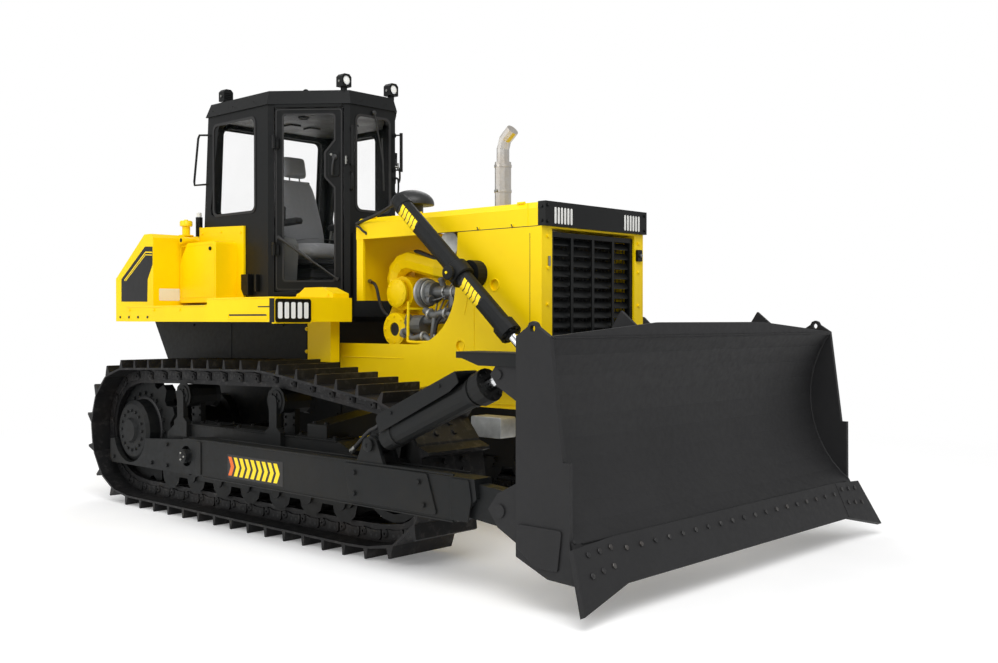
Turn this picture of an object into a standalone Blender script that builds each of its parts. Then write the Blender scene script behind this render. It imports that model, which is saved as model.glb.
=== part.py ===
"""Tracked bulldozer with a straight blade, a six-sided cab and hydraulic linkages at the blade.

Metres, +X forward, +Y to the machine's left, +Z up, ground at Z = 0.
Every station along X is measured forward of the sprocket axis; the empty
"machine_centre" carries all pieces so that the overall length is centred.
"""
import math

import bmesh
import bpy
from mathutils import Matrix, Vector

# Gaps between pieces
SEAT = 0.0003
PIN_GAP = 0.0008
BALL_EYE_GAP = 0.004
RUN_GAP = 0.010
TIP_SIDE_GAP = 0.016
LIFT_SIDE_GAP = 0.040
EYE_GAP = 0.020

# Track chain
SHOE_COUNT = 42
SHOE_WIDTH = 0.50
TRACK_Y = 1.03
PIN_TO_PLATE = 0.055
PLATE_THICKNESS = 0.014
GROUSER_HEIGHT = 0.062
GROUSER_THICKNESS = 0.016
RAIL_DEPTH = 0.052
RAIL_THICKNESS = 0.045
RAIL_OFFSET = 0.0725
SPROCKET_RADIUS = 0.420
SPROCKET_Z = 0.565
IDLER_RADIUS = 0.370
IDLER_X = 2.985
IDLER_Z = 0.515
CARRIER_STATIONS = (0.70, 1.85)
CARRIER_PIN_Z = (1.006, 1.026)
CARRIER_RADIUS = 0.085
BRACKET_HALF_WIDTH = 0.042
BRACKET_FOOT_HALF_WIDTH = 0.085
BRACKET_DEPTH = 0.036

# Track roller frame
ROLLER_COUNT = 7
ROLLER_FIRST_X = 0.52
ROLLER_LAST_X = 2.56
ROLLER_RADIUS = 0.100
ROLLER_FLANGE = 0.024
BEAM_HALF_WIDTH = 0.120
BEAM_TOP = 0.660
BEAM_BOTTOM = 0.425
BEAM_REAR_X = 0.46
BEAM_FRONT_X = 2.62
GUARD_THICKNESS = 0.025

GUARD_REAR_TIP_X = -0.30
GUARD_LOW_Z = 0.30
ROCK_GUARD_FRONT_X = 0.86
ROCK_GUARD_STAND = 0.060

# Final drive and sprocket
TOOTH_HALF_WIDTH = 0.040
TOOTH_TIP = 0.026
TOOTH_ROOT = 0.050
HUB_RADIUS = 0.170
DRIVE_CASE_RADIUS = 0.290
DRIVE_CASE_DEPTH = 0.210
DRIVE_SHOULDER = 0.060
AXLE_CASE_RADIUS = 0.200
AXLE_FLANGE_RADIUS = 0.250
AXLE_FLANGE_THICKNESS = 0.070
COVER_RADIUS = 0.235
COVER_STAND = 0.185

# Main frame, equaliser bar
FRAME_HALF_WIDTH = 0.36
FRAME_REAR_X = -0.45
FRAME_FRONT_X = 3.56
FRAME_TOP = 1.08
BELLY_Z = 0.42
RAIL_BOTTOM_Z = 0.86
RAIL_TOP_Z = 1.02
STEP_X = 1.85
DRAWBAR_END_X = -0.62
DRAWBAR_HALF_WIDTH = 0.11
DRAWBAR_Z = (0.47, 0.60)
EQUALISER_X = 2.24
EQUALISER_HALF_LENGTH = 0.10
PIVOT_SHAFT_X = 0.66
PIVOT_SHAFT_RADIUS = 0.075

# Push arms, trunnions and braces
ARM_HALF_WIDTH = 0.065
ARM_TRACK_GAP = 0.035
ARM_Y = TRACK_Y + SHOE_WIDTH / 2 + ARM_TRACK_GAP + ARM_HALF_WIDTH
ARM_BOTTOM = 0.365
ARM_TOP = 0.612
TRUNNION_X = 1.21
TRUNNION_Z = 0.490
BALL_RADIUS = 0.070
ARM_EYE_RADIUS = 0.123
ARM_END_X = 3.985
ARM_TIP_X = 4.165
ARM_TIP_Z = 0.465
TIP_EYE_RADIUS = 0.095
TIP_PIN_RADIUS = 0.034
TIP_HALF_WIDTH = 0.040
BRACE_FOOT_X = 3.14
BRACE_FOOT_Z = 0.715
BRACE_HEAD_X = 4.155
BRACE_HEAD_Z = 1.150
BRACE_RADIUS = 0.062
BRACE_ROD_RADIUS = 0.036
BRACE_EYE_RADIUS = 0.062
BRACE_EYE_HALF_WIDTH = 0.030
BRACE_PIN_RADIUS = 0.024
TILT_RADIUS = 0.072
TILT_GLAND_RADIUS = 0.092
TILT_BARREL_SHARE = 0.835
TILT_GLAND_SHARE = 0.865
TILT_ROD_SHARE = 0.34
TILT_COVER_LIFT = 0.118
TILT_COVER_HALF_WIDTH = 0.070
TILT_COVER_THICKNESS = 0.012
TILT_COVER_START = 0.13
TILT_COVER_END = 0.745
SADDLE_SHARES = (0.24, 0.62)
SADDLE_HALF_LENGTH = 0.020
SADDLE_HALF_WIDTH = 0.050
CLEVIS_THICKNESS = 0.022

# Blade
BLADE_OVERHANG = 0.095
BLADE_HALF_WIDTH = ARM_Y + BLADE_OVERHANG
END_PLATE_THICKNESS = 0.025
MOLDBOARD_RADIUS = 0.70
MOLDBOARD_TOP = (4.504, 1.343)
MOLDBOARD_LOW = (4.640, 0.360)
MOLDBOARD_THICKNESS = 0.022
SPILL_RISE = 0.068
SPILL_HALF_WIDTH = 0.55
ROD_GUARD_RISE = 0.130
EAR_RISE = 0.075
EAR_HOLE_RADIUS = 0.018
END_PLATE_FOOT = (4.665, 0.166)
END_PLATE_HEEL = (4.49, 0.173)
END_PLATE_NOSE = (4.625, 0.745)
EDGE_TIP = (4.742, 0.142)
EDGE_THICKNESS = 0.028
BIT_LENGTH = 0.284
EDGE_HALF_WIDTH = BLADE_HALF_WIDTH - BIT_LENGTH
EDGE_HEIGHT = 0.235
BIT_REACH = 0.111
BIT_TIP_Y = BLADE_HALF_WIDTH + BIT_REACH
BIT_DROP = 0.094
BIT_THICKNESS = 0.030
BLADE_BACK_X = 4.285
BLADE_BACK_BOTTOM = 0.255
BLADE_TOP_Z = 1.345
BACK_BOXES = ((0.375, 0.60), (1.03, 1.27))
LIFT_PIN_X = 4.16
LIFT_PIN_Z = 0.790

# Lift cylinders
LIFT_Y = 0.68
YOKE_X = 3.10
YOKE_Z = 1.715
LIFT_BARREL_RADIUS = 0.058
LIFT_ROD_RADIUS = 0.030
LIFT_BARREL_TAIL = 0.74
LIFT_BARREL_NOSE = 0.56
LIFT_EYE_RADIUS = 0.055
LIFT_EYE_HALF_WIDTH = 0.030

# Hood, engine bay and radiator guard
HOOD_HALF_WIDTH = 0.5175
HOOD_TOP_Z = 2.138
HOOD_LOW_Z = HOOD_TOP_Z - 0.148
HOOD_REAR_X = 1.91
HOOD_CROWN = 0.040
POST_LENGTH = 0.07
POST_FOOT_Z = 1.56
GUARD_REAR_X = 3.07
GUARD_FRONT_X = 3.63
HEADER_FRONT_X = 3.66
SKIN = 0.020
SILL_REAR_X = 1.73
SILL_LOW_X = 2.296
SILL_LOW_Z = HOOD_LOW_Z - 1.063
SILL_TOP_Z = HOOD_LOW_Z - 0.73
SILL_DEPTH = 0.26
SWEEP_X = 2.50
SWEEP_RADIUS = 0.40
SIDE_HOLE_RADIUS = 0.035
SIDE_HOLES = ((GUARD_REAR_X + 0.174, HOOD_LOW_Z - 0.347), (GUARD_REAR_X - 0.129, HOOD_LOW_Z - 0.732))
RADIATOR_X = (GUARD_REAR_X + 0.29, GUARD_REAR_X + 0.39)
GRILLE_HALF_WIDTH = 0.42
LOUVRE_DEPTH = 0.024
LOUVRE_RAKE = 0.034
LOUVRE_THICKNESS = 0.008
GRILLE_BARS = 3
LOUVRE_COUNT = 13

# Platform, fenders and tank
PLATFORM_HALF_WIDTH = 0.70
PLATFORM_FRONT_X = 1.58
PLATFORM_RAKE = 0.22
FENDER_OUTER_Y = TRACK_Y + SHOE_WIDTH / 2
FENDER_BOTTOM = FRAME_TOP + 0.332
FENDER_DECK = FENDER_BOTTOM + 0.118
FENDER_TOP = FENDER_DECK + 0.047
DECK_STEP_X = 1.21
LAMP_BOX_DEPTH = 0.018
LAMP_BOX_WIDTH = 0.298
LEG_LENGTH = 0.26
LEG_BOTTOM = 1.13
COVER_RISE = 0.075
BOX_HEIGHT = 0.50
BOX_LENGTH = 0.52
BOX_DEPTH = 0.20
PANEL_LENGTH = 0.62
PANEL_HEIGHT = 0.64
PANEL_THICKNESS = 0.018
FENDER_FRONT_X = 1.985
TANK_REAR_X = -0.505
TANK_FRONT_X = 0.085
TANK_HALF_WIDTH = 1.05
TANK_TOP = FENDER_BOTTOM + 0.688
TANK_REAR_TOP = FENDER_BOTTOM + 0.348
TANK_SHOULDER_X = -0.05
FILLER_RADIUS = 0.045
FILLER_RISE = 0.10

# Cab
CAB_REAR_X = 0.19
CAB_BREAK_X = 1.00
CAB_FRONT_X = 1.487
CAB_HALF_WIDTH = 0.62
CAB_NOSE_HALF_WIDTH = 0.225
CAB_FLOOR_Z = FENDER_BOTTOM + 0.188
CAB_ROOF_Z = CAB_FLOOR_Z + 1.445
CAB_TOP_Z = CAB_ROOF_Z + 0.105
CAB_WALL = 0.045
SILL_Z = CAB_FLOOR_Z + 0.65
WINDOW_HEAD_Z = CAB_ROOF_Z - 0.07
GLASS_THICKNESS = 0.008
CAB_LEAN = 0.10
ROOF_OVERHANG = 0.015
ROOF_CHAMFER = 0.030
CORNER_RADIUS = 0.050
REAR_WINDOW_MARGIN = 0.12
FRONT_WINDOW_MARGIN = 0.055
SIDE_WINDOW_REAR = 0.075
SIDE_WINDOW_LEAN = 0.075
SIDE_WINDOW_FRONT = 0.16
PANE_LAP = 0.02
LAMP_DEPTH = 0.075
LAMP_HALF_WIDTH = 0.043
LAMP_HEIGHT = 0.095
LAMP_FOOT = 0.025
LAMP_LENS_RADIUS = 0.036
FRONT_LAMP = (-0.06, CAB_NOSE_HALF_WIDTH + 0.01)
REAR_LAMP = (0.10, CAB_HALF_WIDTH - 0.10)
RAIL_RADIUS = 0.009
COWL_HALF_WIDTH = 0.20
COWL_TOP = CAB_FLOOR_Z + 0.48
DOOR_MARGIN = 0.055
DOOR_THICKNESS = 0.040
LOCK_Z = CAB_FLOOR_Z + 1.0
LOCK_WIDTH = 0.075
DOOR_GAP = 0.008
DOOR_BOTTOM = CAB_FLOOR_Z + 0.045
DOOR_TOP = CAB_ROOF_Z - 0.03
DOOR_RAIL = 0.055
HINGE_OUT = 0.028
HINGE_RADIUS = 0.016
HINGE_PIN_RADIUS = 0.008
HINGE_LENGTH = 0.08
HINGE_LEVELS = (DOOR_BOTTOM + 0.305, DOOR_TOP - 0.265)

# Seat
CUSHION_FRONT_X = 1.02
CUSHION_LENGTH = 0.46
CUSHION_HALF_WIDTH = 0.24
CUSHION_THICKNESS = 0.13
CUSHION_RISE = 0.42
PLINTH_HALF_WIDTH = 0.17
BACK_RISE = 0.55
BACK_RAKE = 0.06
BACK_THICKNESS = 0.11
REST_RISE = 0.20
REST_HALF_WIDTH = 0.13

# Engine and what hangs on it
CRANK_Z = 1.36
BELL_RADIUS = 0.30
BELL_X = (1.99, 2.13)
BLOCK_X = (2.10, 2.95)
BLOCK_HALF_WIDTH = 0.22
BLOCK_TOP = 1.72
HEAD_TOP = 1.82
DUCT_RADIUS = 0.075
TURBO_Z = 1.61
TURBO_Y = -0.36
CLEANER_X = 2.79
CLEANER_RADIUS = 0.085
EXHAUST_X = 2.838
EXHAUST_RADIUS = 0.056
EXHAUST_COLLAR = 0.36
PRECLEANER_PLACE = (2.20, -0.25)
PRECLEANER_RADIUS = 0.155
PRECLEANER_RISE = 0.20

# Line of the cutting edge, from its tip up to the moldboard's foot
EDGE_RUN = math.hypot(MOLDBOARD_LOW[0] - EDGE_TIP[0], MOLDBOARD_LOW[1] - EDGE_TIP[1])
EDGE_UP = ((MOLDBOARD_LOW[0] - EDGE_TIP[0]) / EDGE_RUN, (MOLDBOARD_LOW[1] - EDGE_TIP[1]) / EDGE_RUN)
FRONT_END_X = EDGE_TIP[0] - EDGE_UP[0] * BIT_DROP + EDGE_UP[1] * BIT_THICKNESS
CENTRE_X = (FRONT_END_X + DRAWBAR_END_X) / 2

# Base colour, roughness, metallic of each paint or stock
FINISHES = {
    "yellow_paint": ((0.98, 0.66, 0.01), 0.35, 0.0),
    "charcoal_paint": ((0.030, 0.032, 0.034), 0.50, 0.0),
    "black_paint": ((0.012, 0.012, 0.013), 0.50, 0.0),
    "blade_steel": ((0.045, 0.045, 0.045), 0.55, 0.2),
    "track_steel": ((0.050, 0.052, 0.054), 0.55, 0.5),
    "engine_grey": ((0.20, 0.20, 0.19), 0.50, 0.4),
    "light_metal": ((0.62, 0.62, 0.60), 0.40, 0.3),
    "chrome": ((0.80, 0.80, 0.80), 0.12, 1.0),
    "stainless": ((0.60, 0.58, 0.55), 0.25, 1.0),
    "glass": ((0.55, 0.62, 0.62), 0.05, 0.0),
    "seat_cloth": ((0.05, 0.05, 0.05), 0.85, 0.0),
    "dark_plastic": ((0.03, 0.03, 0.03), 0.60, 0.0),
}

PLANES = {
    "Y": Matrix(((1, 0, 0, 0), (0, 0, -1, 0), (0, 1, 0, 0), (0, 0, 0, 1))),
    "X": Matrix(((0, 0, 1, 0), (1, 0, 0, 0), (0, 1, 0, 0), (0, 0, 0, 1))),
    "Z": Matrix.Identity(4),
}


def clear_scene():
    for obj in list(bpy.data.objects):
        bpy.data.objects.remove(obj, do_unlink=True)


def new_collection(name):
    collection = bpy.data.collections.new(name)
    bpy.context.scene.collection.children.link(collection)
    return collection


def material(name):
    found = bpy.data.materials.get(name)
    if found:
        return found
    colour, roughness, metallic = FINISHES[name]
    made = bpy.data.materials.new(name)
    made.use_nodes = True
    shader = made.node_tree.nodes["Principled BSDF"]
    shader.inputs["Base Color"].default_value = (*colour, 1.0)
    shader.inputs["Roughness"].default_value = roughness
    shader.inputs["Metallic"].default_value = metallic
    made.diffuse_color = (*colour, 1.0)
    return made


def mesh_object(name, mesh):
    obj = bpy.data.objects.new(name, mesh)
    bpy.context.scene.collection.objects.link(obj)
    return obj


def from_bmesh(name, bm):
    mesh = bpy.data.meshes.new(name)
    bm.to_mesh(mesh)
    bm.free()
    return mesh_object(name, mesh)


def box(name, x_span, y_span, z_span):
    """Block between two stations on each axis."""
    spans = (x_span, y_span, z_span)
    centre = Vector([(low + high) / 2 for low, high in spans])
    size = [high - low for low, high in spans]
    bm = bmesh.new()
    place = Matrix.Translation(centre) @ Matrix.Diagonal((*size, 1.0))
    bmesh.ops.create_cube(bm, size=1.0, matrix=place)
    return from_bmesh(name, bm)


def aim(direction):
    return Vector(direction).to_track_quat("Z", "Y").to_matrix().to_4x4()


def cylinder(name, centre, direction, radius, length, segments=16):
    """Round bar centred on a point."""
    bm = bmesh.new()
    place = Matrix.Translation(Vector(centre)) @ aim(direction)
    bmesh.ops.create_cone(bm, cap_ends=True, segments=segments, radius1=radius, radius2=radius,
                          depth=length, matrix=place)
    return from_bmesh(name, bm)


def bar(name, start, end, radius, segments=16):
    """Round bar from one point to another."""
    start, end = Vector(start), Vector(end)
    return cylinder(name, (start + end) / 2, end - start, radius, (end - start).length, segments)


def ball(name, centre, radius, segments=32):
    bm = bmesh.new()
    bmesh.ops.create_uvsphere(bm, u_segments=segments, v_segments=segments // 2, radius=radius,
                              matrix=Matrix.Translation(Vector(centre)) @ aim((0, 1, 0)))
    return from_bmesh(name, bm)


def settle(name, source):
    """Mesh object from an evaluated curve, with its caps welded on."""
    depsgraph = bpy.context.evaluated_depsgraph_get()
    mesh = bpy.data.meshes.new_from_object(source.evaluated_get(depsgraph))
    mesh.transform(source.matrix_world)
    bpy.data.objects.remove(source, do_unlink=True)
    bm = bmesh.new()
    bm.from_mesh(mesh)
    bmesh.ops.remove_doubles(bm, verts=bm.verts, dist=0.00005)
    bmesh.ops.recalc_face_normals(bm, faces=bm.faces)
    bm.to_mesh(mesh)
    bm.free()
    return mesh_object(name, mesh)


def plate(name, outlines, normal, low, high):
    """Flat outline, with any holes, extruded between two stations along an axis."""
    if not isinstance(outlines[0][0], (tuple, list)):
        outlines = [outlines]
    curve = bpy.data.curves.new(name, "CURVE")
    curve.dimensions = "2D"
    curve.fill_mode = "BOTH"
    curve.extrude = (high - low) / 2
    for outline in outlines:
        spline = curve.splines.new("POLY")
        spline.points.add(len(outline) - 1)
        for point, (across, up) in zip(spline.points, outline):
            point.co = (across, up, 0, 1)
        spline.use_cyclic_u = True
    obj = bpy.data.objects.new(name, curve)
    bpy.context.scene.collection.objects.link(obj)
    middle = (low + high) / 2
    offset = {"X": (middle, 0, 0), "Y": (0, middle, 0), "Z": (0, 0, middle)}[normal]
    obj.matrix_world = Matrix.Translation(offset) @ PLANES[normal]
    bpy.context.view_layer.update()
    return settle(name, obj)


def turned(name, profile, centre, direction, steps=24):
    """Solid of revolution; the profile is (radius, distance along the axis), top to bottom."""
    bm = bmesh.new()
    points = [bm.verts.new((radius, 0, along)) for radius, along in profile]
    for first, second in zip(points, points[1:]):
        bm.edges.new((first, second))
    obj = from_bmesh(name, bm)
    screw = obj.modifiers.new("turn", "SCREW")
    screw.steps = steps
    screw.render_steps = steps
    screw.use_merge_vertices = True
    screw.merge_threshold = 0.0001
    obj.matrix_world = Matrix.Translation(Vector(centre)) @ aim(direction)
    bpy.context.view_layer.update()
    return settle(name, obj)


def tube(name, points, radius, sides=3):
    """Bent round bar through the given points."""
    curve = bpy.data.curves.new(name, "CURVE")
    curve.dimensions = "3D"
    curve.bevel_depth = radius
    curve.bevel_resolution = sides
    curve.use_fill_caps = True
    spline = curve.splines.new("POLY")
    spline.points.add(len(points) - 1)
    for point, place in zip(spline.points, points):
        point.co = (*place, 1)
    obj = bpy.data.objects.new(name, curve)
    bpy.context.scene.collection.objects.link(obj)
    bpy.context.view_layer.update()
    return settle(name, obj)


def arc(centre, radius, start, end, count):
    """Points on an arc; angles in degrees, counter-clockwise from the first axis."""
    angles = [math.radians(start + (end - start) * i / count) for i in range(count + 1)]
    return [(centre[0] + radius * math.cos(a), centre[1] + radius * math.sin(a)) for a in angles]


def circle(centre, radius, count=24):
    return arc(centre, radius, 0, 360 * (1 - 1 / count), count - 1)


def rectangle(across, up):
    return [(across[0], up[0]), (across[1], up[0]), (across[1], up[1]), (across[0], up[1])]


def rounded(outline, radius, count=2):
    """Same outline, counter-clockwise, with an arc in place of each corner."""
    corners = [Vector(point) for point in outline]
    points = []
    for i, corner in enumerate(corners):
        before = (corners[i - 1] - corner).normalized()
        after = (corners[(i + 1) % len(corners)] - corner).normalized()
        half = before.angle(after) / 2
        centre = corner + (before + after).normalized() * (radius / math.sin(half))
        start = corner + before * (radius / math.tan(half)) - centre
        end = corner + after * (radius / math.tan(half)) - centre
        turn = math.atan2(start.x * end.y - start.y * end.x, start.dot(end))
        first = math.atan2(start.y, start.x)
        for k in range(count + 1):
            angle = first + turn * k / count
            points.append((centre.x + radius * math.cos(angle), centre.y + radius * math.sin(angle)))
    return points


def combine(target, others, operation, solver):
    for index, other in enumerate(others):
        modifier = target.modifiers.new(f"{operation.lower()}_{index}", "BOOLEAN")
        modifier.operation = operation
        modifier.solver = solver
        modifier.object = other
        other.name = f"{target.name}_{operation.lower()}_{len(target.modifiers)}"
        other.hide_render = True
        other.display_type = "WIRE"
        for home in list(other.users_collection):
            home.objects.unlink(other)
        bpy.data.collections["cutters"].objects.link(other)
    return target


def join(target, *others, solver="EXACT"):
    return combine(target, others, "UNION", solver)


def cut(target, *others, solver="EXACT"):
    return combine(target, others, "DIFFERENCE", solver)


def finish(obj, paint, smooth=False):
    """Name the paint, shade the piece and hang it on the machine's centre."""
    obj.data.materials.clear()
    obj.data.materials.append(material(paint))
    if smooth:
        obj.data.shade_smooth()
        obj.data.set_sharp_from_angle(angle=math.radians(35))
    for home in list(obj.users_collection):
        home.objects.unlink(obj)
    bpy.data.collections["bulldozer"].objects.link(obj)
    return obj


def mirrored(span, side):
    """Span along Y on the machine's right (side -1) or left (side +1)."""
    low, high = span
    return (low, high) if side > 0 else (-high, -low)


def side_name(name, side):
    return f"{name}_{'left' if side > 0 else 'right'}"


def chain_path():
    """Dense loop through the pin centres: ground run, idler, carrier rollers, sprocket."""
    ground = PIN_TO_PLATE + PLATE_THICKNESS + GROUSER_HEIGHT
    points = [(0.10, ground), (IDLER_X - 0.16, ground)]
    points += arc((IDLER_X, IDLER_Z), IDLER_RADIUS, -82, 82, 24)
    for x, z in sorted(zip(CARRIER_STATIONS, CARRIER_PIN_Z), reverse=True):
        points.append((x, z))
    points += arc((0, SPROCKET_Z), SPROCKET_RADIUS, 88, 262, 24)
    return [Vector(p) for p in points]


def chain_pins():
    """Pin centres at equal steps along the loop."""
    path = chain_path()
    legs = [(path[i], path[(i + 1) % len(path)]) for i in range(len(path))]
    total = sum((b - a).length for a, b in legs)
    pins = []
    for k in range(SHOE_COUNT):
        left = total * k / SHOE_COUNT
        for a, b in legs:
            length = (b - a).length
            if left <= length:
                pins.append(a + (b - a) * (left / length))
                break
            left -= length
    return pins


def link_points(pins, stations):
    """Outline through the same (share of the pitch, distance outward) points on every link."""
    outline = []
    for i, pin in enumerate(pins):
        following = pins[(i + 1) % len(pins)]
        along = (following - pin).normalized()
        outward = Vector((along.y, -along.x))
        pitch = (following - pin).length
        for share, distance in stations:
            point = pin + along * (pitch * share) + outward * distance
            outline.append((point.x, point.y))
    return outline


def build_track(side, pins):
    plate_out = PIN_TO_PLATE + PLATE_THICKNESS
    tip = plate_out + GROUSER_HEIGHT
    thick = GROUSER_THICKNESS / (pins[1] - pins[0]).length
    shoe = [
        (0.00, PIN_TO_PLATE + 0.009),
        (0.06, plate_out),
        (0.95 - 1.5 * thick, plate_out),
        (0.95 - thick, tip),
        (0.95, tip),
    ]
    low, high = mirrored((TRACK_Y - SHOE_WIDTH / 2, TRACK_Y + SHOE_WIDTH / 2), side)
    name = side_name("track", side)
    band = plate(name, [link_points(pins, shoe), link_points(pins, [(0.0, PIN_TO_PLATE)])], "Y", low, high)
    rail_out = [(0.0, PIN_TO_PLATE + 0.003)]
    rail_in = [(0.22, -RAIL_DEPTH), (0.78, -RAIL_DEPTH)]
    rails = []
    for offset in (-RAIL_OFFSET, RAIL_OFFSET):
        y = side * TRACK_Y + offset
        rails.append(plate("rail", [link_points(pins, rail_out), link_points(pins, rail_in)], "Y",
                           y - RAIL_THICKNESS / 2, y + RAIL_THICKNESS / 2))
    join(band, *rails, solver="MANIFOLD")
    return finish(band, "track_steel")


def roller(name, x, z, radius, flange, centre_y, reach):
    """Flanged roller; the tread between the flanges carries the two rails."""
    tread = RAIL_OFFSET + RAIL_THICKNESS / 2 + 0.006
    half = [(0, reach), (radius + flange, reach), (radius, tread)]
    profile = half + [(r, -along) for r, along in reversed(half)]
    return turned(name, profile, (x, centre_y, z), (0, 1, 0), 10)


def rail_height(pins, x):
    """Lowest line, over the upper run's links near a station, that runs under the rails there."""
    heights = []
    for i, pin in enumerate(pins):
        following = pins[(i + 1) % len(pins)]
        near = min(pin.x, following.x) - 0.06 < x < max(pin.x, following.x) + 0.06
        if near and pin.y > BEAM_TOP:
            slope = (following.y - pin.y) / (following.x - pin.x)
            heights.append((pin.y + slope * (x - pin.x), math.hypot(1, slope)))
    return min(height - RAIL_DEPTH * lean for height, lean in heights)


def carrier_bracket(x, z, side):
    """Upright outside the beam that holds a carrier roller's outer end."""
    shoulder = BEAM_TOP + 0.05
    turns = [math.radians(a) for a in range(0, 181, 30)]
    head = [(x + BRACKET_HALF_WIDTH * math.cos(a), z + BRACKET_HALF_WIDTH * math.sin(a)) for a in turns]
    foot = BEAM_TOP - 0.09
    outline = [(x + BRACKET_FOOT_HALF_WIDTH, foot), (x + BRACKET_FOOT_HALF_WIDTH, shoulder - 0.03),
               (x + BRACKET_HALF_WIDTH, shoulder)] + head
    outline += [(x - BRACKET_HALF_WIDTH, shoulder), (x - BRACKET_FOOT_HALF_WIDTH, shoulder - 0.03),
                (x - BRACKET_FOOT_HALF_WIDTH, foot)]
    near = TRACK_Y + BEAM_HALF_WIDTH
    return plate("carrier_bracket", outline, "Y", *mirrored((near - 0.004, near + BRACKET_DEPTH), side))


def build_track_frame(side, pins):
    y = side * TRACK_Y
    rail_top = PIN_TO_PLATE + PLATE_THICKNESS + GROUSER_HEIGHT + RAIL_DEPTH
    roller_z = rail_top + SEAT + ROLLER_RADIUS
    nose_z = IDLER_Z
    outline = [
        (BEAM_REAR_X, BEAM_BOTTOM + 0.06), (BEAM_REAR_X + 0.10, BEAM_BOTTOM),
        (BEAM_FRONT_X, BEAM_BOTTOM), (BEAM_FRONT_X, BEAM_TOP - 0.05),
        (BEAM_FRONT_X - 0.12, BEAM_TOP), (BEAM_REAR_X + 0.12, BEAM_TOP), (BEAM_REAR_X, BEAM_TOP - 0.08),
    ]
    name = side_name("track_frame", side)
    frame = plate(name, outline, "Y", y - BEAM_HALF_WIDTH, y + BEAM_HALF_WIDTH)
    parts = []
    reach = BEAM_HALF_WIDTH + 0.004
    for sign in (-1, 1):
        low, high = sorted((y + sign * BEAM_HALF_WIDTH, y + sign * (BEAM_HALF_WIDTH + GUARD_THICKNESS)))
        low, high = (low - 0.004, high) if sign > 0 else (low, high + 0.004)
        parts.append(plate("fork", [
            (ROLLER_FIRST_X - 0.05, roller_z - 0.02), (IDLER_X - 0.35, roller_z - 0.02),
            (IDLER_X - 0.20, nose_z - 0.09), (IDLER_X + 0.08, nose_z - 0.07), (IDLER_X + 0.08, nose_z + 0.07),
            (BEAM_FRONT_X - 0.05, nose_z + 0.08), (BEAM_REAR_X + 0.02, nose_z),
            (ROLLER_FIRST_X - 0.05, roller_z + 0.04),
        ], "Y", low, high))
    step = (ROLLER_LAST_X - ROLLER_FIRST_X) / (ROLLER_COUNT - 1)
    for k in range(ROLLER_COUNT):
        x = ROLLER_FIRST_X + step * k
        parts.append(roller("roller", x, roller_z, ROLLER_RADIUS, ROLLER_FLANGE, y, reach))
    for x in CARRIER_STATIONS:
        z = rail_height(pins, x) - CARRIER_RADIUS - 2 * SEAT
        parts.append(roller("carrier", x, z, CARRIER_RADIUS, 0.016, y, 0.13))
        parts.append(box("carrier_post", (x - 0.06, x + 0.06), (y - 0.02, y + 0.02), (BEAM_TOP - 0.02, z)))
        parts.append(carrier_bracket(x, z, side))
    half_link = (pins[1] - pins[0]).length / 2
    idler_rim = math.sqrt(IDLER_RADIUS ** 2 - half_link ** 2) - RAIL_DEPTH - 2 * SEAT
    tread = RAIL_OFFSET + RAIL_THICKNESS / 2
    web = 0.025
    parts.append(turned("idler", [
        (0, tread), (0.09, tread), (0.09, web), (idler_rim - 0.05, web), (idler_rim - 0.05, tread),
        (idler_rim, tread), (idler_rim, -tread), (idler_rim - 0.05, -tread), (idler_rim - 0.05, -web),
        (0.09, -web), (0.09, -tread), (0, -tread),
    ], (IDLER_X, y, IDLER_Z), (0, 1, 0), 20))
    parts.append(cylinder("idler_axle", (IDLER_X, y, IDLER_Z), (0, 1, 0), 0.045,
                          2 * (BEAM_HALF_WIDTH + GUARD_THICKNESS + 0.015), 16))
    outer = side * ARM_Y
    parts.append(bar("trunnion_stub", (TRUNNION_X, y, TRUNNION_Z), (TRUNNION_X, outer, TRUNNION_Z), 0.045))
    parts.append(box("trunnion_pad", (TRUNNION_X - 0.13, TRUNNION_X + 0.13),
                     mirrored((TRACK_Y + BEAM_HALF_WIDTH - 0.01, TRACK_Y + BEAM_HALF_WIDTH + 0.05), side),
                     (TRUNNION_Z - 0.10, TRUNNION_Z + 0.10)))
    parts.append(ball("trunnion_ball", (TRUNNION_X, outer, TRUNNION_Z), BALL_RADIUS, 12))
    rock_guard = plate("rock_guard", [
        (GUARD_REAR_TIP_X, BEAM_BOTTOM + 0.06), (GUARD_REAR_TIP_X, GUARD_LOW_Z + 0.03),
        (GUARD_REAR_TIP_X + 0.03, GUARD_LOW_Z), (ROCK_GUARD_FRONT_X, GUARD_LOW_Z),
        (ROCK_GUARD_FRONT_X, BEAM_TOP - 0.10),
    ], "Y", *mirrored((TRACK_Y + BEAM_HALF_WIDTH + GUARD_THICKNESS - 0.004,
                       TRACK_Y + BEAM_HALF_WIDTH + ROCK_GUARD_STAND), side))
    cut(rock_guard, cylinder("clearance", (0, side * TRACK_Y, SPROCKET_Z), (0, 1, 0), COVER_RADIUS + 0.012,
                             1.0, 24))
    parts.append(rock_guard)
    join(frame, *parts, solver="MANIFOLD")
    return finish(frame, "charcoal_paint")


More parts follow.
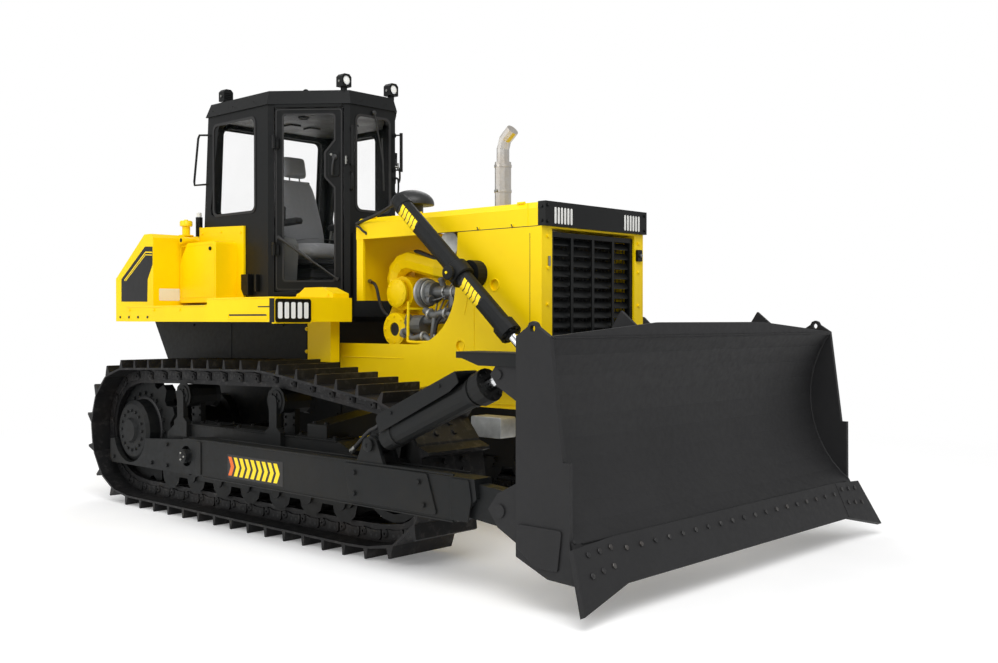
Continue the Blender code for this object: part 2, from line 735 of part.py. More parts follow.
def build_sprocket(side, pins):
    """Toothed ring whose gullets sit under the pins that wrap it."""
    centre = Vector((0, SPROCKET_Z))
    wrapped = [p for p in pins if abs((p - centre).length - SPROCKET_RADIUS) < 0.004]
    first = math.atan2(wrapped[0].y - SPROCKET_Z, wrapped[0].x)
    second = math.atan2(wrapped[1].y - SPROCKET_Z, wrapped[1].x)
    step = (second - first) % (2 * math.pi)
    teeth = round(2 * math.pi / step)
    tip = SPROCKET_RADIUS + TOOTH_TIP
    root = SPROCKET_RADIUS - TOOTH_ROOT
    outline = []
    for k in range(teeth):
        base = first + 2 * math.pi * k / teeth
        for share, radius in ((0.12, root), (0.36, tip), (0.64, tip), (0.88, root)):
            angle = base + share * 2 * math.pi / teeth
            outline.append((radius * math.cos(angle), SPROCKET_Z + radius * math.sin(angle)))
    y = side * TRACK_Y
    bore = circle((0, SPROCKET_Z), HUB_RADIUS + PIN_GAP, 32)
    ring = plate(side_name("sprocket", side), [outline, bore], "Y", y - TOOTH_HALF_WIDTH,
                 y + TOOTH_HALF_WIDTH)
    return finish(ring, "charcoal_paint")


def build_final_drive(side):
    inner_y = FRAME_HALF_WIDTH + SEAT
    ring_in = TRACK_Y - TOOTH_HALF_WIDTH - SEAT
    ring_out = TRACK_Y + TOOTH_HALF_WIDTH + SEAT
    case_in = ring_in - DRIVE_CASE_DEPTH
    cover = TRACK_Y + COVER_STAND
    profile = [
        (0, cover), (0.085, cover), (0.10, cover - 0.02),
        (COVER_RADIUS - 0.03, cover - 0.03), (COVER_RADIUS, cover - 0.05),
        (COVER_RADIUS, ring_out), (HUB_RADIUS, ring_out), (HUB_RADIUS, ring_in),
        (DRIVE_CASE_RADIUS, ring_in), (DRIVE_CASE_RADIUS, case_in),
        (DRIVE_CASE_RADIUS - DRIVE_SHOULDER, case_in - DRIVE_SHOULDER),
        (AXLE_CASE_RADIUS, case_in - DRIVE_SHOULDER),
        (AXLE_CASE_RADIUS, inner_y + AXLE_FLANGE_THICKNESS),
        (AXLE_FLANGE_RADIUS, inner_y + AXLE_FLANGE_THICKNESS),
        (AXLE_FLANGE_RADIUS, inner_y), (0, inner_y),
    ]
    drive = turned(side_name("final_drive", side), profile, (0, 0, SPROCKET_Z), (0, side, 0), 20)
    return finish(drive, "charcoal_paint", smooth=True)


def build_main_frame():
    half = FRAME_HALF_WIDTH
    outline = [
        (FRAME_REAR_X, BELLY_Z + 0.14), (FRAME_REAR_X + 0.16, BELLY_Z), (STEP_X - 0.12, BELLY_Z),
        (STEP_X, RAIL_BOTTOM_Z - 0.10), (STEP_X + 0.14, RAIL_BOTTOM_Z), (FRAME_FRONT_X, RAIL_BOTTOM_Z),
        (FRAME_FRONT_X, RAIL_TOP_Z), (STEP_X, RAIL_TOP_Z), (STEP_X - 0.10, FRAME_TOP),
        (FRAME_REAR_X, FRAME_TOP),
    ]
    frame = plate("main_frame", outline, "Y", -half, half)
    drawbar = plate("drawbar", [
        (DRAWBAR_END_X, -DRAWBAR_HALF_WIDTH), (FRAME_REAR_X + 0.05, -DRAWBAR_HALF_WIDTH * 2),
        (FRAME_REAR_X + 0.05, DRAWBAR_HALF_WIDTH * 2), (DRAWBAR_END_X, DRAWBAR_HALF_WIDTH),
    ], "Z", *DRAWBAR_Z)
    z = (BEAM_BOTTOM + BEAM_TOP) / 2
    reach = TRACK_Y - BEAM_HALF_WIDTH - GUARD_THICKNESS - SEAT
    pivot_shaft = cylinder("pivot_shaft", (PIVOT_SHAFT_X, 0, z), (0, 1, 0), PIVOT_SHAFT_RADIUS, 2 * reach)
    join(frame, drawbar, pivot_shaft)
    return finish(frame, "charcoal_paint")


def build_equaliser_bar():
    low, high = BEAM_TOP + SEAT, RAIL_BOTTOM_Z - SEAT
    reach = TRACK_Y + BEAM_HALF_WIDTH - 0.03
    outline = [
        (-reach, low), (reach, low), (reach, low + 0.09), (FRAME_HALF_WIDTH + 0.05, high),
        (-FRAME_HALF_WIDTH - 0.05, high), (-reach, low + 0.09),
    ]
    beam = plate("equaliser_bar", outline, "X", EQUALISER_X - EQUALISER_HALF_LENGTH,
                 EQUALISER_X + EQUALISER_HALF_LENGTH)
    return finish(beam, "charcoal_paint")


def arm_shape(name, side):
    """Box-section arm with a round eye at the trunnion and a narrower one at the blade."""
    y_span = mirrored((ARM_Y - ARM_HALF_WIDTH, ARM_Y + ARM_HALF_WIDTH), side)
    outline = [(ARM_END_X - 0.145, ARM_BOTTOM), (TRUNNION_X + 0.16, ARM_BOTTOM)]
    outline += [(TRUNNION_X + ARM_EYE_RADIUS * math.cos(math.radians(a)),
                 TRUNNION_Z + ARM_EYE_RADIUS * math.sin(math.radians(a))) for a in range(285, 60, -25)]
    outline += [(TRUNNION_X + 0.20, ARM_TOP), (ARM_END_X - 0.015, ARM_TOP - 0.01),
                (ARM_END_X, ARM_TOP - 0.112)]
    arm = plate(name, [outline, circle((TRUNNION_X, TRUNNION_Z), BALL_RADIUS + PIN_GAP, 24)], "Y", *y_span)
    neck_half = TIP_HALF_WIDTH
    neck = [(ARM_END_X - 0.185, ARM_BOTTOM + 0.04), (ARM_TIP_X, ARM_TIP_Z - TIP_EYE_RADIUS)]
    neck += arc((ARM_TIP_X, ARM_TIP_Z), TIP_EYE_RADIUS, -75, 75, 10)
    neck += [(ARM_TIP_X, ARM_TIP_Z + TIP_EYE_RADIUS), (ARM_END_X - 0.185, ARM_TOP - 0.027)]
    hole = circle((ARM_TIP_X, ARM_TIP_Z), TIP_PIN_RADIUS + EYE_GAP, 16)
    tip = plate("arm_tip", [neck, hole], "Y", *mirrored((ARM_Y - neck_half, ARM_Y + neck_half), side))
    ears = []
    ear_in = BRACE_EYE_HALF_WIDTH + RUN_GAP
    for near, far in ((-ear_in - CLEVIS_THICKNESS, -ear_in), (ear_in, ear_in + CLEVIS_THICKNESS)):
        ears.append(plate("brace_ear", [
            (BRACE_FOOT_X - 0.13, ARM_TOP - 0.03), (BRACE_FOOT_X + 0.13, ARM_TOP - 0.03),
            (BRACE_FOOT_X + 0.055, BRACE_FOOT_Z + 0.03), (BRACE_FOOT_X, BRACE_FOOT_Z + 0.055),
            (BRACE_FOOT_X - 0.055, BRACE_FOOT_Z + 0.03),
        ], "Y", side * ARM_Y + near, side * ARM_Y + far))
    pin = cylinder("brace_pin", (BRACE_FOOT_X, side * ARM_Y, BRACE_FOOT_Z), (0, 1, 0), BRACE_PIN_RADIUS,
                   2 * (ear_in + CLEVIS_THICKNESS) + 0.02, 16)
    join(arm, tip, *ears, pin)
    return arm


def build_trunnion_cap(side):
    """Keeper plate on the trunnion's outer end."""
    start = side * (ARM_Y + BALL_RADIUS + SEAT)
    end = side * (ARM_Y + BALL_RADIUS + 0.018)
    cap = bar(side_name("trunnion_cap", side), (TRUNNION_X, start, TRUNNION_Z),
              (TRUNNION_X, end, TRUNNION_Z), 0.05)
    return finish(cap, "charcoal_paint", smooth=True)


def brace_points(side):
    foot = Vector((BRACE_FOOT_X, side * ARM_Y, BRACE_FOOT_Z))
    head = Vector((BRACE_HEAD_X, side * ARM_Y, BRACE_HEAD_Z))
    return foot, head, (head - foot).normalized()


def build_tilt_barrel(side):
    foot, head, along = brace_points(side)
    reach = (head - foot).length
    barrel = bar(side_name("tilt_barrel", side), foot + along * 0.10,
                 foot + along * (reach * TILT_BARREL_SHARE), TILT_RADIUS)
    eye = cylinder("eye", foot, (0, 1, 0), BRACE_EYE_RADIUS, 2 * BRACE_EYE_HALF_WIDTH, 20)
    neck = bar("neck", foot + along * 0.03, foot + along * 0.11, 0.035)
    gland = bar("gland", foot + along * (reach * TILT_BARREL_SHARE - 0.04),
                foot + along * (reach * TILT_GLAND_SHARE), TILT_GLAND_RADIUS)
    join(barrel, neck, eye, gland, *barrel_guard(foot, along, reach))
    bore = bar("bore", foot + along * 0.18, foot + along * (reach * TILT_GLAND_SHARE + 0.02),
               BRACE_ROD_RADIUS + PIN_GAP, 16)
    waist = BRACE_PIN_RADIUS + PIN_GAP
    mouth = waist + BALL_EYE_GAP
    reach_out = BRACE_EYE_HALF_WIDTH + SEAT
    pin_hole = turned("pin_hole", [(0, reach_out), (mouth, reach_out), (waist, 0), (mouth, -reach_out),
                                   (0, -reach_out)],
                      foot, (0, 1, 0), 16)
    cut(barrel, bore, pin_hole)
    return finish(barrel, "charcoal_paint", smooth=True)


def barrel_guard(foot, along, reach):
    """Flat stone guard above the cylinder, on two saddles."""
    up = Vector((-along.z, 0, along.x))
    under, over = TILT_COVER_LIFT, TILT_COVER_LIFT + TILT_COVER_THICKNESS
    start, end = TILT_COVER_START * reach, TILT_COVER_END * reach
    sheet = [foot + along * shift + up * lift
             for shift, lift in ((start, under), (end, under), (end, over), (start, over))]
    parts = [plate("guard", [(p.x, p.z) for p in sheet], "Y", foot.y - TILT_COVER_HALF_WIDTH,
                   foot.y + TILT_COVER_HALF_WIDTH)]
    for share in SADDLE_SHARES:
        middle = foot + along * (reach * share)
        stand = [middle + along * shift + up * lift for shift, lift in (
            (-SADDLE_HALF_LENGTH, 0), (SADDLE_HALF_LENGTH, 0),
            (SADDLE_HALF_LENGTH, under + 0.004), (-SADDLE_HALF_LENGTH, under + 0.004))]
        parts.append(plate("saddle", [(p.x, p.z) for p in stand], "Y", foot.y - SADDLE_HALF_WIDTH,
                           foot.y + SADDLE_HALF_WIDTH))
    return parts


def build_tilt_rod(side):
    foot, head, along = brace_points(side)
    reach = (head - foot).length
    rod = bar(side_name("tilt_rod", side), foot + along * (reach * TILT_ROD_SHARE), head - along * 0.03,
              BRACE_ROD_RADIUS)
    eye = cylinder("eye", head, (0, 1, 0), BRACE_EYE_RADIUS, 2 * BRACE_EYE_HALF_WIDTH, 20)
    join(rod, eye)
    hole = cylinder("hole", head, (0, 1, 0), BRACE_PIN_RADIUS + EYE_GAP * 0.6, 0.2, 16)
    cut(rod, hole)
    return finish(rod, "chrome", smooth=True)


def build_brace_left():
    """Fixed strut of the left side, with the same pins as the tilt cylinder."""
    foot, head, along = brace_points(1)
    strut = bar("brace_left", foot + along * 0.08, head - along * 0.08, BRACE_RADIUS * 0.8)
    parts = [bar("neck", foot + along * 0.03, head - along * 0.03, 0.035)]
    for end in (foot, head):
        parts.append(cylinder("eye", end, (0, 1, 0), BRACE_EYE_RADIUS, 2 * BRACE_EYE_HALF_WIDTH, 20))
    join(strut, *parts)
    cut(strut, *[cylinder("hole", end, (0, 1, 0), BRACE_PIN_RADIUS + PIN_GAP, 0.2, 16) for end in (foot,
                                                                                                   head)])
    return finish(strut, "charcoal_paint", smooth=True)


def moldboard_centre():
    """Axis of the moldboard's round front face, ahead of the blade."""
    top, low = Vector(MOLDBOARD_TOP), Vector(MOLDBOARD_LOW)
    chord = low - top
    outward = Vector((-chord.y, chord.x)).normalized()
    rise = math.sqrt(MOLDBOARD_RADIUS ** 2 - (chord.length / 2) ** 2)
    return (top + low) / 2 + outward * rise


def moldboard_x(z):
    centre = moldboard_centre()
    return centre.x - math.sqrt(MOLDBOARD_RADIUS ** 2 - (z - centre.y) ** 2)


def moldboard_arc(count=10):
    """Front face of the moldboard from its top edge to the cutting edge's top."""
    top, low = Vector(MOLDBOARD_TOP), Vector(MOLDBOARD_LOW)
    centre = moldboard_centre()
    start = math.atan2(top.y - centre.y, top.x - centre.x)
    end = math.atan2(low.y - centre.y, low.x - centre.x)
    sweep = (end - start) % (2 * math.pi)
    return [(centre.x + MOLDBOARD_RADIUS * math.cos(start + sweep * i / count),
             centre.y + MOLDBOARD_RADIUS * math.sin(start + sweep * i / count)) for i in range(count + 1)]


def blade_clevis(side):
    """Ears and pin that take the arm's tip and the brace's head."""
    y = side * ARM_Y
    inner = TIP_HALF_WIDTH + TIP_SIDE_GAP
    parts = []
    for near, far in ((-inner - CLEVIS_THICKNESS, -inner), (inner, inner + CLEVIS_THICKNESS)):
        parts.append(plate("low_ear", [
            (BLADE_BACK_X + 0.03, ARM_TIP_Z - 0.17), (BLADE_BACK_X + 0.03, ARM_TIP_Z + 0.17),
            (ARM_TIP_X - 0.02, ARM_TIP_Z + 0.085), (ARM_TIP_X - 0.085, ARM_TIP_Z),
            (ARM_TIP_X - 0.02, ARM_TIP_Z - 0.085),
        ], "Y", y + near, y + far))
        parts.append(plate("high_ear", [
            (BLADE_BACK_X + 0.03, BRACE_HEAD_Z - 0.15), (BLADE_BACK_X + 0.03, BRACE_HEAD_Z + 0.13),
            (BRACE_HEAD_X - 0.01, BRACE_HEAD_Z + 0.06), (BRACE_HEAD_X - 0.06, BRACE_HEAD_Z),
            (BRACE_HEAD_X - 0.01, BRACE_HEAD_Z - 0.06),
        ], "Y", y + near, y + far))
    span = 2 * (inner + CLEVIS_THICKNESS) + 0.02
    parts.append(cylinder("low_pin", (ARM_TIP_X, y, ARM_TIP_Z), (0, 1, 0), TIP_PIN_RADIUS, span, 16))
    parts.append(cylinder("high_pin", (BRACE_HEAD_X, y, BRACE_HEAD_Z), (0, 1, 0), BRACE_PIN_RADIUS, span, 16))
    return parts


def build_blade():
    front = moldboard_arc()
    back = [(x - MOLDBOARD_THICKNESS, z) for x, z in reversed(front)]
    top_x = MOLDBOARD_TOP[0]
    low_x, low_z = MOLDBOARD_LOW
    up_x, up_z = EDGE_UP
    foot = [(low_x - up_x * 0.13, low_z - up_z * 0.13),
            (low_x - up_x * 0.13 - up_z * MOLDBOARD_THICKNESS,
             low_z - up_z * 0.13 + up_x * MOLDBOARD_THICKNESS)]
    blade = plate("blade", front + foot + back, "Y", -BLADE_HALF_WIDTH + 0.01, BLADE_HALF_WIDTH - 0.01)
    parts = []
    parts.append(plate("spill_guard", [
        (-BLADE_HALF_WIDTH, BLADE_TOP_Z - 0.02), (BLADE_HALF_WIDTH, BLADE_TOP_Z - 0.02),
        (BLADE_HALF_WIDTH, BLADE_TOP_Z), (SPILL_HALF_WIDTH, BLADE_TOP_Z + SPILL_RISE),
        (-SPILL_HALF_WIDTH, BLADE_TOP_Z + SPILL_RISE), (-BLADE_HALF_WIDTH, BLADE_TOP_Z),
    ], "X", top_x - MOLDBOARD_THICKNESS, top_x))
    guard_rear_x = top_x - 0.19
    for side in (-1, 1):
        levels = (BLADE_TOP_Z - 0.12, BLADE_TOP_Z - 0.08, BLADE_TOP_Z - 0.04)
        root = [(moldboard_x(z) - MOLDBOARD_THICKNESS / 2, z) for z in levels]
        parts.append(plate("rod_guard", root + [
            (top_x - 0.005, BLADE_TOP_Z - 0.004), (top_x - 0.005, BLADE_TOP_Z + 0.03),
            (guard_rear_x + 0.06, BLADE_TOP_Z + ROD_GUARD_RISE), (guard_rear_x, BLADE_TOP_Z + 0.04),
            (guard_rear_x, BLADE_TOP_Z - 0.12),
        ], "Y", *mirrored((LIFT_Y + 0.03, LIFT_Y + 0.05), side)))
    ear_x = (BLADE_BACK_X + top_x) / 2
    for side in (-1, 1):
        span = mirrored((BLADE_HALF_WIDTH - END_PLATE_THICKNESS, BLADE_HALF_WIDTH), side)
        outline = [
            (BLADE_BACK_X, BLADE_TOP_Z), (BLADE_BACK_X, BLADE_BACK_BOTTOM), END_PLATE_HEEL, END_PLATE_FOOT,
            (END_PLATE_NOSE[0] + 0.003, MOLDBOARD_LOW[1]), END_PLATE_NOSE,
            (END_PLATE_NOSE[0] - 0.04, END_PLATE_NOSE[1]),
            (top_x, BLADE_TOP_Z),
        ]
        outline += arc((ear_x, BLADE_TOP_Z + EAR_RISE - 0.035), 0.035, 10, 170, 4)
        ear_hole = circle((ear_x, BLADE_TOP_Z + EAR_RISE - 0.037), EAR_HOLE_RADIUS, 10)
        parts.append(plate("end_plate", [outline, ear_hole], "Y", *span))
        parts.extend(blade_clevis(side))
    for low, high in BACK_BOXES:
        levels = [low + (high - low) * k / 4 for k in range(5)]
        behind = [(moldboard_x(z) - MOLDBOARD_THICKNESS / 2, z) for z in levels]
        parts.append(plate("back_box", [(BLADE_BACK_X, high - 0.02), (BLADE_BACK_X, low + 0.02)] + behind,
                           "Y",
                           -BLADE_HALF_WIDTH + 0.012, BLADE_HALF_WIDTH - 0.012))
    ear_in = LIFT_EYE_HALF_WIDTH + LIFT_SIDE_GAP
    ear_front = MOLDBOARD_TOP[0] - 0.145
    for side in (-1, 1):
        for near, far in ((-ear_in - 0.02, -ear_in), (ear_in, ear_in + 0.02)):
            parts.append(plate("lift_ear", [
                (ear_front, LIFT_PIN_Z - 0.23), (ear_front, LIFT_PIN_Z + 0.27),
                (BLADE_BACK_X, LIFT_PIN_Z + 0.25),
                (LIFT_PIN_X - 0.05, LIFT_PIN_Z + 0.06), (LIFT_PIN_X - 0.06, LIFT_PIN_Z - 0.03),
                (BLADE_BACK_X, LIFT_PIN_Z - 0.21),
            ], "Y", side * LIFT_Y + near, side * LIFT_Y + far))
    join(blade, *parts, solver="MANIFOLD")
    return finish(blade, "blade_steel")


def edge_plate(name, outline, thickness):
    """Flat plate on the sloping foot of the moldboard; outline in (Y, distance up from the edge's tip)."""
    flat = plate(name, outline, "Z", SEAT, SEAT + thickness)
    up_x, up_z = EDGE_UP
    place = Matrix((
        (0, up_x, up_z, EDGE_TIP[0]),
        (1, 0, 0, 0),
        (0, up_z, -up_x, EDGE_TIP[1]),
        (0, 0, 0, 1),
    ))
    flat.data.transform(place)
    return flat


def build_cutting_edge():
    edge = edge_plate("cutting_edge", [
        (-EDGE_HALF_WIDTH, 0), (EDGE_HALF_WIDTH, 0), (EDGE_HALF_WIDTH, EDGE_HEIGHT),
        (-EDGE_HALF_WIDTH, EDGE_HEIGHT),
    ], EDGE_THICKNESS)
    return finish(edge, "blade_steel")


def build_end_bit(side):
    inner = EDGE_HALF_WIDTH + SEAT
    outline = [(inner, 0), (BIT_TIP_Y, -BIT_DROP), (BIT_TIP_Y - 0.075, EDGE_HEIGHT - 0.02),
               (inner, EDGE_HEIGHT)]
    if side < 0:
        outline = [(-y, up) for y, up in reversed(outline)]
    return finish(edge_plate(side_name("end_bit", side), outline, BIT_THICKNESS), "blade_steel")


def lift_line():
    pivot = Vector((YOKE_X, 0, YOKE_Z))
    pin = Vector((LIFT_PIN_X, 0, LIFT_PIN_Z))
    return pivot, pin, (pin - pivot).normalized()


def build_lift_cylinder(side):
    pivot, pin, along = lift_line()
    shift = Vector((0, side * LIFT_Y, 0))
    pivot, pin = pivot + shift, pin + shift
    barrel = bar(side_name("lift_barrel", side), pivot - along * LIFT_BARREL_TAIL,
                 pivot + along * LIFT_BARREL_NOSE, LIFT_BARREL_RADIUS)
    collar = bar("collar", pivot - along * 0.05, pivot + along * 0.05, LIFT_BARREL_RADIUS + 0.014)
    gland = bar("gland", pivot + along * (LIFT_BARREL_NOSE - 0.07),
                pivot + along * (LIFT_BARREL_NOSE + 0.012),
                LIFT_BARREL_RADIUS + 0.014)
    ears = cylinder("ears", pivot, (0, 1, 0), 0.026, 2 * (LIFT_BARREL_RADIUS + 0.035), 16)
    join(barrel, collar, gland, ears)
    bore = bar("bore", pivot - along * (LIFT_BARREL_TAIL - 0.05), pivot + along * (LIFT_BARREL_NOSE + 0.05),
               LIFT_ROD_RADIUS + PIN_GAP, 16)
    cut(barrel, bore)
    finish(barrel, "charcoal_paint", smooth=True)
    rod = bar(side_name("lift_rod", side), pivot + along * 0.02, pin - along * 0.02, LIFT_ROD_RADIUS)
    eye = cylinder("eye", pin, (0, 1, 0), LIFT_EYE_RADIUS, 2 * LIFT_EYE_HALF_WIDTH, 20)
    join(rod, eye)
    finish(rod, "chrome", smooth=True)


def build_yoke(side):
    """Fork on the radiator guard's side that holds the lift barrel's trunnion pins."""
    inner = HOOD_HALF_WIDTH + SEAT
    arm_in = LIFT_Y - LIFT_BARREL_RADIUS - 0.014 - RUN_GAP
    y_span = mirrored((inner, arm_in), side)
    yoke = plate(side_name("lift_yoke", side), [
        circle((YOKE_X, YOKE_Z), 0.085, 20), circle((YOKE_X, YOKE_Z), 0.026 + PIN_GAP, 16),
    ], "Y", *y_span)
    return finish(yoke, "charcoal_paint")


def build_side_guard(side):
    """Engine side plate: low sill, concave sweep up to the radiator guard."""
    top = HOOD_LOW_Z - SEAT
    sweep = arc((SWEEP_X, SILL_TOP_Z + SWEEP_RADIUS), SWEEP_RADIUS, -85, -5, 8)
    outline = [
        (SILL_REAR_X, SILL_TOP_Z - SILL_DEPTH), (SILL_LOW_X, SILL_LOW_Z),
        (SILL_LOW_X + 0.67, SILL_LOW_Z + 0.12),
        (GUARD_FRONT_X, SILL_LOW_Z + 0.073), (GUARD_FRONT_X, top), (SWEEP_X + SWEEP_RADIUS + 0.02, top),
    ] + list(reversed(sweep)) + [(SILL_REAR_X, SILL_TOP_Z)]
    holes = [circle(place, SIDE_HOLE_RADIUS, 16) for place in SIDE_HOLES]
    span = mirrored((HOOD_HALF_WIDTH - SKIN, HOOD_HALF_WIDTH), side)
    guard = plate(side_name("side_guard", side), [outline] + holes, "Y", *span)
    return finish(guard, "yellow_paint")


def build_hood():
    """Folded hood over the engine bay; its rear end stands on two posts joined by the firewall."""
    half = HOOD_HALF_WIDTH
    crown = HOOD_TOP_Z
    bend = HOOD_CROWN
    outer = [(-half, HOOD_LOW_Z), (-half, crown - bend), (-half + bend, crown), (half - bend, crown),
             (half, crown - bend), (half, HOOD_LOW_Z)]
    inner = [(half - SKIN, HOOD_LOW_Z), (half - SKIN, crown - bend - 0.006),
             (half - bend - 0.006, crown - SKIN),
             (-half + bend + 0.006, crown - SKIN), (-half + SKIN, crown - bend - 0.006),
             (-half + SKIN, HOOD_LOW_Z)]
    hood = plate("hood", outer + inner, "X", HOOD_REAR_X, GUARD_FRONT_X - 0.03)
    parts = []
    for side in (-1, 1):
        parts.append(box("post", (HOOD_REAR_X + 0.002, HOOD_REAR_X + POST_LENGTH),
                         mirrored((half - SKIN - 0.004, half - 0.003), side),
                         (POST_FOOT_Z, HOOD_LOW_Z + 0.05)))
    parts.append(box("firewall", (HOOD_REAR_X + 0.004, HOOD_REAR_X + SKIN),
                     (-half + SKIN - 0.006, half - SKIN + 0.006),
                     (POST_FOOT_Z + 0.002, crown - bend - 0.02)))
    join(hood, *parts, solver="MANIFOLD")
    return finish(hood, "yellow_paint")


def build_header():
    header = box("header_panel", (GUARD_FRONT_X - 0.03 + SEAT, HEADER_FRONT_X),
                 (-HOOD_HALF_WIDTH, HOOD_HALF_WIDTH),
                 (HOOD_LOW_Z, HOOD_TOP_Z))
    return finish(header, "black_paint")


def build_radiator_guard():
    half = HOOD_HALF_WIDTH - SKIN - SEAT
    low, high = RAIL_TOP_Z + SEAT, HOOD_LOW_Z - SEAT
    outer = [(-half, low), (half, low), (half, high), (-half, high)]
    inner = [(-GRILLE_HALF_WIDTH, low + 0.05), (GRILLE_HALF_WIDTH, low + 0.05),
             (GRILLE_HALF_WIDTH, high - 0.01), (-GRILLE_HALF_WIDTH, high - 0.01)]
    guard = plate("radiator_guard", [outer, inner], "X", GUARD_REAR_X + 0.25, GUARD_FRONT_X)
    return finish(guard, "yellow_paint")


def build_grille():
    low, high = RAIL_TOP_Z + 0.055, HOOD_LOW_Z - 0.03
    half = GRILLE_HALF_WIDTH - SEAT
    front = GUARD_FRONT_X - 0.015
    grille = plate("grille", [
        [(-half, low), (half, low), (half, high), (-half, high)],
        [(-half + 0.03, low + 0.03), (half - 0.03, low + 0.03), (half - 0.03, high - 0.03),
         (-half + 0.03, high - 0.03)],
    ], "X", front - 0.04, front)
    parts = []
    for k in range(GRILLE_BARS):
        y = (k + 1) / (GRILLE_BARS + 1) * 2 * half - half
        parts.append(box("post", (front - 0.008, front), (y - 0.012, y + 0.012), (low + 0.01, high - 0.01)))
    for k in range(LOUVRE_COUNT):
        z = low + 0.03 + (high - low - 0.06) * (k + 0.5) / LOUVRE_COUNT
        back = front - 0.012 - LOUVRE_DEPTH
        parts.append(plate("louvre", [
            (back, z + LOUVRE_RAKE / 2 + LOUVRE_THICKNESS), (back, z + LOUVRE_RAKE / 2),
            (front - 0.012, z - LOUVRE_RAKE / 2), (front - 0.012, z - LOUVRE_RAKE / 2 + LOUVRE_THICKNESS),
        ], "Y", -half + 0.02, half - 0.02))
    join(grille, *parts)
    return finish(grille, "black_paint")


def build_radiator():
    core = box("radiator", RADIATOR_X, (-GRILLE_HALF_WIDTH + SEAT, GRILLE_HALF_WIDTH - SEAT),
               (RAIL_TOP_Z + 0.05 + 2 * SEAT, HOOD_LOW_Z - 0.03))
    return finish(core, "black_paint")


def build_engine():
    """Yellow engine: pan, block and head, bell housing and the bent intake duct."""
    low = RAIL_TOP_Z + SEAT
    rear, front = BLOCK_X
    half = BLOCK_HALF_WIDTH
    engine = box("engine", BLOCK_X, (-half, half), (low + 0.10, BLOCK_TOP))
    pan = box("pan", (rear + 0.06, front - 0.09), (-half + 0.06, half - 0.06), (low, low + 0.12))
    head = box("head", (rear + 0.04, front - 0.05), (-half + 0.05, half - 0.05), (BLOCK_TOP - 0.01, HEAD_TOP))
    bell = cylinder("bell_housing", (sum(BELL_X) / 2, 0, CRANK_Z), (1, 0, 0), BELL_RADIUS,
                    BELL_X[1] - BELL_X[0], 20)
    starter_nose = cylinder("starter_nose", (rear + 0.09, -half - 0.09, CRANK_Z), (0, 1, 0), 0.115, 0.20, 16)
    pump = cylinder("pump_body", (rear + 0.10, -half - 0.05, TURBO_Z), (0, 1, 0), 0.12, 0.16, 16)
    bend = [math.pi * k / 6 for k in range(7)]
    duct_points = [(rear + 0.62, -half + 0.02, BLOCK_TOP + 0.02),
                   (rear + 0.40, -half - 0.06, BLOCK_TOP + 0.06)]
    duct_points += [(rear + 0.14 - 0.15 * math.sin(t), -half - 0.07, TURBO_Z + 0.10 + 0.13 * math.cos(t))
                    for t in bend]
    duct = tube("duct", duct_points, DUCT_RADIUS, 2)
    join(engine, pan, head, bell, starter_nose, pump, duct)
    cut(engine, cylinder("inspection_hole", (rear + 0.09, -half - 0.19, CRANK_Z), (0, 1, 0), 0.048, 0.16, 14))
    return finish(engine, "yellow_paint")


def build_turbocharger():
    """Bare metal group on the engine's right: compressor, turbine tube, elbows and the starter motor."""
    out = -BLOCK_HALF_WIDTH - SEAT
    rear = BLOCK_X[0]
    turbo = cylinder("turbocharger", (rear + 0.36, TURBO_Y, TURBO_Z), (1, 0, 0), 0.095, 0.06, 20)
    parts = [
        cylinder("compressor_back", (rear + 0.41, TURBO_Y, TURBO_Z), (1, 0, 0), 0.070, 0.10, 16),
        cylinder("turbine_tube", (rear + 0.57, TURBO_Y, TURBO_Z), (1, 0, 0), 0.042, 0.32, 16),
        box("mounting", (rear + 0.56, rear + 0.68), (TURBO_Y, out), (TURBO_Z - 0.05, TURBO_Z + 0.03)),
        tube("elbow", [(rear + 0.62, TURBO_Y, TURBO_Z), (rear + 0.62, TURBO_Y, CRANK_Z + 0.12),
                       (rear + 0.56, TURBO_Y - 0.02, CRANK_Z + 0.07),
                       (rear + 0.36, TURBO_Y - 0.02, CRANK_Z + 0.06)],
             0.032, 2),
        cylinder("starter_motor", (rear + 0.32, TURBO_Y - 0.02, CRANK_Z + 0.03), (1, 0, 0), 0.068, 0.12, 16),
    ]
    join(turbo, *parts)
    return finish(turbo, "engine_grey", smooth=True)


def build_air_cleaner():
    """Drum across the bay, hung under the hood's crown by a saddle."""
    z = HOOD_LOW_Z - 0.07
    half = HOOD_HALF_WIDTH - SKIN - 0.04
    drum = cylinder("air_cleaner", (CLEANER_X, 0, z), (0, 1, 0), CLEANER_RADIUS, 2 * half, 20)
    saddle = box("saddle", (CLEANER_X - 0.05, CLEANER_X + 0.05), (-0.12, 0.12),
                 (z + CLEANER_RADIUS - 0.02, HOOD_TOP_Z - SKIN - SEAT))
    join(drum, saddle)
    return finish(drum, "light_metal", smooth=True)


def build_exhaust():
    low = HOOD_TOP_Z + SEAT
    x, collar = EXHAUST_X, HOOD_TOP_Z + EXHAUST_COLLAR
    pipe = tube("exhaust_stack", [(x, 0, low), (x, 0, collar)], EXHAUST_RADIUS)
    upper = tube("upper", [
        (x, 0, collar - 0.02), (x, 0, collar + 0.09), (x + 0.02, 0, collar + 0.15),
        (x + 0.09, 0, collar + 0.21),
    ], EXHAUST_RADIUS * 0.78)
    join(pipe, upper)
    return finish(pipe, "stainless", smooth=True)


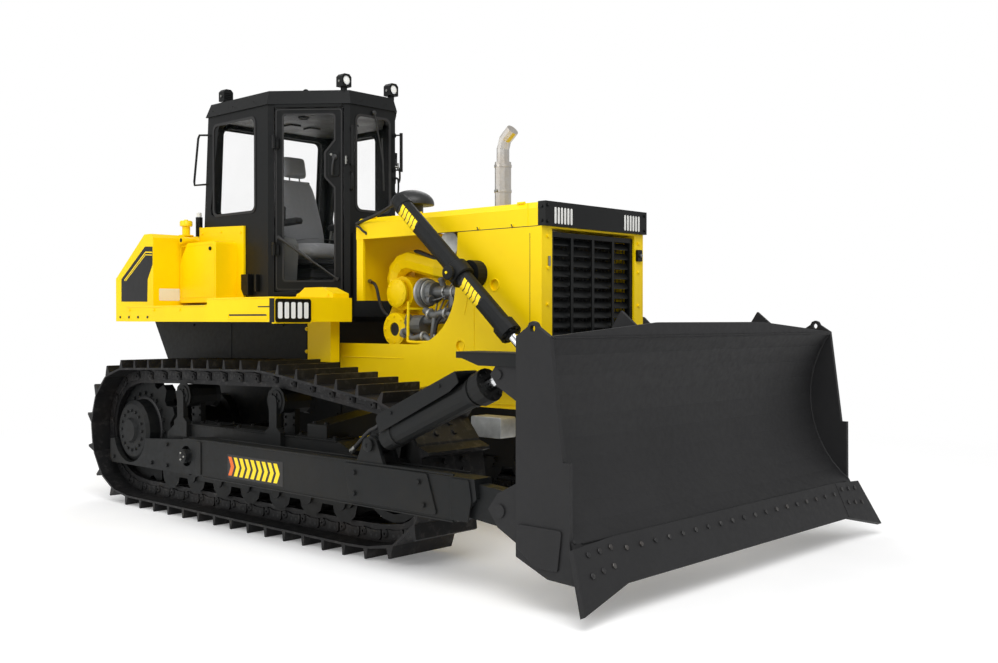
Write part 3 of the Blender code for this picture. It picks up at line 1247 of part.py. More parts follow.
def build_precleaner():
    """Mushroom cap of the air intake on its short neck."""
    low = HOOD_TOP_Z + SEAT
    top, rim = low + PRECLEANER_RISE, PRECLEANER_RADIUS
    profile = [
        (0, top), (rim * 0.55, top - 0.008), (rim * 0.88, top - 0.035), (rim, top - 0.075),
        (rim * 0.93, top - 0.09),
        (rim * 0.62, top - 0.10), (rim * 0.5, top - 0.125), (rim * 0.5, low), (0, low),
    ]
    cleaner = turned("precleaner", profile, (*PRECLEANER_PLACE, 0), (0, 0, 1), 24)
    return finish(cleaner, "dark_plastic", smooth=True)


def cab_plan(inset=0.0):
    """Plan of the cab, rear right corner first, shrunk by the same distance on every side."""
    dx = CAB_FRONT_X - CAB_BREAK_X
    dy = CAB_HALF_WIDTH - CAB_NOSE_HALF_WIDTH
    half_turn = math.atan2(dy, dx) / 2
    side_pull = inset * math.tan(half_turn)
    nose_turn = (math.pi / 2 - math.atan2(dy, dx)) / 2
    nose_pull = inset * math.tan(nose_turn)
    right = [
        (CAB_REAR_X + inset, -(CAB_HALF_WIDTH - inset)), (CAB_BREAK_X - side_pull, -(CAB_HALF_WIDTH - inset)),
        (CAB_FRONT_X - inset, -(CAB_NOSE_HALF_WIDTH - nose_pull)),
    ]
    return right + [(x, -y) for x, y in reversed(right)]


def build_cab_floor():
    """Platform between the tracks, the cab's floor on it and the cowl ahead of the cab."""
    low, high = FRAME_TOP + SEAT, FENDER_BOTTOM - SEAT
    platform = plate("cab_base", [
        (TANK_REAR_X + PLATFORM_RAKE, low), (PLATFORM_FRONT_X, low), (PLATFORM_FRONT_X, high),
        (TANK_REAR_X, high),
    ], "Y", -PLATFORM_HALF_WIDTH, PLATFORM_HALF_WIDTH)
    floor = plate("floor", cab_plan(), "Z", high - 0.02, CAB_FLOOR_Z)
    front = CAB_FRONT_X + SEAT
    cowl = plate("cowl", [
        (CAB_FRONT_X - 0.05, CAB_FLOOR_Z - 0.15), (HOOD_REAR_X - SEAT, CAB_FLOOR_Z - 0.15),
        (HOOD_REAR_X - SEAT, COWL_TOP), (front, COWL_TOP), (front, CAB_FLOOR_Z - 0.01),
        (CAB_FRONT_X - 0.05, CAB_FLOOR_Z - 0.01),
    ], "Y", -COWL_HALF_WIDTH, COWL_HALF_WIDTH)
    join(platform, floor, cowl)
    return finish(platform, "charcoal_paint")


def rear_shift(z):
    """How far the cab's rear wall stands behind its top edge at a height."""
    return -CAB_LEAN * (CAB_ROOF_Z - z) / (CAB_ROOF_Z - CAB_FLOOR_Z)


def lean_rear(obj):
    """Slant the cab's rear wall, and what sits in it, outward towards the floor."""
    for vertex in obj.data.vertices:
        if vertex.co.x < CAB_REAR_X + CAB_WALL + GLASS_THICKNESS + 0.02:
            vertex.co.x += rear_shift(vertex.co.z)
    return obj


def side_window_outline():
    """Cab side window: upright front edge, rear edge leaning with the rear wall."""
    rear = CAB_REAR_X + SIDE_WINDOW_REAR
    front = CAB_BREAK_X - SIDE_WINDOW_FRONT
    return [(rear + rear_shift(SILL_Z), SILL_Z), (front, SILL_Z), (front, WINDOW_HEAD_Z),
            (rear + SIDE_WINDOW_LEAN, WINDOW_HEAD_Z)]


def grab_rail(side):
    """Bent rail on the cab's rear corner."""
    wall = side * (CAB_HALF_WIDTH - 0.008)
    out = side * (CAB_HALF_WIDTH + 0.055)
    foot_x = CAB_REAR_X + 0.03
    high, low = WINDOW_HEAD_Z - 0.07, WINDOW_HEAD_Z - 0.46
    return tube("grab_rail", [
        (foot_x, wall, high), (foot_x - 0.07, out, high), (foot_x - 0.09, out, high - 0.025),
        (foot_x - 0.15, out, low + 0.025), (foot_x - 0.145, out, low - 0.005), (foot_x - 0.03, wall, low),
    ], RAIL_RADIUS, 1)


def build_cab_frame():
    frame = plate("cab_frame", [cab_plan(), cab_plan(CAB_WALL)], "Z", CAB_FLOOR_Z + SEAT, CAB_ROOF_Z)
    rear_half = CAB_HALF_WIDTH - REAR_WINDOW_MARGIN
    front_half = CAB_NOSE_HALF_WIDTH - FRONT_WINDOW_MARGIN
    heights = (SILL_Z, WINDOW_HEAD_Z)
    cutters = [
        plate("rear_window", rounded(rectangle((-rear_half, rear_half), heights), CORNER_RADIUS), "X",
              CAB_REAR_X - 0.2, CAB_REAR_X + 0.1),
        plate("front_window", rounded(rectangle((-front_half, front_half), heights), CORNER_RADIUS), "X",
              CAB_FRONT_X - 0.1, CAB_FRONT_X + 0.1),
        plate("side_windows", rounded(side_window_outline(), CORNER_RADIUS), "Y", -1, 1),
    ]
    for side in (-1, 1):
        cutters.append(face_plate("door_opening", side, [rectangle(
            door_span(-DOOR_GAP), (DOOR_BOTTOM - DOOR_GAP, DOOR_TOP + DOOR_GAP))], (-0.10, 0.10)))
    lean_rear(frame)
    cut(frame, *cutters)
    join(frame, *hinge_brackets(-1), *hinge_brackets(1), grab_rail(-1), grab_rail(1))
    return finish(frame, "black_paint")


def door_axes(side):
    """Rear corner of the slanted cab face, the way along it and the way out of it."""
    start = Vector((CAB_BREAK_X, side * CAB_HALF_WIDTH, 0))
    end = Vector((CAB_FRONT_X, side * CAB_NOSE_HALF_WIDTH, 0))
    along = (end - start).normalized()
    outward = Vector((-along.y, along.x, 0)) * side
    return start, along, outward


def face_plate(name, side, outlines, depths):
    """Plate on the slanted face; outlines in (station along it, height), depths outward of it."""
    start, along, outward = door_axes(side)
    low, high = sorted(-side * depth for depth in depths)
    flat = plate(name, outlines, "Z", low, high)
    normal = -side * outward
    flat.data.transform(Matrix((
        (along.x, 0, normal.x, start.x),
        (along.y, 0, normal.y, start.y),
        (0, 1, 0, 0),
        (0, 0, 0, 1),
    )))
    return flat


def door_span(inset):
    length = math.hypot(CAB_FRONT_X - CAB_BREAK_X, CAB_HALF_WIDTH - CAB_NOSE_HALF_WIDTH)
    return DOOR_MARGIN + inset, length - DOOR_MARGIN - inset


def hinge_point(side):
    start, along, outward = door_axes(side)
    return start + along * DOOR_MARGIN + outward * HINGE_OUT


def door_window_outline():
    """Door glass, with the lock's cover standing into it from the front stile."""
    rear, front = door_span(DOOR_RAIL)
    corners = [(rear, DOOR_BOTTOM + DOOR_RAIL + 0.01), (front, DOOR_BOTTOM + DOOR_RAIL + 0.01)]
    lock = [(front, LOCK_Z - 0.18), (front - LOCK_WIDTH, LOCK_Z - 0.10), (front - LOCK_WIDTH, LOCK_Z + 0.08),
            (front, LOCK_Z + 0.17)]
    return corners + lock + [(front, WINDOW_HEAD_Z), (rear, WINDOW_HEAD_Z)]


def build_door(side):
    window = door_window_outline()
    window = rounded(window[:2] + window[-2:], CORNER_RADIUS * 0.6)
    bottom, top = window[:6], window[6:]
    outline = bottom + door_window_outline()[2:6] + top
    door = face_plate(side_name("door", side), side, [
        rectangle(door_span(0), (DOOR_BOTTOM, DOOR_TOP)), outline], (-DOOR_THICKNESS, 0))
    hinge = hinge_point(side)
    parts = []
    for z in HINGE_LEVELS:
        parts.append(cylinder("knuckle", (hinge.x, hinge.y, z), (0, 0, 1), HINGE_RADIUS, HINGE_LENGTH, 12))
        parts.append(face_plate("leaf", side, rectangle(
            (DOOR_MARGIN, DOOR_MARGIN + 0.035), (z - HINGE_LENGTH / 2 + 0.002, z + HINGE_LENGTH / 2 - 0.002)),
            (-0.01, HINGE_OUT)))
    join(door, *parts, solver="MANIFOLD")
    middle = sum(HINGE_LEVELS) / 2
    cut(door, cylinder("pin_hole", (hinge.x, hinge.y, middle), (0, 0, 1), HINGE_PIN_RADIUS + PIN_GAP, 1.2,
                       12))
    return finish(door, "black_paint")


def hinge_brackets(side):
    """Pins of the cab frame that pass through the door's knuckles, each on an arm above it."""
    hinge = hinge_point(side)
    along, outward = door_axes(side)[1:]
    parts = []
    for z in HINGE_LEVELS:
        top = z + HINGE_LENGTH / 2 + SEAT
        parts.append(cylinder("hinge_pin", (hinge.x, hinge.y, z + 0.01), (0, 0, 1), HINGE_PIN_RADIUS,
                              HINGE_LENGTH + 0.02, 12))
        root = hinge - along * 0.035 - outward * (HINGE_OUT + 0.01)
        tip = hinge + outward * HINGE_RADIUS
        corners = [root, hinge - along * 0.012 - outward * (HINGE_OUT + 0.01),
                   hinge + along * HINGE_RADIUS, tip, hinge - along * HINGE_RADIUS]
        parts.append(plate("hinge_arm", [(p.x, p.y) for p in corners], "Z", top, top + 0.02))
    return parts


def pane(name, x_span, y_span, z_span):
    return finish(box(name, x_span, y_span, z_span), "glass")


def build_glass():
    """Flat panes seated against the inner faces of the cab's walls."""
    z_span = (SILL_Z - PANE_LAP, WINDOW_HEAD_Z + PANE_LAP)
    front = CAB_FRONT_X - CAB_WALL - SEAT
    front_half = CAB_NOSE_HALF_WIDTH - FRONT_WINDOW_MARGIN + PANE_LAP / 4
    pane("glass_front", (front - GLASS_THICKNESS, front), (-front_half, front_half), z_span)
    rear = CAB_REAR_X + CAB_WALL + SEAT
    rear_half = CAB_HALF_WIDTH - REAR_WINDOW_MARGIN + PANE_LAP
    lean_rear(pane("glass_rear", (rear, rear + GLASS_THICKNESS), (-rear_half, rear_half), z_span))
    inner = CAB_HALF_WIDTH - CAB_WALL - SEAT
    low_rear, low_front, high_front, high_rear = side_window_outline()
    outline = [(low_rear[0] - PANE_LAP, low_rear[1] - PANE_LAP),
               (low_front[0] + PANE_LAP, low_front[1] - PANE_LAP),
               (high_front[0] + PANE_LAP, high_front[1] + PANE_LAP),
               (high_rear[0] - PANE_LAP, high_rear[1] + PANE_LAP)]
    for side in (-1, 1):
        side_pane = plate(side_name("glass_side", side), outline, "Y",
                          *mirrored((inner - GLASS_THICKNESS, inner), side))
        finish(side_pane, "glass")
        depth = -DOOR_THICKNESS - SEAT
        door_pane = face_plate(side_name("glass_door", side), side, rectangle(
            door_span(DOOR_RAIL - PANE_LAP), (DOOR_BOTTOM + DOOR_RAIL - PANE_LAP, WINDOW_HEAD_Z + PANE_LAP)),
            (depth - GLASS_THICKNESS, depth))
        finish(door_pane, "glass")


def roof_lamp(station, y):
    """Hooded work lamp on a foot; a negative station faces forward from the roof's front edge."""
    faces = 1 if station < 0 else -1
    x = CAB_FRONT_X + station if faces > 0 else CAB_REAR_X + station
    low = CAB_TOP_Z + LAMP_FOOT
    wide, high = LAMP_HALF_WIDTH, low + LAMP_HEIGHT
    outline = [(y - wide, low), (y + wide, low), (y + wide, high - 0.02), (y + wide - 0.02, high),
               (y - wide + 0.02, high), (y - wide, high - 0.02)]
    hood = plate("lamp", outline, "X", x - LAMP_DEPTH / 2, x + LAMP_DEPTH / 2)
    foot = box("foot", (x - 0.02, x + 0.02), (y - 0.015, y + 0.015), (CAB_TOP_Z - 0.01, low + 0.01))
    lens = cylinder("lens", (x + faces * LAMP_DEPTH / 2, y, low + LAMP_HEIGHT / 2), (1, 0, 0),
                    LAMP_LENS_RADIUS,
                    LAMP_DEPTH * 0.5, 12)
    join(hood, foot)
    cut(hood, lens)
    return hood


def build_roof():
    """Flat roof with chamfered upper edges and a work lamp near each corner."""
    step = CAB_TOP_Z - ROOF_CHAMFER
    roof = plate("cab_roof", cab_plan(-ROOF_OVERHANG), "Z", CAB_ROOF_Z + SEAT, CAB_TOP_Z)
    for vertex in roof.data.vertices:
        if vertex.co.z > step:
            middle = (CAB_REAR_X + CAB_FRONT_X) / 2
            vertex.co.x = middle + (vertex.co.x - middle) * (1 - ROOF_CHAMFER / CAB_HALF_WIDTH)
            vertex.co.y *= 1 - ROOF_CHAMFER / CAB_HALF_WIDTH
    lamps = [roof_lamp(station, side * y) for station, y in (FRONT_LAMP, REAR_LAMP) for side in (-1, 1)]
    join(roof, *lamps, solver="MANIFOLD")
    return finish(roof, "black_paint")


def build_seat():
    """Suspension seat: plinth, cushion, raked back with a head restraint."""
    base = CAB_FLOOR_Z + SEAT
    high = base + CUSHION_RISE
    rear = CUSHION_FRONT_X - CUSHION_LENGTH
    seat = plate("seat", rounded([
        (rear + 0.02, high - CUSHION_THICKNESS), (CUSHION_FRONT_X, high - CUSHION_THICKNESS),
        (CUSHION_FRONT_X, high), (rear, high - 0.03),
    ], 0.04), "Y", -CUSHION_HALF_WIDTH, CUSHION_HALF_WIDTH)
    plinth = box("plinth", (rear + 0.09, CUSHION_FRONT_X - 0.08), (-PLINTH_HALF_WIDTH, PLINTH_HALF_WIDTH),
                 (base, high - CUSHION_THICKNESS + 0.02))
    lean = BACK_RAKE / BACK_RISE
    parts = [plinth]
    for low, top, half in ((-0.08, BACK_RISE, CUSHION_HALF_WIDTH - 0.01),
                           (BACK_RISE - 0.02, BACK_RISE + REST_RISE, REST_HALF_WIDTH)):
        parts.append(plate("back", rounded([
            (rear - low * lean, high + low), (rear + BACK_THICKNESS - low * lean, high + low),
            (rear + BACK_THICKNESS - top * lean, high + top), (rear + 0.01 - top * lean, high + top),
        ], 0.03), "Y", -half, half))
    join(seat, *parts, solver="MANIFOLD")
    return finish(seat, "seat_cloth")


def build_fender(side):
    """Deck over the track, with a raised front half, a lamp box on its nose and a leg to the side sill."""
    inner = CAB_HALF_WIDTH + SEAT
    rear = TANK_FRONT_X + SEAT
    front = FENDER_FRONT_X
    deck = plate(side_name("fender", side), [
        (rear, FENDER_BOTTOM), (front, FENDER_BOTTOM), (front, FENDER_TOP), (DECK_STEP_X, FENDER_TOP),
        (DECK_STEP_X, FENDER_DECK), (rear, FENDER_DECK),
    ], "Y", *mirrored((inner, FENDER_OUTER_Y), side))
    parts = [
        box("lamp_box", (front - 0.01, front + LAMP_BOX_DEPTH),
            mirrored((FENDER_OUTER_Y - LAMP_BOX_WIDTH, FENDER_OUTER_Y), side),
            (FENDER_BOTTOM - 0.01, FENDER_TOP - 0.005)),
        box("leg", (PLATFORM_FRONT_X + 0.01, PLATFORM_FRONT_X + 0.01 + LEG_LENGTH),
            mirrored((inner + 0.001, PLATFORM_HALF_WIDTH), side), (LEG_BOTTOM, FENDER_BOTTOM + 0.02)),
        plate("cover", [
            (CAB_FRONT_X, FENDER_TOP - 0.01), (front - 0.03, FENDER_TOP - 0.01),
            (front - 0.03, FENDER_TOP + 0.03),
            (front - 0.16, FENDER_TOP + COVER_RISE), (CAB_FRONT_X + 0.15, FENDER_TOP + COVER_RISE),
        ], "Y", *mirrored((inner + 0.002, PLATFORM_HALF_WIDTH + 0.06), side)),
    ]
    join(deck, *parts, solver="MANIFOLD")
    return finish(deck, "yellow_paint")


def build_tank():
    """Rear tank: sloping back, cut-back ends above the deck, two filler necks."""
    low = FENDER_BOTTOM
    outline = [
        (TANK_REAR_X, low), (TANK_FRONT_X, low), (TANK_FRONT_X, TANK_TOP - 0.03),
        (TANK_FRONT_X - 0.03, TANK_TOP),
        (TANK_SHOULDER_X, TANK_TOP), (TANK_REAR_X, TANK_REAR_TOP),
    ]
    tank = plate("fuel_tank", outline, "Y", -TANK_HALF_WIDTH, TANK_HALF_WIDTH)
    parts = []
    for side in (-1, 1):
        y = side * (CAB_HALF_WIDTH + 0.10)
        x = TANK_FRONT_X - FILLER_RADIUS - 0.02
        parts.append(cylinder("neck", (x, y, TANK_TOP + FILLER_RISE / 2), (0, 0, 1), FILLER_RADIUS * 0.7,
                              FILLER_RISE + 0.02, 12))
        parts.append(cylinder("cap", (x, y, TANK_TOP + FILLER_RISE), (0, 0, 1), FILLER_RADIUS, 0.04, 12))
    join(tank, *parts)
    return finish(tank, "yellow_paint")


def build_side_box(side):
    """Cabinet against the cab's lower side wall, in one piece with that wall's cover panel."""
    inner = CAB_HALF_WIDTH + SEAT
    low = FENDER_DECK + SEAT
    top = low + BOX_HEIGHT
    rear = TANK_FRONT_X + SEAT
    panel = plate(side_name("side_box", side), [
        (rear, low), (rear + PANEL_LENGTH, low), (rear + PANEL_LENGTH, low + PANEL_HEIGHT - 0.02),
        (rear, low + PANEL_HEIGHT),
    ], "Y", *mirrored((inner, inner + PANEL_THICKNESS), side))
    cabinet = plate("cabinet", rounded([
        (rear + 0.002, low + 0.03), (rear + BOX_LENGTH, low + 0.03), (rear + BOX_LENGTH, top),
        (rear + 0.12, top),
        (rear + 0.002, top - 0.16),
    ], 0.02), "Y", *mirrored((inner + PANEL_THICKNESS - 0.004, inner + BOX_DEPTH), side))
    join(panel, cabinet, solver="MANIFOLD")
    return finish(panel, "yellow_paint")


def hang_on_centre():
    """Parent every piece to one empty that puts the overall length's middle at X = 0."""
    centre = bpy.data.objects.new("machine_centre", None)
    bpy.data.collections["bulldozer"].objects.link(centre)
    for name in ("bulldozer", "cutters"):
        for obj in bpy.data.collections[name].objects:
            if obj is not centre:
                obj.parent = centre
    centre.location.x = -CENTRE_X


def main():
    clear_scene()
    new_collection("bulldozer")
    new_collection("cutters").hide_render = True
    pins = chain_pins()
    build_main_frame()
    build_equaliser_bar()
    for side in (-1, 1):
        build_track(side, pins)
        build_track_frame(side, pins)
        build_sprocket(side, pins)
        build_final_drive(side)
        build_trunnion_cap(side)
        build_lift_cylinder(side)
        build_yoke(side)
        build_side_guard(side)
        build_door(side)
        build_fender(side)
        build_side_box(side)
        build_end_bit(side)
        finish(arm_shape(side_name("push_arm", side), side), "charcoal_paint")
    build_tilt_barrel(-1)
    build_tilt_rod(-1)
    build_brace_left()
    build_blade()
    build_cutting_edge()
    build_hood()
    build_header()
    build_radiator_guard()
    build_grille()
    build_radiator()
    build_engine()
    build_turbocharger()
    build_air_cleaner()
    build_exhaust()
    build_precleaner()
    build_cab_floor()
    build_cab_frame()
    build_glass()
    build_roof()
    build_seat()
    build_tank()
    hang_on_centre()


main()
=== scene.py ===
"""Dressed scene of a track-type bulldozer: finishes, fittings, studio stage and camera."""

import math

import bmesh
import bpy
from mathutils import Matrix, Vector

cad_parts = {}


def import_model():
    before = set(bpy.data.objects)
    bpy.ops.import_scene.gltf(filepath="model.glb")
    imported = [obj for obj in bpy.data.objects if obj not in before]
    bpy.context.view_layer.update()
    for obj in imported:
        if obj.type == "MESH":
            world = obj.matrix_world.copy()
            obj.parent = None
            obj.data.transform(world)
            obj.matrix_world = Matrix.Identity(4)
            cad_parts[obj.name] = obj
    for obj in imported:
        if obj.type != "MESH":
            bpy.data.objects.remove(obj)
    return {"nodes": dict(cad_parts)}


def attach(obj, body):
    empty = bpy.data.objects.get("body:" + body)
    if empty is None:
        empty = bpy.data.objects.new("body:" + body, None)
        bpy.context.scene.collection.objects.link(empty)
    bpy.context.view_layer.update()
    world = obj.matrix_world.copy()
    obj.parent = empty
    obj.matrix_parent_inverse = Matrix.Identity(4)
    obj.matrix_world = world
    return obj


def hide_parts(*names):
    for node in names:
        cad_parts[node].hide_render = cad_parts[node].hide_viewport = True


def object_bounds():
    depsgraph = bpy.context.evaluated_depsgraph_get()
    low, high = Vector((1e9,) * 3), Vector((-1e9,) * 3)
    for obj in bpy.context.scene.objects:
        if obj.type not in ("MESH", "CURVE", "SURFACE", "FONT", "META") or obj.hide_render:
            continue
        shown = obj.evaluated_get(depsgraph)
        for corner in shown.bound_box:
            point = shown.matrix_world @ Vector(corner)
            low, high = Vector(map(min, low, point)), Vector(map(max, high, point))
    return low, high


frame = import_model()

bl_info = {
    "name": "Bulldozer Scene",
    "version": (1, 0, 0),
    "blender": (4, 5, 0),
    "location": "View3D > Sidebar > Bulldozer",
    "description": "Finishes and fittings for the bulldozer, with its studio stage",
    "category": "Object",
}

CENTRE_X = 2.0945047
CAD_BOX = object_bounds()
FLOOR_Z = CAD_BOX[0][2]
RIGHT, LEFT = -1, 1
SIDES = ((RIGHT, "right"), (LEFT, "left"))
FORWARD, BACKWARD = (1, 0, 0), (-1, 0, 0)
UPWARD, DOWNWARD = (0, 0, 1), (0, 0, -1)
TO_THE_RIGHT = (0, -1, 0)


def srgb(red, green, blue):
    """Linear colour of an 8-bit screen colour."""
    def channel(value):
        value /= 255
        return value / 12.92 if value <= 0.04045 else ((value + 0.055) / 1.055) ** 2.4
    return (channel(red), channel(green), channel(blue), 1.0)


# Settings

class BodyworkSettings(bpy.types.PropertyGroup):
    body_colour: bpy.props.FloatVectorProperty(
        name="Body colour", description="Main paint of hood, tank, fenders and engine", subtype="COLOR",
        size=4, min=0, max=1, default=srgb(255, 215, 0))
    frame_colour: bpy.props.FloatVectorProperty(
        name="Frame colour", description="Paint of frames, arms and drives", subtype="COLOR", size=4,
        min=0, max=1, default=srgb(19, 21, 22))
    cab_colour: bpy.props.FloatVectorProperty(
        name="Cab colour", description="Paint of the cab", subtype="COLOR", size=4,
        min=0, max=1, default=srgb(12, 14, 15))
    blade_colour: bpy.props.FloatVectorProperty(
        name="Blade colour", description="Matte paint of the blade", subtype="COLOR", size=4,
        min=0, max=1, default=srgb(37, 37, 38))
    edge_radius: bpy.props.FloatProperty(
        name="Edge radius", description="Rounding of plate edges", unit="LENGTH", default=0.003,
        min=0.0005, max=0.01)


class FittingSettings(bpy.types.PropertyGroup):
    bolt_size: bpy.props.FloatProperty(
        name="Bolt size", description="Width across a usual bolt head", unit="LENGTH", default=0.026,
        min=0.01, max=0.05)
    hose_diameter: bpy.props.FloatProperty(
        name="Hose diameter", description="Outer diameter of hydraulic hoses", unit="LENGTH", default=0.034,
        min=0.01, max=0.06)
    stripe_colour: bpy.props.FloatVectorProperty(
        name="Stripe colour", description="Yellow of the warning stripes", subtype="COLOR", size=4,
        min=0, max=1, default=srgb(255, 218, 20))
    cloth_colour: bpy.props.FloatVectorProperty(
        name="Seat cloth", description="Cloth of the seat", subtype="COLOR", size=4,
        min=0, max=1, default=srgb(144, 145, 147))


class StageSettings(bpy.types.PropertyGroup):
    floor_size: bpy.props.FloatProperty(
        name="Floor size", description="Side of the square floor", unit="LENGTH", default=60.0,
        min=10, max=200)
    key_power: bpy.props.FloatProperty(
        name="Key light", description="Power of the main lamp", unit="POWER", default=560.0, min=0, max=5000)
    lens: bpy.props.FloatProperty(
        name="Lens", description="Focal length of the camera", unit="CAMERA", default=39.59, min=10, max=200)


def bodywork():
    return bpy.context.scene.bulldozer_bodywork


def fittings():
    return bpy.context.scene.bulldozer_fittings


# Shader maths

class Field:
    """Output of a shader node that adds, scales and compares as a number does."""

    def __init__(self, finish, socket):
        self.finish = finish
        self.socket = socket

    def maths(self, operation, *values, clamp=False):
        return self.finish.add("ShaderNodeMath", {"operation": operation, "use_clamp": clamp},
                               {i: value for i, value in enumerate(values)})

    def __add__(self, other):
        return self.maths("ADD", self, other)

    __radd__ = __add__

    def __sub__(self, other):
        return self.maths("SUBTRACT", self, other)

    def __rsub__(self, other):
        return self.maths("SUBTRACT", other, self)

    def __mul__(self, other):
        return self.maths("MULTIPLY", self, other)

    __rmul__ = __mul__

    def __truediv__(self, other):
        return self.maths("DIVIDE", self, other)

    def __pow__(self, other):
        return self.maths("POWER", self, other)

    def __gt__(self, other):
        return self.maths("GREATER_THAN", self, other)

    def __lt__(self, other):
        return self.maths("LESS_THAN", self, other)

    def __abs__(self):
        return self.maths("ABSOLUTE", self)

    def modulo(self, other):
        return self.maths("FLOORED_MODULO", self, other)

    def sine(self):
        return self.maths("SINE", self)


class Finish:
    """A procedural material under construction."""

    def __init__(self, name, colour, roughness=0.5, metallic=0.0, coat=0.0):
        self.material = bpy.data.materials.new(name)
        self.material.use_nodes = True
        self.nodes = self.material.node_tree.nodes
        self.links = self.material.node_tree.links
        self.shader = self.nodes["Principled BSDF"]
        self.colour = colour
        self.place = self.add("ShaderNodeTexCoord", output="Object")
        self.put("Base Color", colour)
        self.put("Roughness", roughness)
        self.put("Metallic", metallic)
        self.put("Coat Weight", coat)
        self.shader.inputs["Coat Roughness"].default_value = 0.08

    def feed(self, socket, value):
        if isinstance(value, Field):
            self.links.new(value.socket, socket)
        else:
            socket.default_value = value

    def put(self, name, value):
        self.feed(self.shader.inputs[name], value)

    def add(self, kind, settings=None, inputs=None, output=0):
        node = self.nodes.new(kind)
        for name, value in (settings or {}).items():
            if name == "stops":
                for i, (position, shade) in enumerate(value):
                    if i > 1:
                        node.color_ramp.elements.new(position)
                    node.color_ramp.elements[i].position = position
                    node.color_ramp.elements[i].color = shade
            else:
                setattr(node, name, value)
        for name, value in (inputs or {}).items():
            self.feed(node.inputs[name], value)
        return Field(self, node.outputs[output])

    def noise(self, scale, detail=3.0, roughness=0.5, place=None):
        return self.add("ShaderNodeTexNoise", {}, {
            "Vector": place or self.place, "Scale": scale, "Detail": detail, "Roughness": roughness})

    def between(self, value, low, high, to_low=0.0, to_high=1.0):
        """Value carried from one range to another and held at its ends."""
        return self.add("ShaderNodeMapRange", {"clamp": True}, {
            "Value": value, "From Min": low, "From Max": high, "To Min": to_low, "To Max": to_high})

    def mix(self, factor, first, second):
        """Colour that passes from first to second."""
        return self.add("ShaderNodeMix", {"data_type": "RGBA"}, {0: factor, 6: first, 7: second}, output=2)

    def axes(self):
        split = self.add("ShaderNodeSeparateXYZ", {}, {0: self.place}).socket.node
        return [Field(self, split.outputs[i]) for i in range(3)]

    def stretched(self, scale):
        return self.add("ShaderNodeVectorMath", {"operation": "MULTIPLY"}, {0: self.place, 1: scale})

    def bump(self, height, strength, distance):
        self.put("Normal", self.add("ShaderNodeBump", {}, {
            "Strength": strength, "Distance": distance, "Height": height}))


DUST = srgb(140, 124, 98)
PAINT_SPECULAR = 0.2


def shade(colour, factor):
    """Lighter or darker tone of a colour."""
    return tuple(min(1.0, channel * factor) for channel in colour[:3]) + (1.0,)


def paint(name, colour, roughness=0.34, coat=0.25, dust=0.12, dust_colour=DUST):
    """Sprayed paint: faint orange peel, uneven gloss, a little dust that gathers low down."""
    finish = Finish(name, colour, roughness, coat=coat)
    cloud = finish.noise(1.7, 5, 0.6)
    fine = finish.noise(26.0, 4, 0.65)
    peel = finish.noise(420.0, 2)
    low = finish.between(finish.axes()[2], 0.2, 1.6, 1.0, 0.25)
    film = finish.between(cloud * 0.6 + fine * 0.4, 0.44, 0.68) * low * dust
    tone = finish.mix(finish.between(cloud, 0.3, 0.7), shade(colour, 0.93), shade(colour, 1.05))
    finish.put("Base Color", finish.mix(film, tone, dust_colour))
    finish.put("Roughness", finish.between(fine, 0.3, 0.7, roughness - 0.05, roughness + 0.1) + film * 0.5)
    finish.bump(peel * 0.6 + fine * 0.4, 0.12, 0.0006)
    finish.shader.inputs["Specular IOR Level"].default_value = PAINT_SPECULAR
    return finish.material


def two_tone(name, rear, front, split):
    """Sprayed paint that changes colour at one station along the machine."""
    finish = Finish(name, front, 0.4)
    fine = finish.noise(26.0, 4, 0.65)
    station = finish.axes()[0]
    tone = finish.mix(finish.between(station, split - 0.001, split + 0.001), rear, front)
    film = finish.between(fine, 0.45, 0.7) * 0.06
    finish.put("Base Color", finish.mix(film, tone, DUST))
    finish.put("Roughness", finish.between(fine, 0.3, 0.7, 0.36, 0.5))
    finish.bump(fine, 0.1, 0.0006)
    finish.shader.inputs["Specular IOR Level"].default_value = PAINT_SPECULAR
    return finish.material


def worn_steel(name, colour, wear_colour, roughness=0.55, wear=0.45, rust=0.2, scale=14.0):
    """Rolled or cast steel with rubbed bright patches and a breath of rust and soil."""
    finish = Finish(name, colour, roughness, metallic=0.6)
    broad = finish.noise(2.3, 6, 0.62)
    grain = finish.noise(scale * 9, 4, 0.7)
    rubbed = finish.between(finish.noise(scale, 6, 0.7), 0.52, 0.66) * wear
    soil = finish.between(broad, 0.5, 0.72) * rust
    base = finish.mix(finish.between(grain, 0.35, 0.65), shade(colour, 0.78), shade(colour, 1.2))
    worn = finish.mix(rubbed, base, wear_colour)
    finish.put("Base Color", finish.mix(soil, worn, srgb(112, 88, 66)))
    finish.put("Roughness", finish.between(grain, 0.3, 0.7, roughness - 0.1, roughness + 0.12) - rubbed * 0.2)
    finish.put("Metallic", finish.between(soil, 0.0, 0.4, 0.6, 0.15))
    finish.bump(grain * 0.7 + broad * 0.3, 0.3, 0.0015)
    return finish.material


def bright_metal(name, colour, roughness=0.18, brushed=0.0, tint=None):
    """Plated or stainless metal, brushed round or along where asked, tinted by heat where asked."""
    finish = Finish(name, colour, roughness, metallic=1.0)
    lines = finish.noise(60.0, 4, 0.6, finish.stretched((0.2, 1.0, 3.0)))
    smear = finish.noise(5.0, 4, 0.6)
    tone = finish.mix(finish.between(lines, 0.3, 0.7), shade(colour, 0.88), colour)
    if tint:
        tone = finish.mix(finish.between(smear, 0.45, 0.7, 0.0, 0.5), tone, tint)
    finish.put("Base Color", tone)
    finish.put("Roughness", finish.between(smear, 0.3, 0.7, roughness - 0.04,
                                           roughness + 0.08) + lines * brushed)
    finish.bump(lines, 0.05 + brushed, 0.0004)
    return finish.material


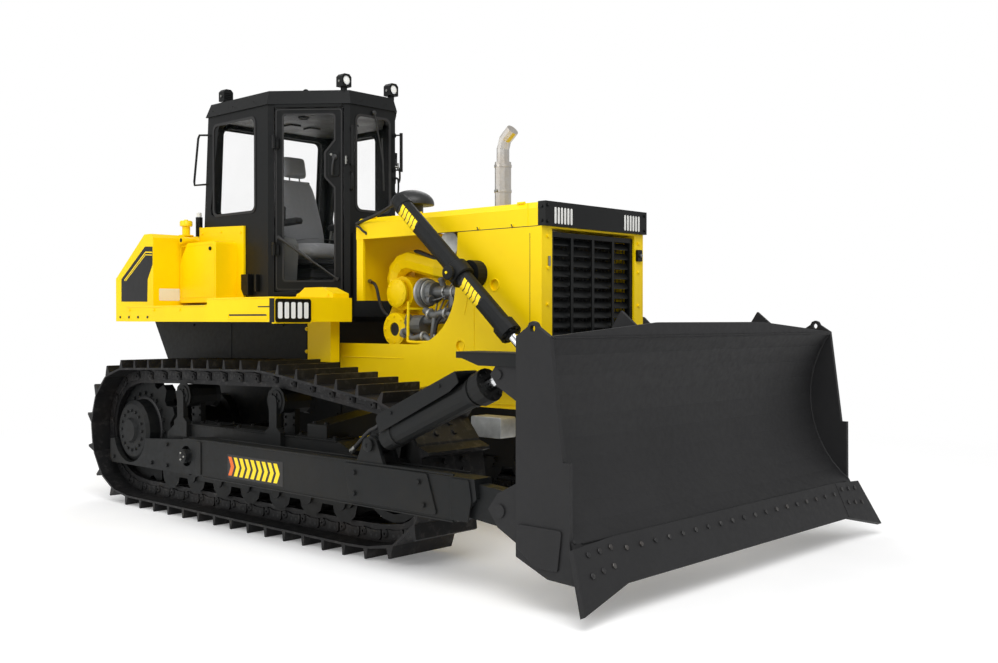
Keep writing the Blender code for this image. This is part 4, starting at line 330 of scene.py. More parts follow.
def cast_metal(name, colour, roughness=0.5, metallic=0.7):
    """Sand-cast or bead-blasted engine metal."""
    finish = Finish(name, colour, roughness, metallic=metallic)
    grit = finish.noise(240.0, 3, 0.7)
    stain = finish.noise(7.0, 5, 0.6)
    tone = finish.mix(finish.between(stain, 0.38, 0.66), colour, shade(colour, 0.62))
    finish.put("Base Color", tone)
    finish.put("Roughness", finish.between(grit, 0.3, 0.7, roughness - 0.08, roughness + 0.1))
    finish.bump(grit, 0.35, 0.0009)
    return finish.material


def black_rubber(name, colour, roughness=0.62):
    """Rubber or hose cover with a fine fabric mark."""
    finish = Finish(name, colour, roughness)
    mark = finish.noise(340.0, 2)
    bloom = finish.noise(9.0, 4)
    finish.put("Base Color", finish.mix(finish.between(bloom, 0.4, 0.7), colour, shade(colour, 1.7)))
    finish.put("Roughness", finish.between(mark, 0.3, 0.7, roughness - 0.08, roughness + 0.12))
    finish.bump(mark, 0.2, 0.0005)
    return finish.material


def woven_cloth(name, colour):
    """Seat cloth: crossed threads and a soft nap."""
    finish = Finish(name, colour, 0.92)
    x, y, z = finish.axes()
    weave = (y * 700.0).sine() * ((x + z) * 700.0).sine() * 0.5 + 0.5
    nap = finish.noise(60.0, 4)
    tone = finish.mix(finish.between(weave, 0.2, 0.8), shade(colour, 0.7), shade(colour, 1.15))
    finish.put("Base Color", finish.mix(finish.between(nap, 0.35, 0.7, 0.0, 0.35), tone, shade(colour, 0.6)))
    finish.bump(weave * 0.6 + nap * 0.4, 0.35, 0.0012)
    finish.shader.inputs["Sheen Weight"].default_value = 0.3
    return finish.material


def moulded_plastic(name, colour, roughness=0.45):
    """Injection-moulded plastic with a leather-like grain."""
    finish = Finish(name, colour, roughness)
    cells = finish.add("ShaderNodeTexVoronoi", {"feature": "DISTANCE_TO_EDGE"},
                       {"Vector": finish.place, "Scale": 320.0})
    haze = finish.noise(6.0, 3)
    finish.put("Base Color", finish.mix(finish.between(haze, 0.4, 0.7), colour, shade(colour, 1.25)))
    finish.put("Roughness", finish.between(haze, 0.35, 0.65, roughness - 0.06, roughness + 0.1))
    finish.bump(finish.between(cells, 0.0, 0.12), 0.15, 0.0005)
    return finish.material


def window_glass(name, colour):
    """Faintly tinted safety glass, almost clear, with a thin film of dust."""
    finish = Finish(name, colour, 0.03)
    film = finish.noise(3.0, 5, 0.6)
    finish.put("Roughness", finish.between(film, 0.4, 0.75, 0.02, 0.1))
    finish.put("Alpha", finish.between(film, 0.35, 0.7, 0.012, 0.03))
    finish.shader.inputs["Specular IOR Level"].default_value = 0.6
    return finish.material


def lamp_lens(name, colour, strength):
    """Ribbed lens lit by the room, with a pale glow of its own."""
    finish = Finish(name, colour, 0.12, coat=0.5)
    ribs = (finish.axes()[1] * 620.0).sine() * 0.5 + 0.5
    finish.put("Base Color", finish.mix(ribs, shade(colour, 0.8), colour))
    finish.put("Emission Color", finish.mix(ribs, shade(colour, 0.7), colour))
    finish.shader.inputs["Emission Strength"].default_value = strength
    finish.bump(ribs, 0.4, 0.002)
    return finish.material


def radiator_core(name, colour):
    """Rows of thin cooling fins between tubes, with painted shade in the gaps between the fins."""
    finish = Finish(name, colour, 0.6, metallic=0.4)
    _, y, z = finish.axes()
    # Fin stripes: the fin edges in the plain colour, and painted shade at 0.4 of it in the gaps between them.
    fins = (z * 900.0).sine() * 0.5 + 0.5
    tubes = ((y * 60.0).modulo(1.0)) > 0.75
    finish.put("Base Color",
               finish.mix(tubes, finish.mix(fins, shade(colour, 0.4), colour), shade(colour, 1.5)))
    finish.bump(fins * 0.5 + tubes * 0.5, 0.6, 0.004)
    return finish.material


PAINT_SPLIT_X = 1.75 - CENTRE_X


def make_finishes():
    """Every material of the machine, by the name that the pieces ask for."""
    look = bodywork()
    body, frames = tuple(look.body_colour), tuple(look.frame_colour)
    return {
        "yellow": paint("yellow_paint_sprayed", body, 0.36, 0.03, 0.03),
        "charcoal": paint("charcoal_paint_sprayed", frames, 0.5, 0.0, 0.04),
        "black": paint("black_paint_sprayed", tuple(look.cab_colour), 0.38, 0.04, 0.03),
        "blade": paint("blade_paint_matt", tuple(look.blade_colour), 0.52, 0.0, 0.03, srgb(92, 92, 90)),
        "frame_paint": two_tone("frame_paint_two_tone", frames, body, PAINT_SPLIT_X),
        "track": worn_steel("track_steel", srgb(30, 30, 31), srgb(86, 84, 82), 0.5, 0.35, 0.06, 16.0),
        "edge_steel": worn_steel("cutting_edge_steel", srgb(50, 50, 51), srgb(120, 118, 114), 0.45, 0.35,
                                 0.12, 9.0),
        # Dark olive: the yellow paint with shade painted in, as it looks deep in the engine bay.
        "olive": paint("painted_shade_olive", srgb(60, 60, 42), 0.5, 0.0, 0.3),
        "chrome": bright_metal("chrome_rod", srgb(214, 216, 218), 0.1),
        "stainless": bright_metal("stainless_tube", srgb(204, 200, 194), 0.28, 0.1, srgb(176, 160, 140)),
        "zinc": bright_metal("zinc_bolt", srgb(150, 150, 146), 0.38),
        "engine_grey": cast_metal("engine_cast_metal", srgb(120, 122, 122), 0.48, 0.55),
        "light_metal": cast_metal("aluminium_housing", srgb(196, 198, 196), 0.42, 0.5),
        # Dark iron: the colour of dark iron parts, and also of the plates and discs that paint shade into
        # slots and ports.
        "dark_iron_and_shade": cast_metal("dark_iron_and_shade", srgb(54, 54, 55), 0.5, 0.5),
        "rubber": black_rubber("hose_rubber", srgb(26, 26, 27)),
        "seal": black_rubber("window_seal", srgb(20, 20, 21), 0.5),
        "cloth": woven_cloth("seat_cloth", tuple(fittings().cloth_colour)),
        "trim": moulded_plastic("cab_trim_plastic", srgb(86, 87, 86), 0.5),
        "dark_trim": moulded_plastic("dark_plastic", srgb(27, 28, 29), 0.45),
        "glass": window_glass("cab_window_glass", srgb(52, 62, 60)),
        "lens": lamp_lens("lamp_lens_white", srgb(236, 238, 238), 0.15),
        "core": radiator_core("radiator_core", srgb(44, 45, 46)),
        "stripe_yellow": paint("stripe_yellow", tuple(fittings().stripe_colour), 0.35, 0.2, 0.05),
        "stripe_orange": paint("stripe_orange", srgb(232, 108, 24), 0.35, 0.2, 0.05),
        "stripe_black": paint("stripe_black", srgb(24, 24, 25), 0.35, 0.2, 0.05),
        "plate_white": paint("sign_plate_bare", srgb(226, 226, 222), 0.4, 0.1, 0.1),
        "red": paint("hose_end_red", srgb(120, 30, 26), 0.45, 0.1, 0.1),
    }


NODE_FINISHES = {
    "yellow_paint": "yellow", "charcoal_paint": "charcoal", "black_paint": "black", "blade_steel": "blade",
    "track_steel": "track", "chrome": "chrome", "stainless": "stainless", "dark_plastic": "dark_trim",
    "seat_cloth": "cloth", "engine_grey": "engine_grey", "light_metal": "light_metal", "glass": "glass",
}

SLOTS = {finish: slot for slot, finish in NODE_FINISHES.items()}
SLOTS.update({"zinc": "chrome", "dark_iron_and_shade": "engine_grey", "rubber": "dark_plastic", "seal": "dark_plastic",
              "trim": "dark_plastic", "edge_steel": "blade_steel"})

FINISHES = {}


# Mesh making

BEVEL_ANGLE = math.radians(35)
SHARP_ANGLE = math.radians(40)
PLAN = Matrix.Translation((-CENTRE_X, 0, 0))


def world(x, y, z):
    """Point of the machine's own frame, whose X starts at the sprocket axle."""
    return Vector((x - CENTRE_X, y, z))


def spots(*places):
    """Points of the machine's own frame."""
    return [world(*place) for place in places]


def add_object(name, data):
    """Object around its data, in the scene."""
    obj = bpy.data.objects.new(name, data)
    bpy.context.scene.collection.objects.link(obj)
    return obj


def round_edges(obj, width, harden):
    """Narrow rounding of an object's sharp edges."""
    rounding = obj.modifiers.new("edges", "BEVEL")
    rounding.width = width
    rounding.segments = 2
    rounding.limit_method = "ANGLE"
    rounding.angle_limit = BEVEL_ANGLE
    rounding.harden_normals = harden


def mesh_of(name, shape):
    """Mesh from a finished bmesh."""
    mesh = bpy.data.meshes.new(name)
    shape.to_mesh(mesh)
    shape.free()
    return mesh


def close(name, shape, finish, body="chassis", smooth=False, bevel=0.0):
    """Object from a bmesh, with its finish, riding on a body."""
    bmesh.ops.recalc_face_normals(shape, faces=shape.faces)
    mesh = mesh_of(name, shape)
    obj = add_object(name, mesh)
    mesh.materials.append(FINISHES[finish])
    if bevel:
        round_edges(obj, bevel, True)
    if smooth or bevel:
        mesh.shade_smooth()
        mesh.set_sharp_from_angle(angle=SHARP_ANGLE)
    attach(obj, body)
    finish in SLOTS
    return obj


def capped(*profile):
    """Turned profile closed to the axis at both ends."""
    return [(0, profile[0][1]), *profile, (0, profile[-1][1])]


def rect(x0, y0, x1, y1):
    """Corners of a rectangle between two opposite ones."""
    return [(x0, y0), (x1, y0), (x1, y1), (x0, y1)]


def lathe(shape, profile, place, steps=24):
    """Turned form about local Z from (radius, height) pairs, moved by a matrix, added to a bmesh."""
    rings = []
    for radius, height in profile:
        if radius < 1e-6:
            rings.append([shape.verts.new(place @ Vector((0, 0, height)))])
            continue
        rings.append([shape.verts.new(place @ Vector((
            radius * math.cos(math.tau * k / steps), radius * math.sin(math.tau * k / steps), height)))
            for k in range(steps)])
    for low, high in zip(rings, rings[1:]):
        for k in range(steps):
            a, b = low[k % len(low)], low[(k + 1) % len(low)]
            c, d = high[(k + 1) % len(high)], high[k % len(high)]
            corners = [a]
            for vertex in (b, c, d):
                if vertex not in corners:
                    corners.append(vertex)
            if len(corners) > 2:
                shape.faces.new(corners)


def frame_at(point, axis):
    """Matrix that carries local Z onto an axis at a point."""
    return Matrix.Translation(point) @ Vector(axis).to_track_quat("Z", "Y").to_matrix().to_4x4()


def turned(name, profile, point, axis, finish, steps=24, body="chassis"):
    """Piece of one turned form at a point, along an axis."""
    shape = bmesh.new()
    lathe(shape, profile, frame_at(point, axis), steps)
    return close(name, shape, finish, body, smooth=True)


def bolts(name, places, finish, body="chassis", size=None, height=None, washer=True):
    """Hexagon bolt heads: places are (point, outward axis) pairs."""
    size = size or fittings().bolt_size
    height = height or size * 0.55
    shape = bmesh.new()
    for point, axis in places:
        place = frame_at(point, axis)
        if washer:
            lathe(shape, rect(0, -0.003, size * 0.78, height * 0.15), place, 16)
        lathe(shape, [(0, 0), (size * 0.58, 0), (size * 0.58, height * 0.8), (size * 0.5, height),
                      (0, height)], place, 6)
    close(name, shape, finish, body)


def ring_of(centre, axis, radius, count):
    """Evenly spaced points of a bolt circle, each with the axis."""
    place = frame_at(centre, axis)
    turns = [math.tau * k / count for k in range(count)]
    return [(place @ Vector((radius * math.cos(turn), radius * math.sin(turn), 0)), axis) for turn in turns]


def smooth_path(points, steps=6):
    """Rounded run through points."""
    points = [Vector(p) for p in points]
    ends = [2 * points[0] - points[1]] + points + [2 * points[-1] - points[-2]]
    run = []
    for a, b, c, d in zip(ends, ends[1:], ends[2:], ends[3:]):
        for k in range(steps):
            t = k / steps
            run.append(0.5 * ((2 * b) + (c - a) * t + (2 * a - 5 * b + 4 * c - d) * t * t
                              + (3 * b - a - 3 * c + d) * t * t * t))
    run.append(points[-1])
    return run


def pipe(shape, points, radius, sides=12):
    """Tube along points with closed ends, added to a bmesh; radius may be one number or one per point."""
    points = [Vector(p) for p in points]
    radii = radius if isinstance(radius, (list, tuple)) else [radius] * len(points)
    turns = [math.tau * k / sides for k in range(sides)]
    up = None
    rings = []
    for i, point in enumerate(points):
        ahead = (points[min(i + 1, len(points) - 1)] - points[max(i - 1, 0)]).normalized()
        if up is None:
            up = ahead.orthogonal().normalized()
        else:
            up = (up - ahead * up.dot(ahead)).normalized()
        across = ahead.cross(up)
        rings.append([shape.verts.new(point + (up * math.cos(turn) + across * math.sin(turn)) * radii[i])
                      for turn in turns])
    for low, high in zip(rings, rings[1:]):
        for k in range(sides):
            shape.faces.new([low[k], low[(k + 1) % sides], high[(k + 1) % sides], high[k]])
    shape.faces.new(rings[0])
    shape.faces.new(rings[-1])


def hose(name, points, body="chassis", diameter=None):
    """Bent rubber hose with a swaged ferrule and a hexagon nut at each end."""
    wide = diameter or fittings().hose_diameter
    run = smooth_path(points)
    shape = bmesh.new()
    pipe(shape, run, wide / 2)
    close(name, shape, "rubber", body, smooth=True)
    shape = bmesh.new()
    for tip, near in ((run[0], run[1]), (run[-1], run[-2])):
        along = (near - tip).normalized()
        place = frame_at(tip - along * 0.004, along)
        lathe(shape, rect(0, 0, wide * 0.72, wide * 0.55), place, 6)
        lathe(shape, [(0, wide * 0.5), (wide * 0.62, wide * 0.5), (wide * 0.62, wide * 1.5),
                      (wide * 0.54, wide * 1.7), (0, wide * 1.7)], place, 14)
    close(name + "_ends", shape, "zinc", body, smooth=True)


def plate(shape, outline, low, high, place):
    """Flat outline in local XY between two local Z levels, added to a bmesh."""
    bottom = [shape.verts.new(place @ Vector((x, y, low))) for x, y in outline]
    top = [shape.verts.new(place @ Vector((x, y, high))) for x, y in outline]
    shape.faces.new(bottom)
    shape.faces.new(top)
    for k in range(len(outline)):
        n = (k + 1) % len(outline)
        shape.faces.new([bottom[k], bottom[n], top[n], top[k]])


def box(shape, low, high, place=Matrix()):
    """Box between two corners, added to a bmesh."""
    plate(shape, rect(*low[:2], *high[:2]), low[2], high[2], place)


def slab(name, outline, low, high, place, finish, body="chassis", bevel=0.0):
    """Piece of one flat outline between two local Z levels."""
    shape = bmesh.new()
    plate(shape, outline, low, high, place)
    close(name, shape, finish, body, bevel=bevel)


def side_place(side, y):
    """Local X forward, local Y up, local Z outward from a side at a distance from the middle."""
    return Matrix((
        (1, 0, 0, -CENTRE_X),
        (0, 0, side, side * y),
        (0, 1, 0, 0),
        (0, 0, 0, 1),
    ))


def front_place(x):
    """Local X to the left, local Y up, local Z forward at a station."""
    return Matrix((
        (0, 0, 1, x - CENTRE_X),
        (1, 0, 0, 0),
        (0, 1, 0, 0),
        (0, 0, 0, 1),
    ))


def rear_place(x):
    """Local X to the left, local Y up, local Z backward at a station."""
    return Matrix((
        (0, 0, -1, x - CENTRE_X),
        (1, 0, 0, 0),
        (0, 1, 0, 0),
        (0, 0, 0, 1),
    ))


def soft_rect(x0, y0, x1, y1, radius, count=4):
    """Rectangle between two opposite corners, its corners rounded."""
    return soft_corners(rect(x0, y0, x1, y1), radius, count)


def soft_corners(outline, radius, count=4):
    """Outline with its corners rounded."""
    corners = [Vector(point) for point in outline]
    points = []
    for i, corner in enumerate(corners):
        before = (corners[i - 1] - corner).normalized()
        after = (corners[(i + 1) % len(corners)] - corner).normalized()
        half = before.angle(after) / 2
        reach = radius / math.tan(half)
        centre = corner + (before + after).normalized() * (radius / math.sin(half))
        start = corner + before * reach - centre
        end = corner + after * reach - centre
        turn = math.atan2(start.x * end.y - start.y * end.x, start.dot(end))
        first = math.atan2(start.y, start.x)
        for k in range(count + 1):
            angle = first + turn * k / count
            points.append((centre.x + radius * math.cos(angle), centre.y + radius * math.sin(angle)))
    return points


# Operators

class BULLDOZER_OT_finishes(bpy.types.Operator):
    """Give every solid of the machine its sprayed, plated or cast finish"""
    bl_idname = "bulldozer.finishes"
    bl_label = "Finishes"

    def execute(self, context):
        FINISHES.update(make_finishes())
        for name, obj in frame["nodes"].items():
            paints = [slot.material.name.split(".")[0] for slot in obj.material_slots if slot.material]
            kind = NODE_FINISHES[paints[0]]
            kind = {"radiator": "core", "main_frame": "frame_paint"}.get(name, kind)
            for slot in obj.material_slots:
                slot.material = FINISHES[kind]
            if kind != "glass":
                round_edges(obj, bodywork().edge_radius, False)
        return {"FINISHED"}


# Running gear

def chain_pins():
    """Centres of the chain's pins, as the solids place them."""
    def bow(centre, radius, first, last, count):
        turns = [math.radians(first + (last - first) * k / count) for k in range(count + 1)]
        return [(centre[0] + radius * math.cos(turn), centre[1] + radius * math.sin(turn)) for turn in turns]

    path = [(0.1, GROUND_PIN_Z), (IDLER[0] - 0.16, GROUND_PIN_Z)] + bow(IDLER, 0.37, -82, 82, 24)
    path += [(1.85, 1.026), (0.7, 1.006)] + bow(SPROCKET, 0.42, 88, 262, 24)
    path = [Vector(p) for p in path]
    legs = list(zip(path, path[1:] + path[:1]))
    total = sum((b - a).length for a, b in legs)
    pins = []
    for k in range(SHOE_COUNT):
        left = total * k / SHOE_COUNT
        for a, b in legs:
            length = (b - a).length
            if left <= length:
                pins.append(a + (b - a) * (left / length))
                break
            left -= length
    return pins


SHOE_COUNT = 42
GROUND_PIN_Z = 0.131
SPROCKET = (0.0, 0.565)
IDLER = (2.985, 0.515)
TRACK_Y = 1.03
SHOE_FACE = 0.069
RAIL_FACE = 0.095
FORK_FACE = 0.145
ROLLER_STATIONS = [0.52 + 0.34 * k for k in range(7)]
CARRIER_STATIONS = (0.7, 1.85)
ROLLER_Z = 0.2836
IDLER_RIB = (0.085, 0.262)
BEAM_COVERS = ((0.82, 1.1), (1.28, 1.7), (2.0, 2.42))


def link_frame(pin, following, y):
    """Local X along a link, local Y away from the loop's inside, local Z to the left."""
    along = (following - pin).normalized()
    return Matrix((
        (along.x, along.y, 0, pin.x - CENTRE_X),
        (0, 0, 1, y),
        (along.y, -along.x, 0, pin.y),
        (0, 0, 0, 1),
    ))


class BULLDOZER_OT_chains(bpy.types.Operator):
    """Forged link plates, pin ends and shoe bolts of both track chains"""
    bl_idname = "bulldozer.chains"
    bl_label = "Track chains"

    def execute(self, context):
        pins = chain_pins()
        pairs = list(zip(pins, pins[1:] + pins[:1]))
        for side, name in SIDES:
            for part in (self.add_links, self.add_pins, self.add_bolts):
                part(name, pairs, side * TRACK_Y)
        return {"FINISHED"}

    def add_links(self, name, pairs, centre):
        """Waisted side plates of the links, and in each a pair of dark discs, painted shade in its windows.
        """
        shape = bmesh.new()
        pitch = (pairs[0][1] - pairs[0][0]).length
        half = soft_corners([(-0.03, -0.024), (0.035, -0.024), (pitch * 0.32, -0.016),
                             (pitch * 0.68, -0.016), (pitch - 0.044, -0.024), (pitch - 0.044, 0.03),
                             (pitch * 0.7, 0.046), (pitch * 0.26, 0.046), (-0.03, 0.03)], 0.008, 2)
        for pin, following in pairs:
            for face in (-1, 1):
                place = link_frame(pin, following, centre + face * RAIL_FACE)
                low, high = sorted((-0.001 * face, 0.009 * face))
                plate(shape, half, low, high, place)
        close(f"link_plates_{name}", shape, "track", bevel=0.003)
        # Dark discs on the link windows: painted shade of the holes' depth.
        shape = bmesh.new()
        for pin, following in pairs:
            for share in (0.36, 0.6):
                for face in (-1, 1):
                    place = link_frame(pin, following, centre + face * RAIL_FACE)
                    point = place @ Vector((pitch * share, 0.018, face * 0.009))
                    lathe(shape, [(0, 0.0006), (0.011, 0.0006), (0.011, -0.002)],
                          frame_at(point, (0, face, 0)), 12)
        close(f"link_window_shade_{name}", shape, "seal", smooth=True)

    def add_pins(self, name, pairs, centre):
        """Pin ends with their centre bore, inside a raised boss."""
        shape = bmesh.new()
        rows = [(0, 0), (0.027, 0), (0.027, 0.013), (0.021, 0.015), (0.02, 0.017), (0.008, 0.017),
                (0.007, 0.01), (0, 0.01)]
        for pin, _ in pairs:
            for face in (-1, 1):
                point = world(pin.x, centre + face * RAIL_FACE, pin.y)
                lathe(shape, rows, frame_at(point, (0, face, 0)), 14)
        close(f"chain_pins_{name}", shape, "track", smooth=True)

    def add_bolts(self, name, pairs, centre):
        """Four bolt heads on the outside of each shoe."""
        heads = []
        for pin, following in pairs:
            place = link_frame(pin, following, centre)
            out = place.to_3x3() @ Vector((0, 1, 0))
            pitch = (following - pin).length
            heads += [(place @ Vector((pitch * share, SHOE_FACE, offset)), out) for share in (0.34, 0.66)
                      for offset in (-0.0725, 0.0725)]
        bolts(f"shoe_bolts_{name}", heads, "track", size=0.03, height=0.013, washer=False)


class BULLDOZER_OT_rollers(bpy.types.Operator):
    """Caps, retainers and bolts of the rollers, idlers and final drives"""
    bl_idname = "bulldozer.rollers"
    bl_label = "Rollers and drives"

    def execute(self, context):
        for side, name in SIDES:
            for part in (self.add_retainers, self.add_carriers, self.add_idler, self.add_drive,
                         self.add_frame_fittings):
                part(side, name)
        return {"FINISHED"}

    def add_retainers(self, side, name):
        """Half-round caps that hold the roller axles, two bolts each, on both fork faces."""
        shape = bmesh.new()
        heads = []
        for station in ROLLER_STATIONS[1:]:
            for face in (-1, 1):
                place = side_place(side, TRACK_Y + face * FORK_FACE)
                outline = [(station - 0.075, ROLLER_Z + 0.055), (station - 0.075, ROLLER_Z + 0.01)]
                outline += [(station + 0.045 * math.cos(a), ROLLER_Z + 0.002 + 0.045 * math.sin(a))
                            for a in [math.pi + math.pi * k / 8 for k in range(9)]]
                outline += [(station + 0.075, ROLLER_Z + 0.01), (station + 0.075, ROLLER_Z + 0.055)]
                low, high = sorted((-0.001 * face, 0.014 * face))
                plate(shape, outline, low, high, place)
                for shift in (-0.058, 0.058):
                    heads.append((world(station + shift, side * (TRACK_Y + face * (FORK_FACE + 0.014)),
                                        ROLLER_Z + 0.035), (0, side * face, 0)))
        close(f"roller_retainers_{name}", shape, "charcoal", bevel=0.003)
        bolts(f"roller_bolts_{name}", heads, "charcoal", size=0.024)

    def add_carriers(self, side, name):
        """Bolted end caps of the carrier rollers, and the clamp bolts of their posts."""
        heads = []
        for station in CARRIER_STATIONS:
            z = 0.869 if station < 1 else 0.888
            point = world(station, side * (TRACK_Y + 0.13), z)
            turned(f"carrier_cap_{name}_{int(station * 100)}",
                   capped((0.072, -0.002), (0.072, 0.006), (0.06, 0.012), (0.03, 0.014), (0.026, 0.022)),
                   point, (0, side, 0), "charcoal")
            heads += ring_of(point + Vector((0, side * 0.012, 0)), (0, side, 0), 0.047, 6)
            for shift in (-0.045, 0.045):
                heads.append((world(station + shift, side * (TRACK_Y + 0.021), 0.72), (0, side, 0)))
                heads.append((world(station + shift, side * (TRACK_Y + 0.021), 0.77), (0, side, 0)))
        bolts(f"carrier_bolts_{name}", heads, "charcoal", size=0.016)

    def add_idler(self, side, name):
        """Hub boss, web ribs and the sliding block that carries the idler's axle."""
        point = world(IDLER[0], side * (TRACK_Y + 0.095), IDLER[1])
        turned(f"idler_hub_{name}", capped((0.082, 0), (0.078, 0.01), (0.055, 0.016), (0.05, 0.02)), point,
               (0, side, 0), "charcoal")
        bolts(f"idler_bolts_{name}", ring_of(point + Vector((0, side * 0.008, 0)), (0, side, 0), 0.066, 8),
              "charcoal", size=0.014)
        shape = bmesh.new()
        for face in (-1, 1):
            place = side_place(side, TRACK_Y + face * FORK_FACE)
            low, high = sorted((-0.001 * face, 0.016 * face))
            plate(shape, soft_rect(2.78, 0.462, 3.05, 0.568, 0.02, 3), low, high, place)
        for k in range(6):
            angle = math.tau * k / 6 + 0.3
            along = Vector((math.cos(angle), math.sin(angle)))
            across = Vector((-along.y, along.x)) * 0.008
            near, far = (Vector(IDLER) + along * reach for reach in IDLER_RIB)
            for face in (-1, 1):
                low, high = sorted((-0.002 * face, 0.045 * face))
                plate(shape, [near - across, far - across, far + across, near + across], low, high,
                      side_place(side, TRACK_Y + face * 0.025))
        close(f"idler_blocks_{name}", shape, "charcoal", bevel=0.003)
        heads = [(world(x, side * (TRACK_Y + FORK_FACE + 0.016), z), (0, side, 0)) for x in (2.81, 2.89)
                 for z in (0.485, 0.545)]
        bolts(f"idler_block_bolts_{name}", heads, "charcoal", size=0.022)

    def add_drive(self, side, name):
        """Bolt circles of the drive cover and sprocket, and the seal ring between them."""
        axis = (0, side, 0)
        face = side * (TRACK_Y + 0.185)
        centre = world(0, face, SPROCKET[1])
        heads = ring_of(centre - Vector((0, side * 0.026, 0)), axis, 0.153, 16)
        bolts(f"drive_cover_bolts_{name}", heads, "charcoal", size=0.02)
        ring = ring_of(world(0, side * (TRACK_Y + 0.0405), SPROCKET[1]), axis, 0.285, 20)
        bolts(f"sprocket_bolts_{name}", ring, "charcoal", size=0.026)
        turned(f"drive_seal_{name}",
               [(0.239, -0.003), (0.262, -0.003), (0.262, 0.006), (0.254, 0.012), (0.239, 0.012)],
               world(0, side * (TRACK_Y + 0.041), SPROCKET[1]), axis, "dark_iron_and_shade", 40)

    def add_frame_fittings(self, side, name):
        """Covers on the beam's top, weld runs along it and the guards' bolts."""
        shape = bmesh.new()
        for low_x, high_x in BEAM_COVERS:
            outline = rect(low_x, side * (TRACK_Y - 0.085), high_x, side * (TRACK_Y + 0.085))[::side]
            plate(shape, soft_corners(outline, 0.02, 2), 0.659, 0.669, PLAN)
        close(f"beam_covers_{name}", shape, "charcoal", bevel=0.002)
        heads = [(world(x, side * (TRACK_Y + shift), 0.669), UPWARD) for low_x, high_x in BEAM_COVERS
                 for x in (low_x + 0.03, high_x - 0.03) for shift in (-0.06, 0.06)]
        heads += [(world(x, side * (TRACK_Y + 0.18), z), (0, side, 0)) for x, z in (
            (-0.24, 0.345), (0.34, 0.345), (0.56, 0.345), (0.8, 0.345), (0.56, 0.5), (0.8, 0.5))]
        bolts(f"frame_bolts_{name}", heads, "charcoal", size=0.024)
        shape = bmesh.new()
        for z in (0.6595, 0.4255):
            for face in (-1, 1):
                y = side * (TRACK_Y + face * 0.1205)
                pipe(shape, spots((0.6, y, z), (1.5, y, z), (2.48, y, z)), 0.006, 6)
        close(f"beam_welds_{name}", shape, "charcoal", smooth=True)


REAR_CASE_X = -0.45
BELLY_Z = 0.411
SILL_FACE = 0.36


class BULLDOZER_OT_main_frame(bpy.types.Operator):
    """Rear case covers, drawbar pin, belly plates and side-sill fittings of the main frame"""
    bl_idname = "bulldozer.main_frame"
    bl_label = "Main frame"

    def execute(self, context):
        rear = world(REAR_CASE_X, 0, 0.76)
        turned("power_take_off_cover", capped((0.125, 0), (0.125, 0.014), (0.085, 0.02), (0.055, 0.034)),
               rear, BACKWARD, "charcoal", 32)
        heads = ring_of(rear - Vector((0.014, 0, 0)), BACKWARD, 0.105, 10)
        heads += [(world(REAR_CASE_X, y, z), BACKWARD) for y in (-0.3, 0.3) for z in (0.62, 0.74, 0.86, 0.98)]
        bolts("rear_case_bolts", heads, "charcoal")
        turned("drawbar_pin", [(0, -0.175), (0.024, -0.175), (0.024, 0.0), (0.042, 0.0), (0.042, 0.022),
                               (0.018, 0.03), (0.018, 0.07), (0, 0.07)], world(-0.575, 0, 0.6), UPWARD,
                              "zinc", 20)
        shape = bmesh.new()
        for low_x, high_x in ((-0.22, 0.32), (0.4, 0.98), (1.06, 1.66)):
            plate(shape, soft_rect(low_x, -0.32, high_x, 0.32, 0.03, 3), BELLY_Z, BELLY_Z + 0.01, PLAN)
        close("belly_plates", shape, "charcoal", bevel=0.002)
        heads = [(world(x, y, BELLY_Z), DOWNWARD) for x in (-0.19, 0.29, 0.43, 0.95, 1.09, 1.63)
                 for y in (-0.29, -0.1, 0.1, 0.29)]
        bolts("belly_bolts", heads, "charcoal", size=0.028)
        for piece, finish, outline, thick in (
            ("side_plates", "charcoal", soft_rect(1.0, 0.5, 1.55, 0.95, 0.03, 3), 0.01),
            ("rail_plates", "yellow", soft_rect(2.05, 0.885, 3.4, 0.995, 0.02, 3), 0.012),
        ):
            shape = bmesh.new()
            for side in (RIGHT, LEFT):
                plate(shape, outline, -0.001, thick, side_place(side, SILL_FACE))
            close(piece, shape, finish, bevel=0.002)
        heads = []
        for side in (RIGHT, LEFT):
            heads += [(world(x, side * 0.372, z), (0, side, 0)) for x in (2.1, 2.75, 3.35)
                      for z in (0.91, 0.97)]
            heads += [(world(x, side * 0.37, z), (0, side, 0)) for x in (1.04, 1.51)
                      for z in (0.54, 0.725, 0.91)]
            heads += [(world(x, side * 1.09, 0.752), UPWARD) for x in (2.18, 2.3)]
        bolts("side_plate_bolts", heads, "charcoal")
        self.add_front_plates()
        return {"FINISHED"}

    def add_front_plates(self):
        """Grey service blocks beside the frame's nose, and the tow block and pin on it."""
        for side, name in SIDES:
            slab(f"service_block_{name}", soft_rect(3.02, 0.685, 3.28, 0.815, 0.012, 3), -0.001, 0.14,
                 side_place(side, SILL_FACE), "light_metal", bevel=0.004)
        slab("tow_block", soft_rect(-0.19, 0.885, 0.19, 0.995, 0.02, 3), -0.001, 0.045, front_place(3.56),
             "charcoal", bevel=0.004)
        turned("tow_pin", capped((0.03, 0), (0.03, 0.02), (0.02, 0.028)), world(3.605, 0, 0.94), FORWARD,
               "zinc", 20)


# Blade linkage

BODY_OF_ARM = {"right": "right_arm", "left": "blade"}
ARM_Y = 1.38
ARM_FACE = 1.445
TRUNNION = (1.21, 0.49)
BRACE_FOOT = (3.14, 0.715)
BRACE_HEAD = (4.155, 1.15)
LIFT_Y = 0.68
YOKE = (3.1, 1.715)
LIFT_PIN = (4.16, 0.79)
LIFT_TAIL = -0.7
LIFT_GLAND = 0.572
DECAL_RADIUS = 0.0588
DECAL_STARTS = (-0.668, 0.075)
DECAL_LENGTH = 0.215


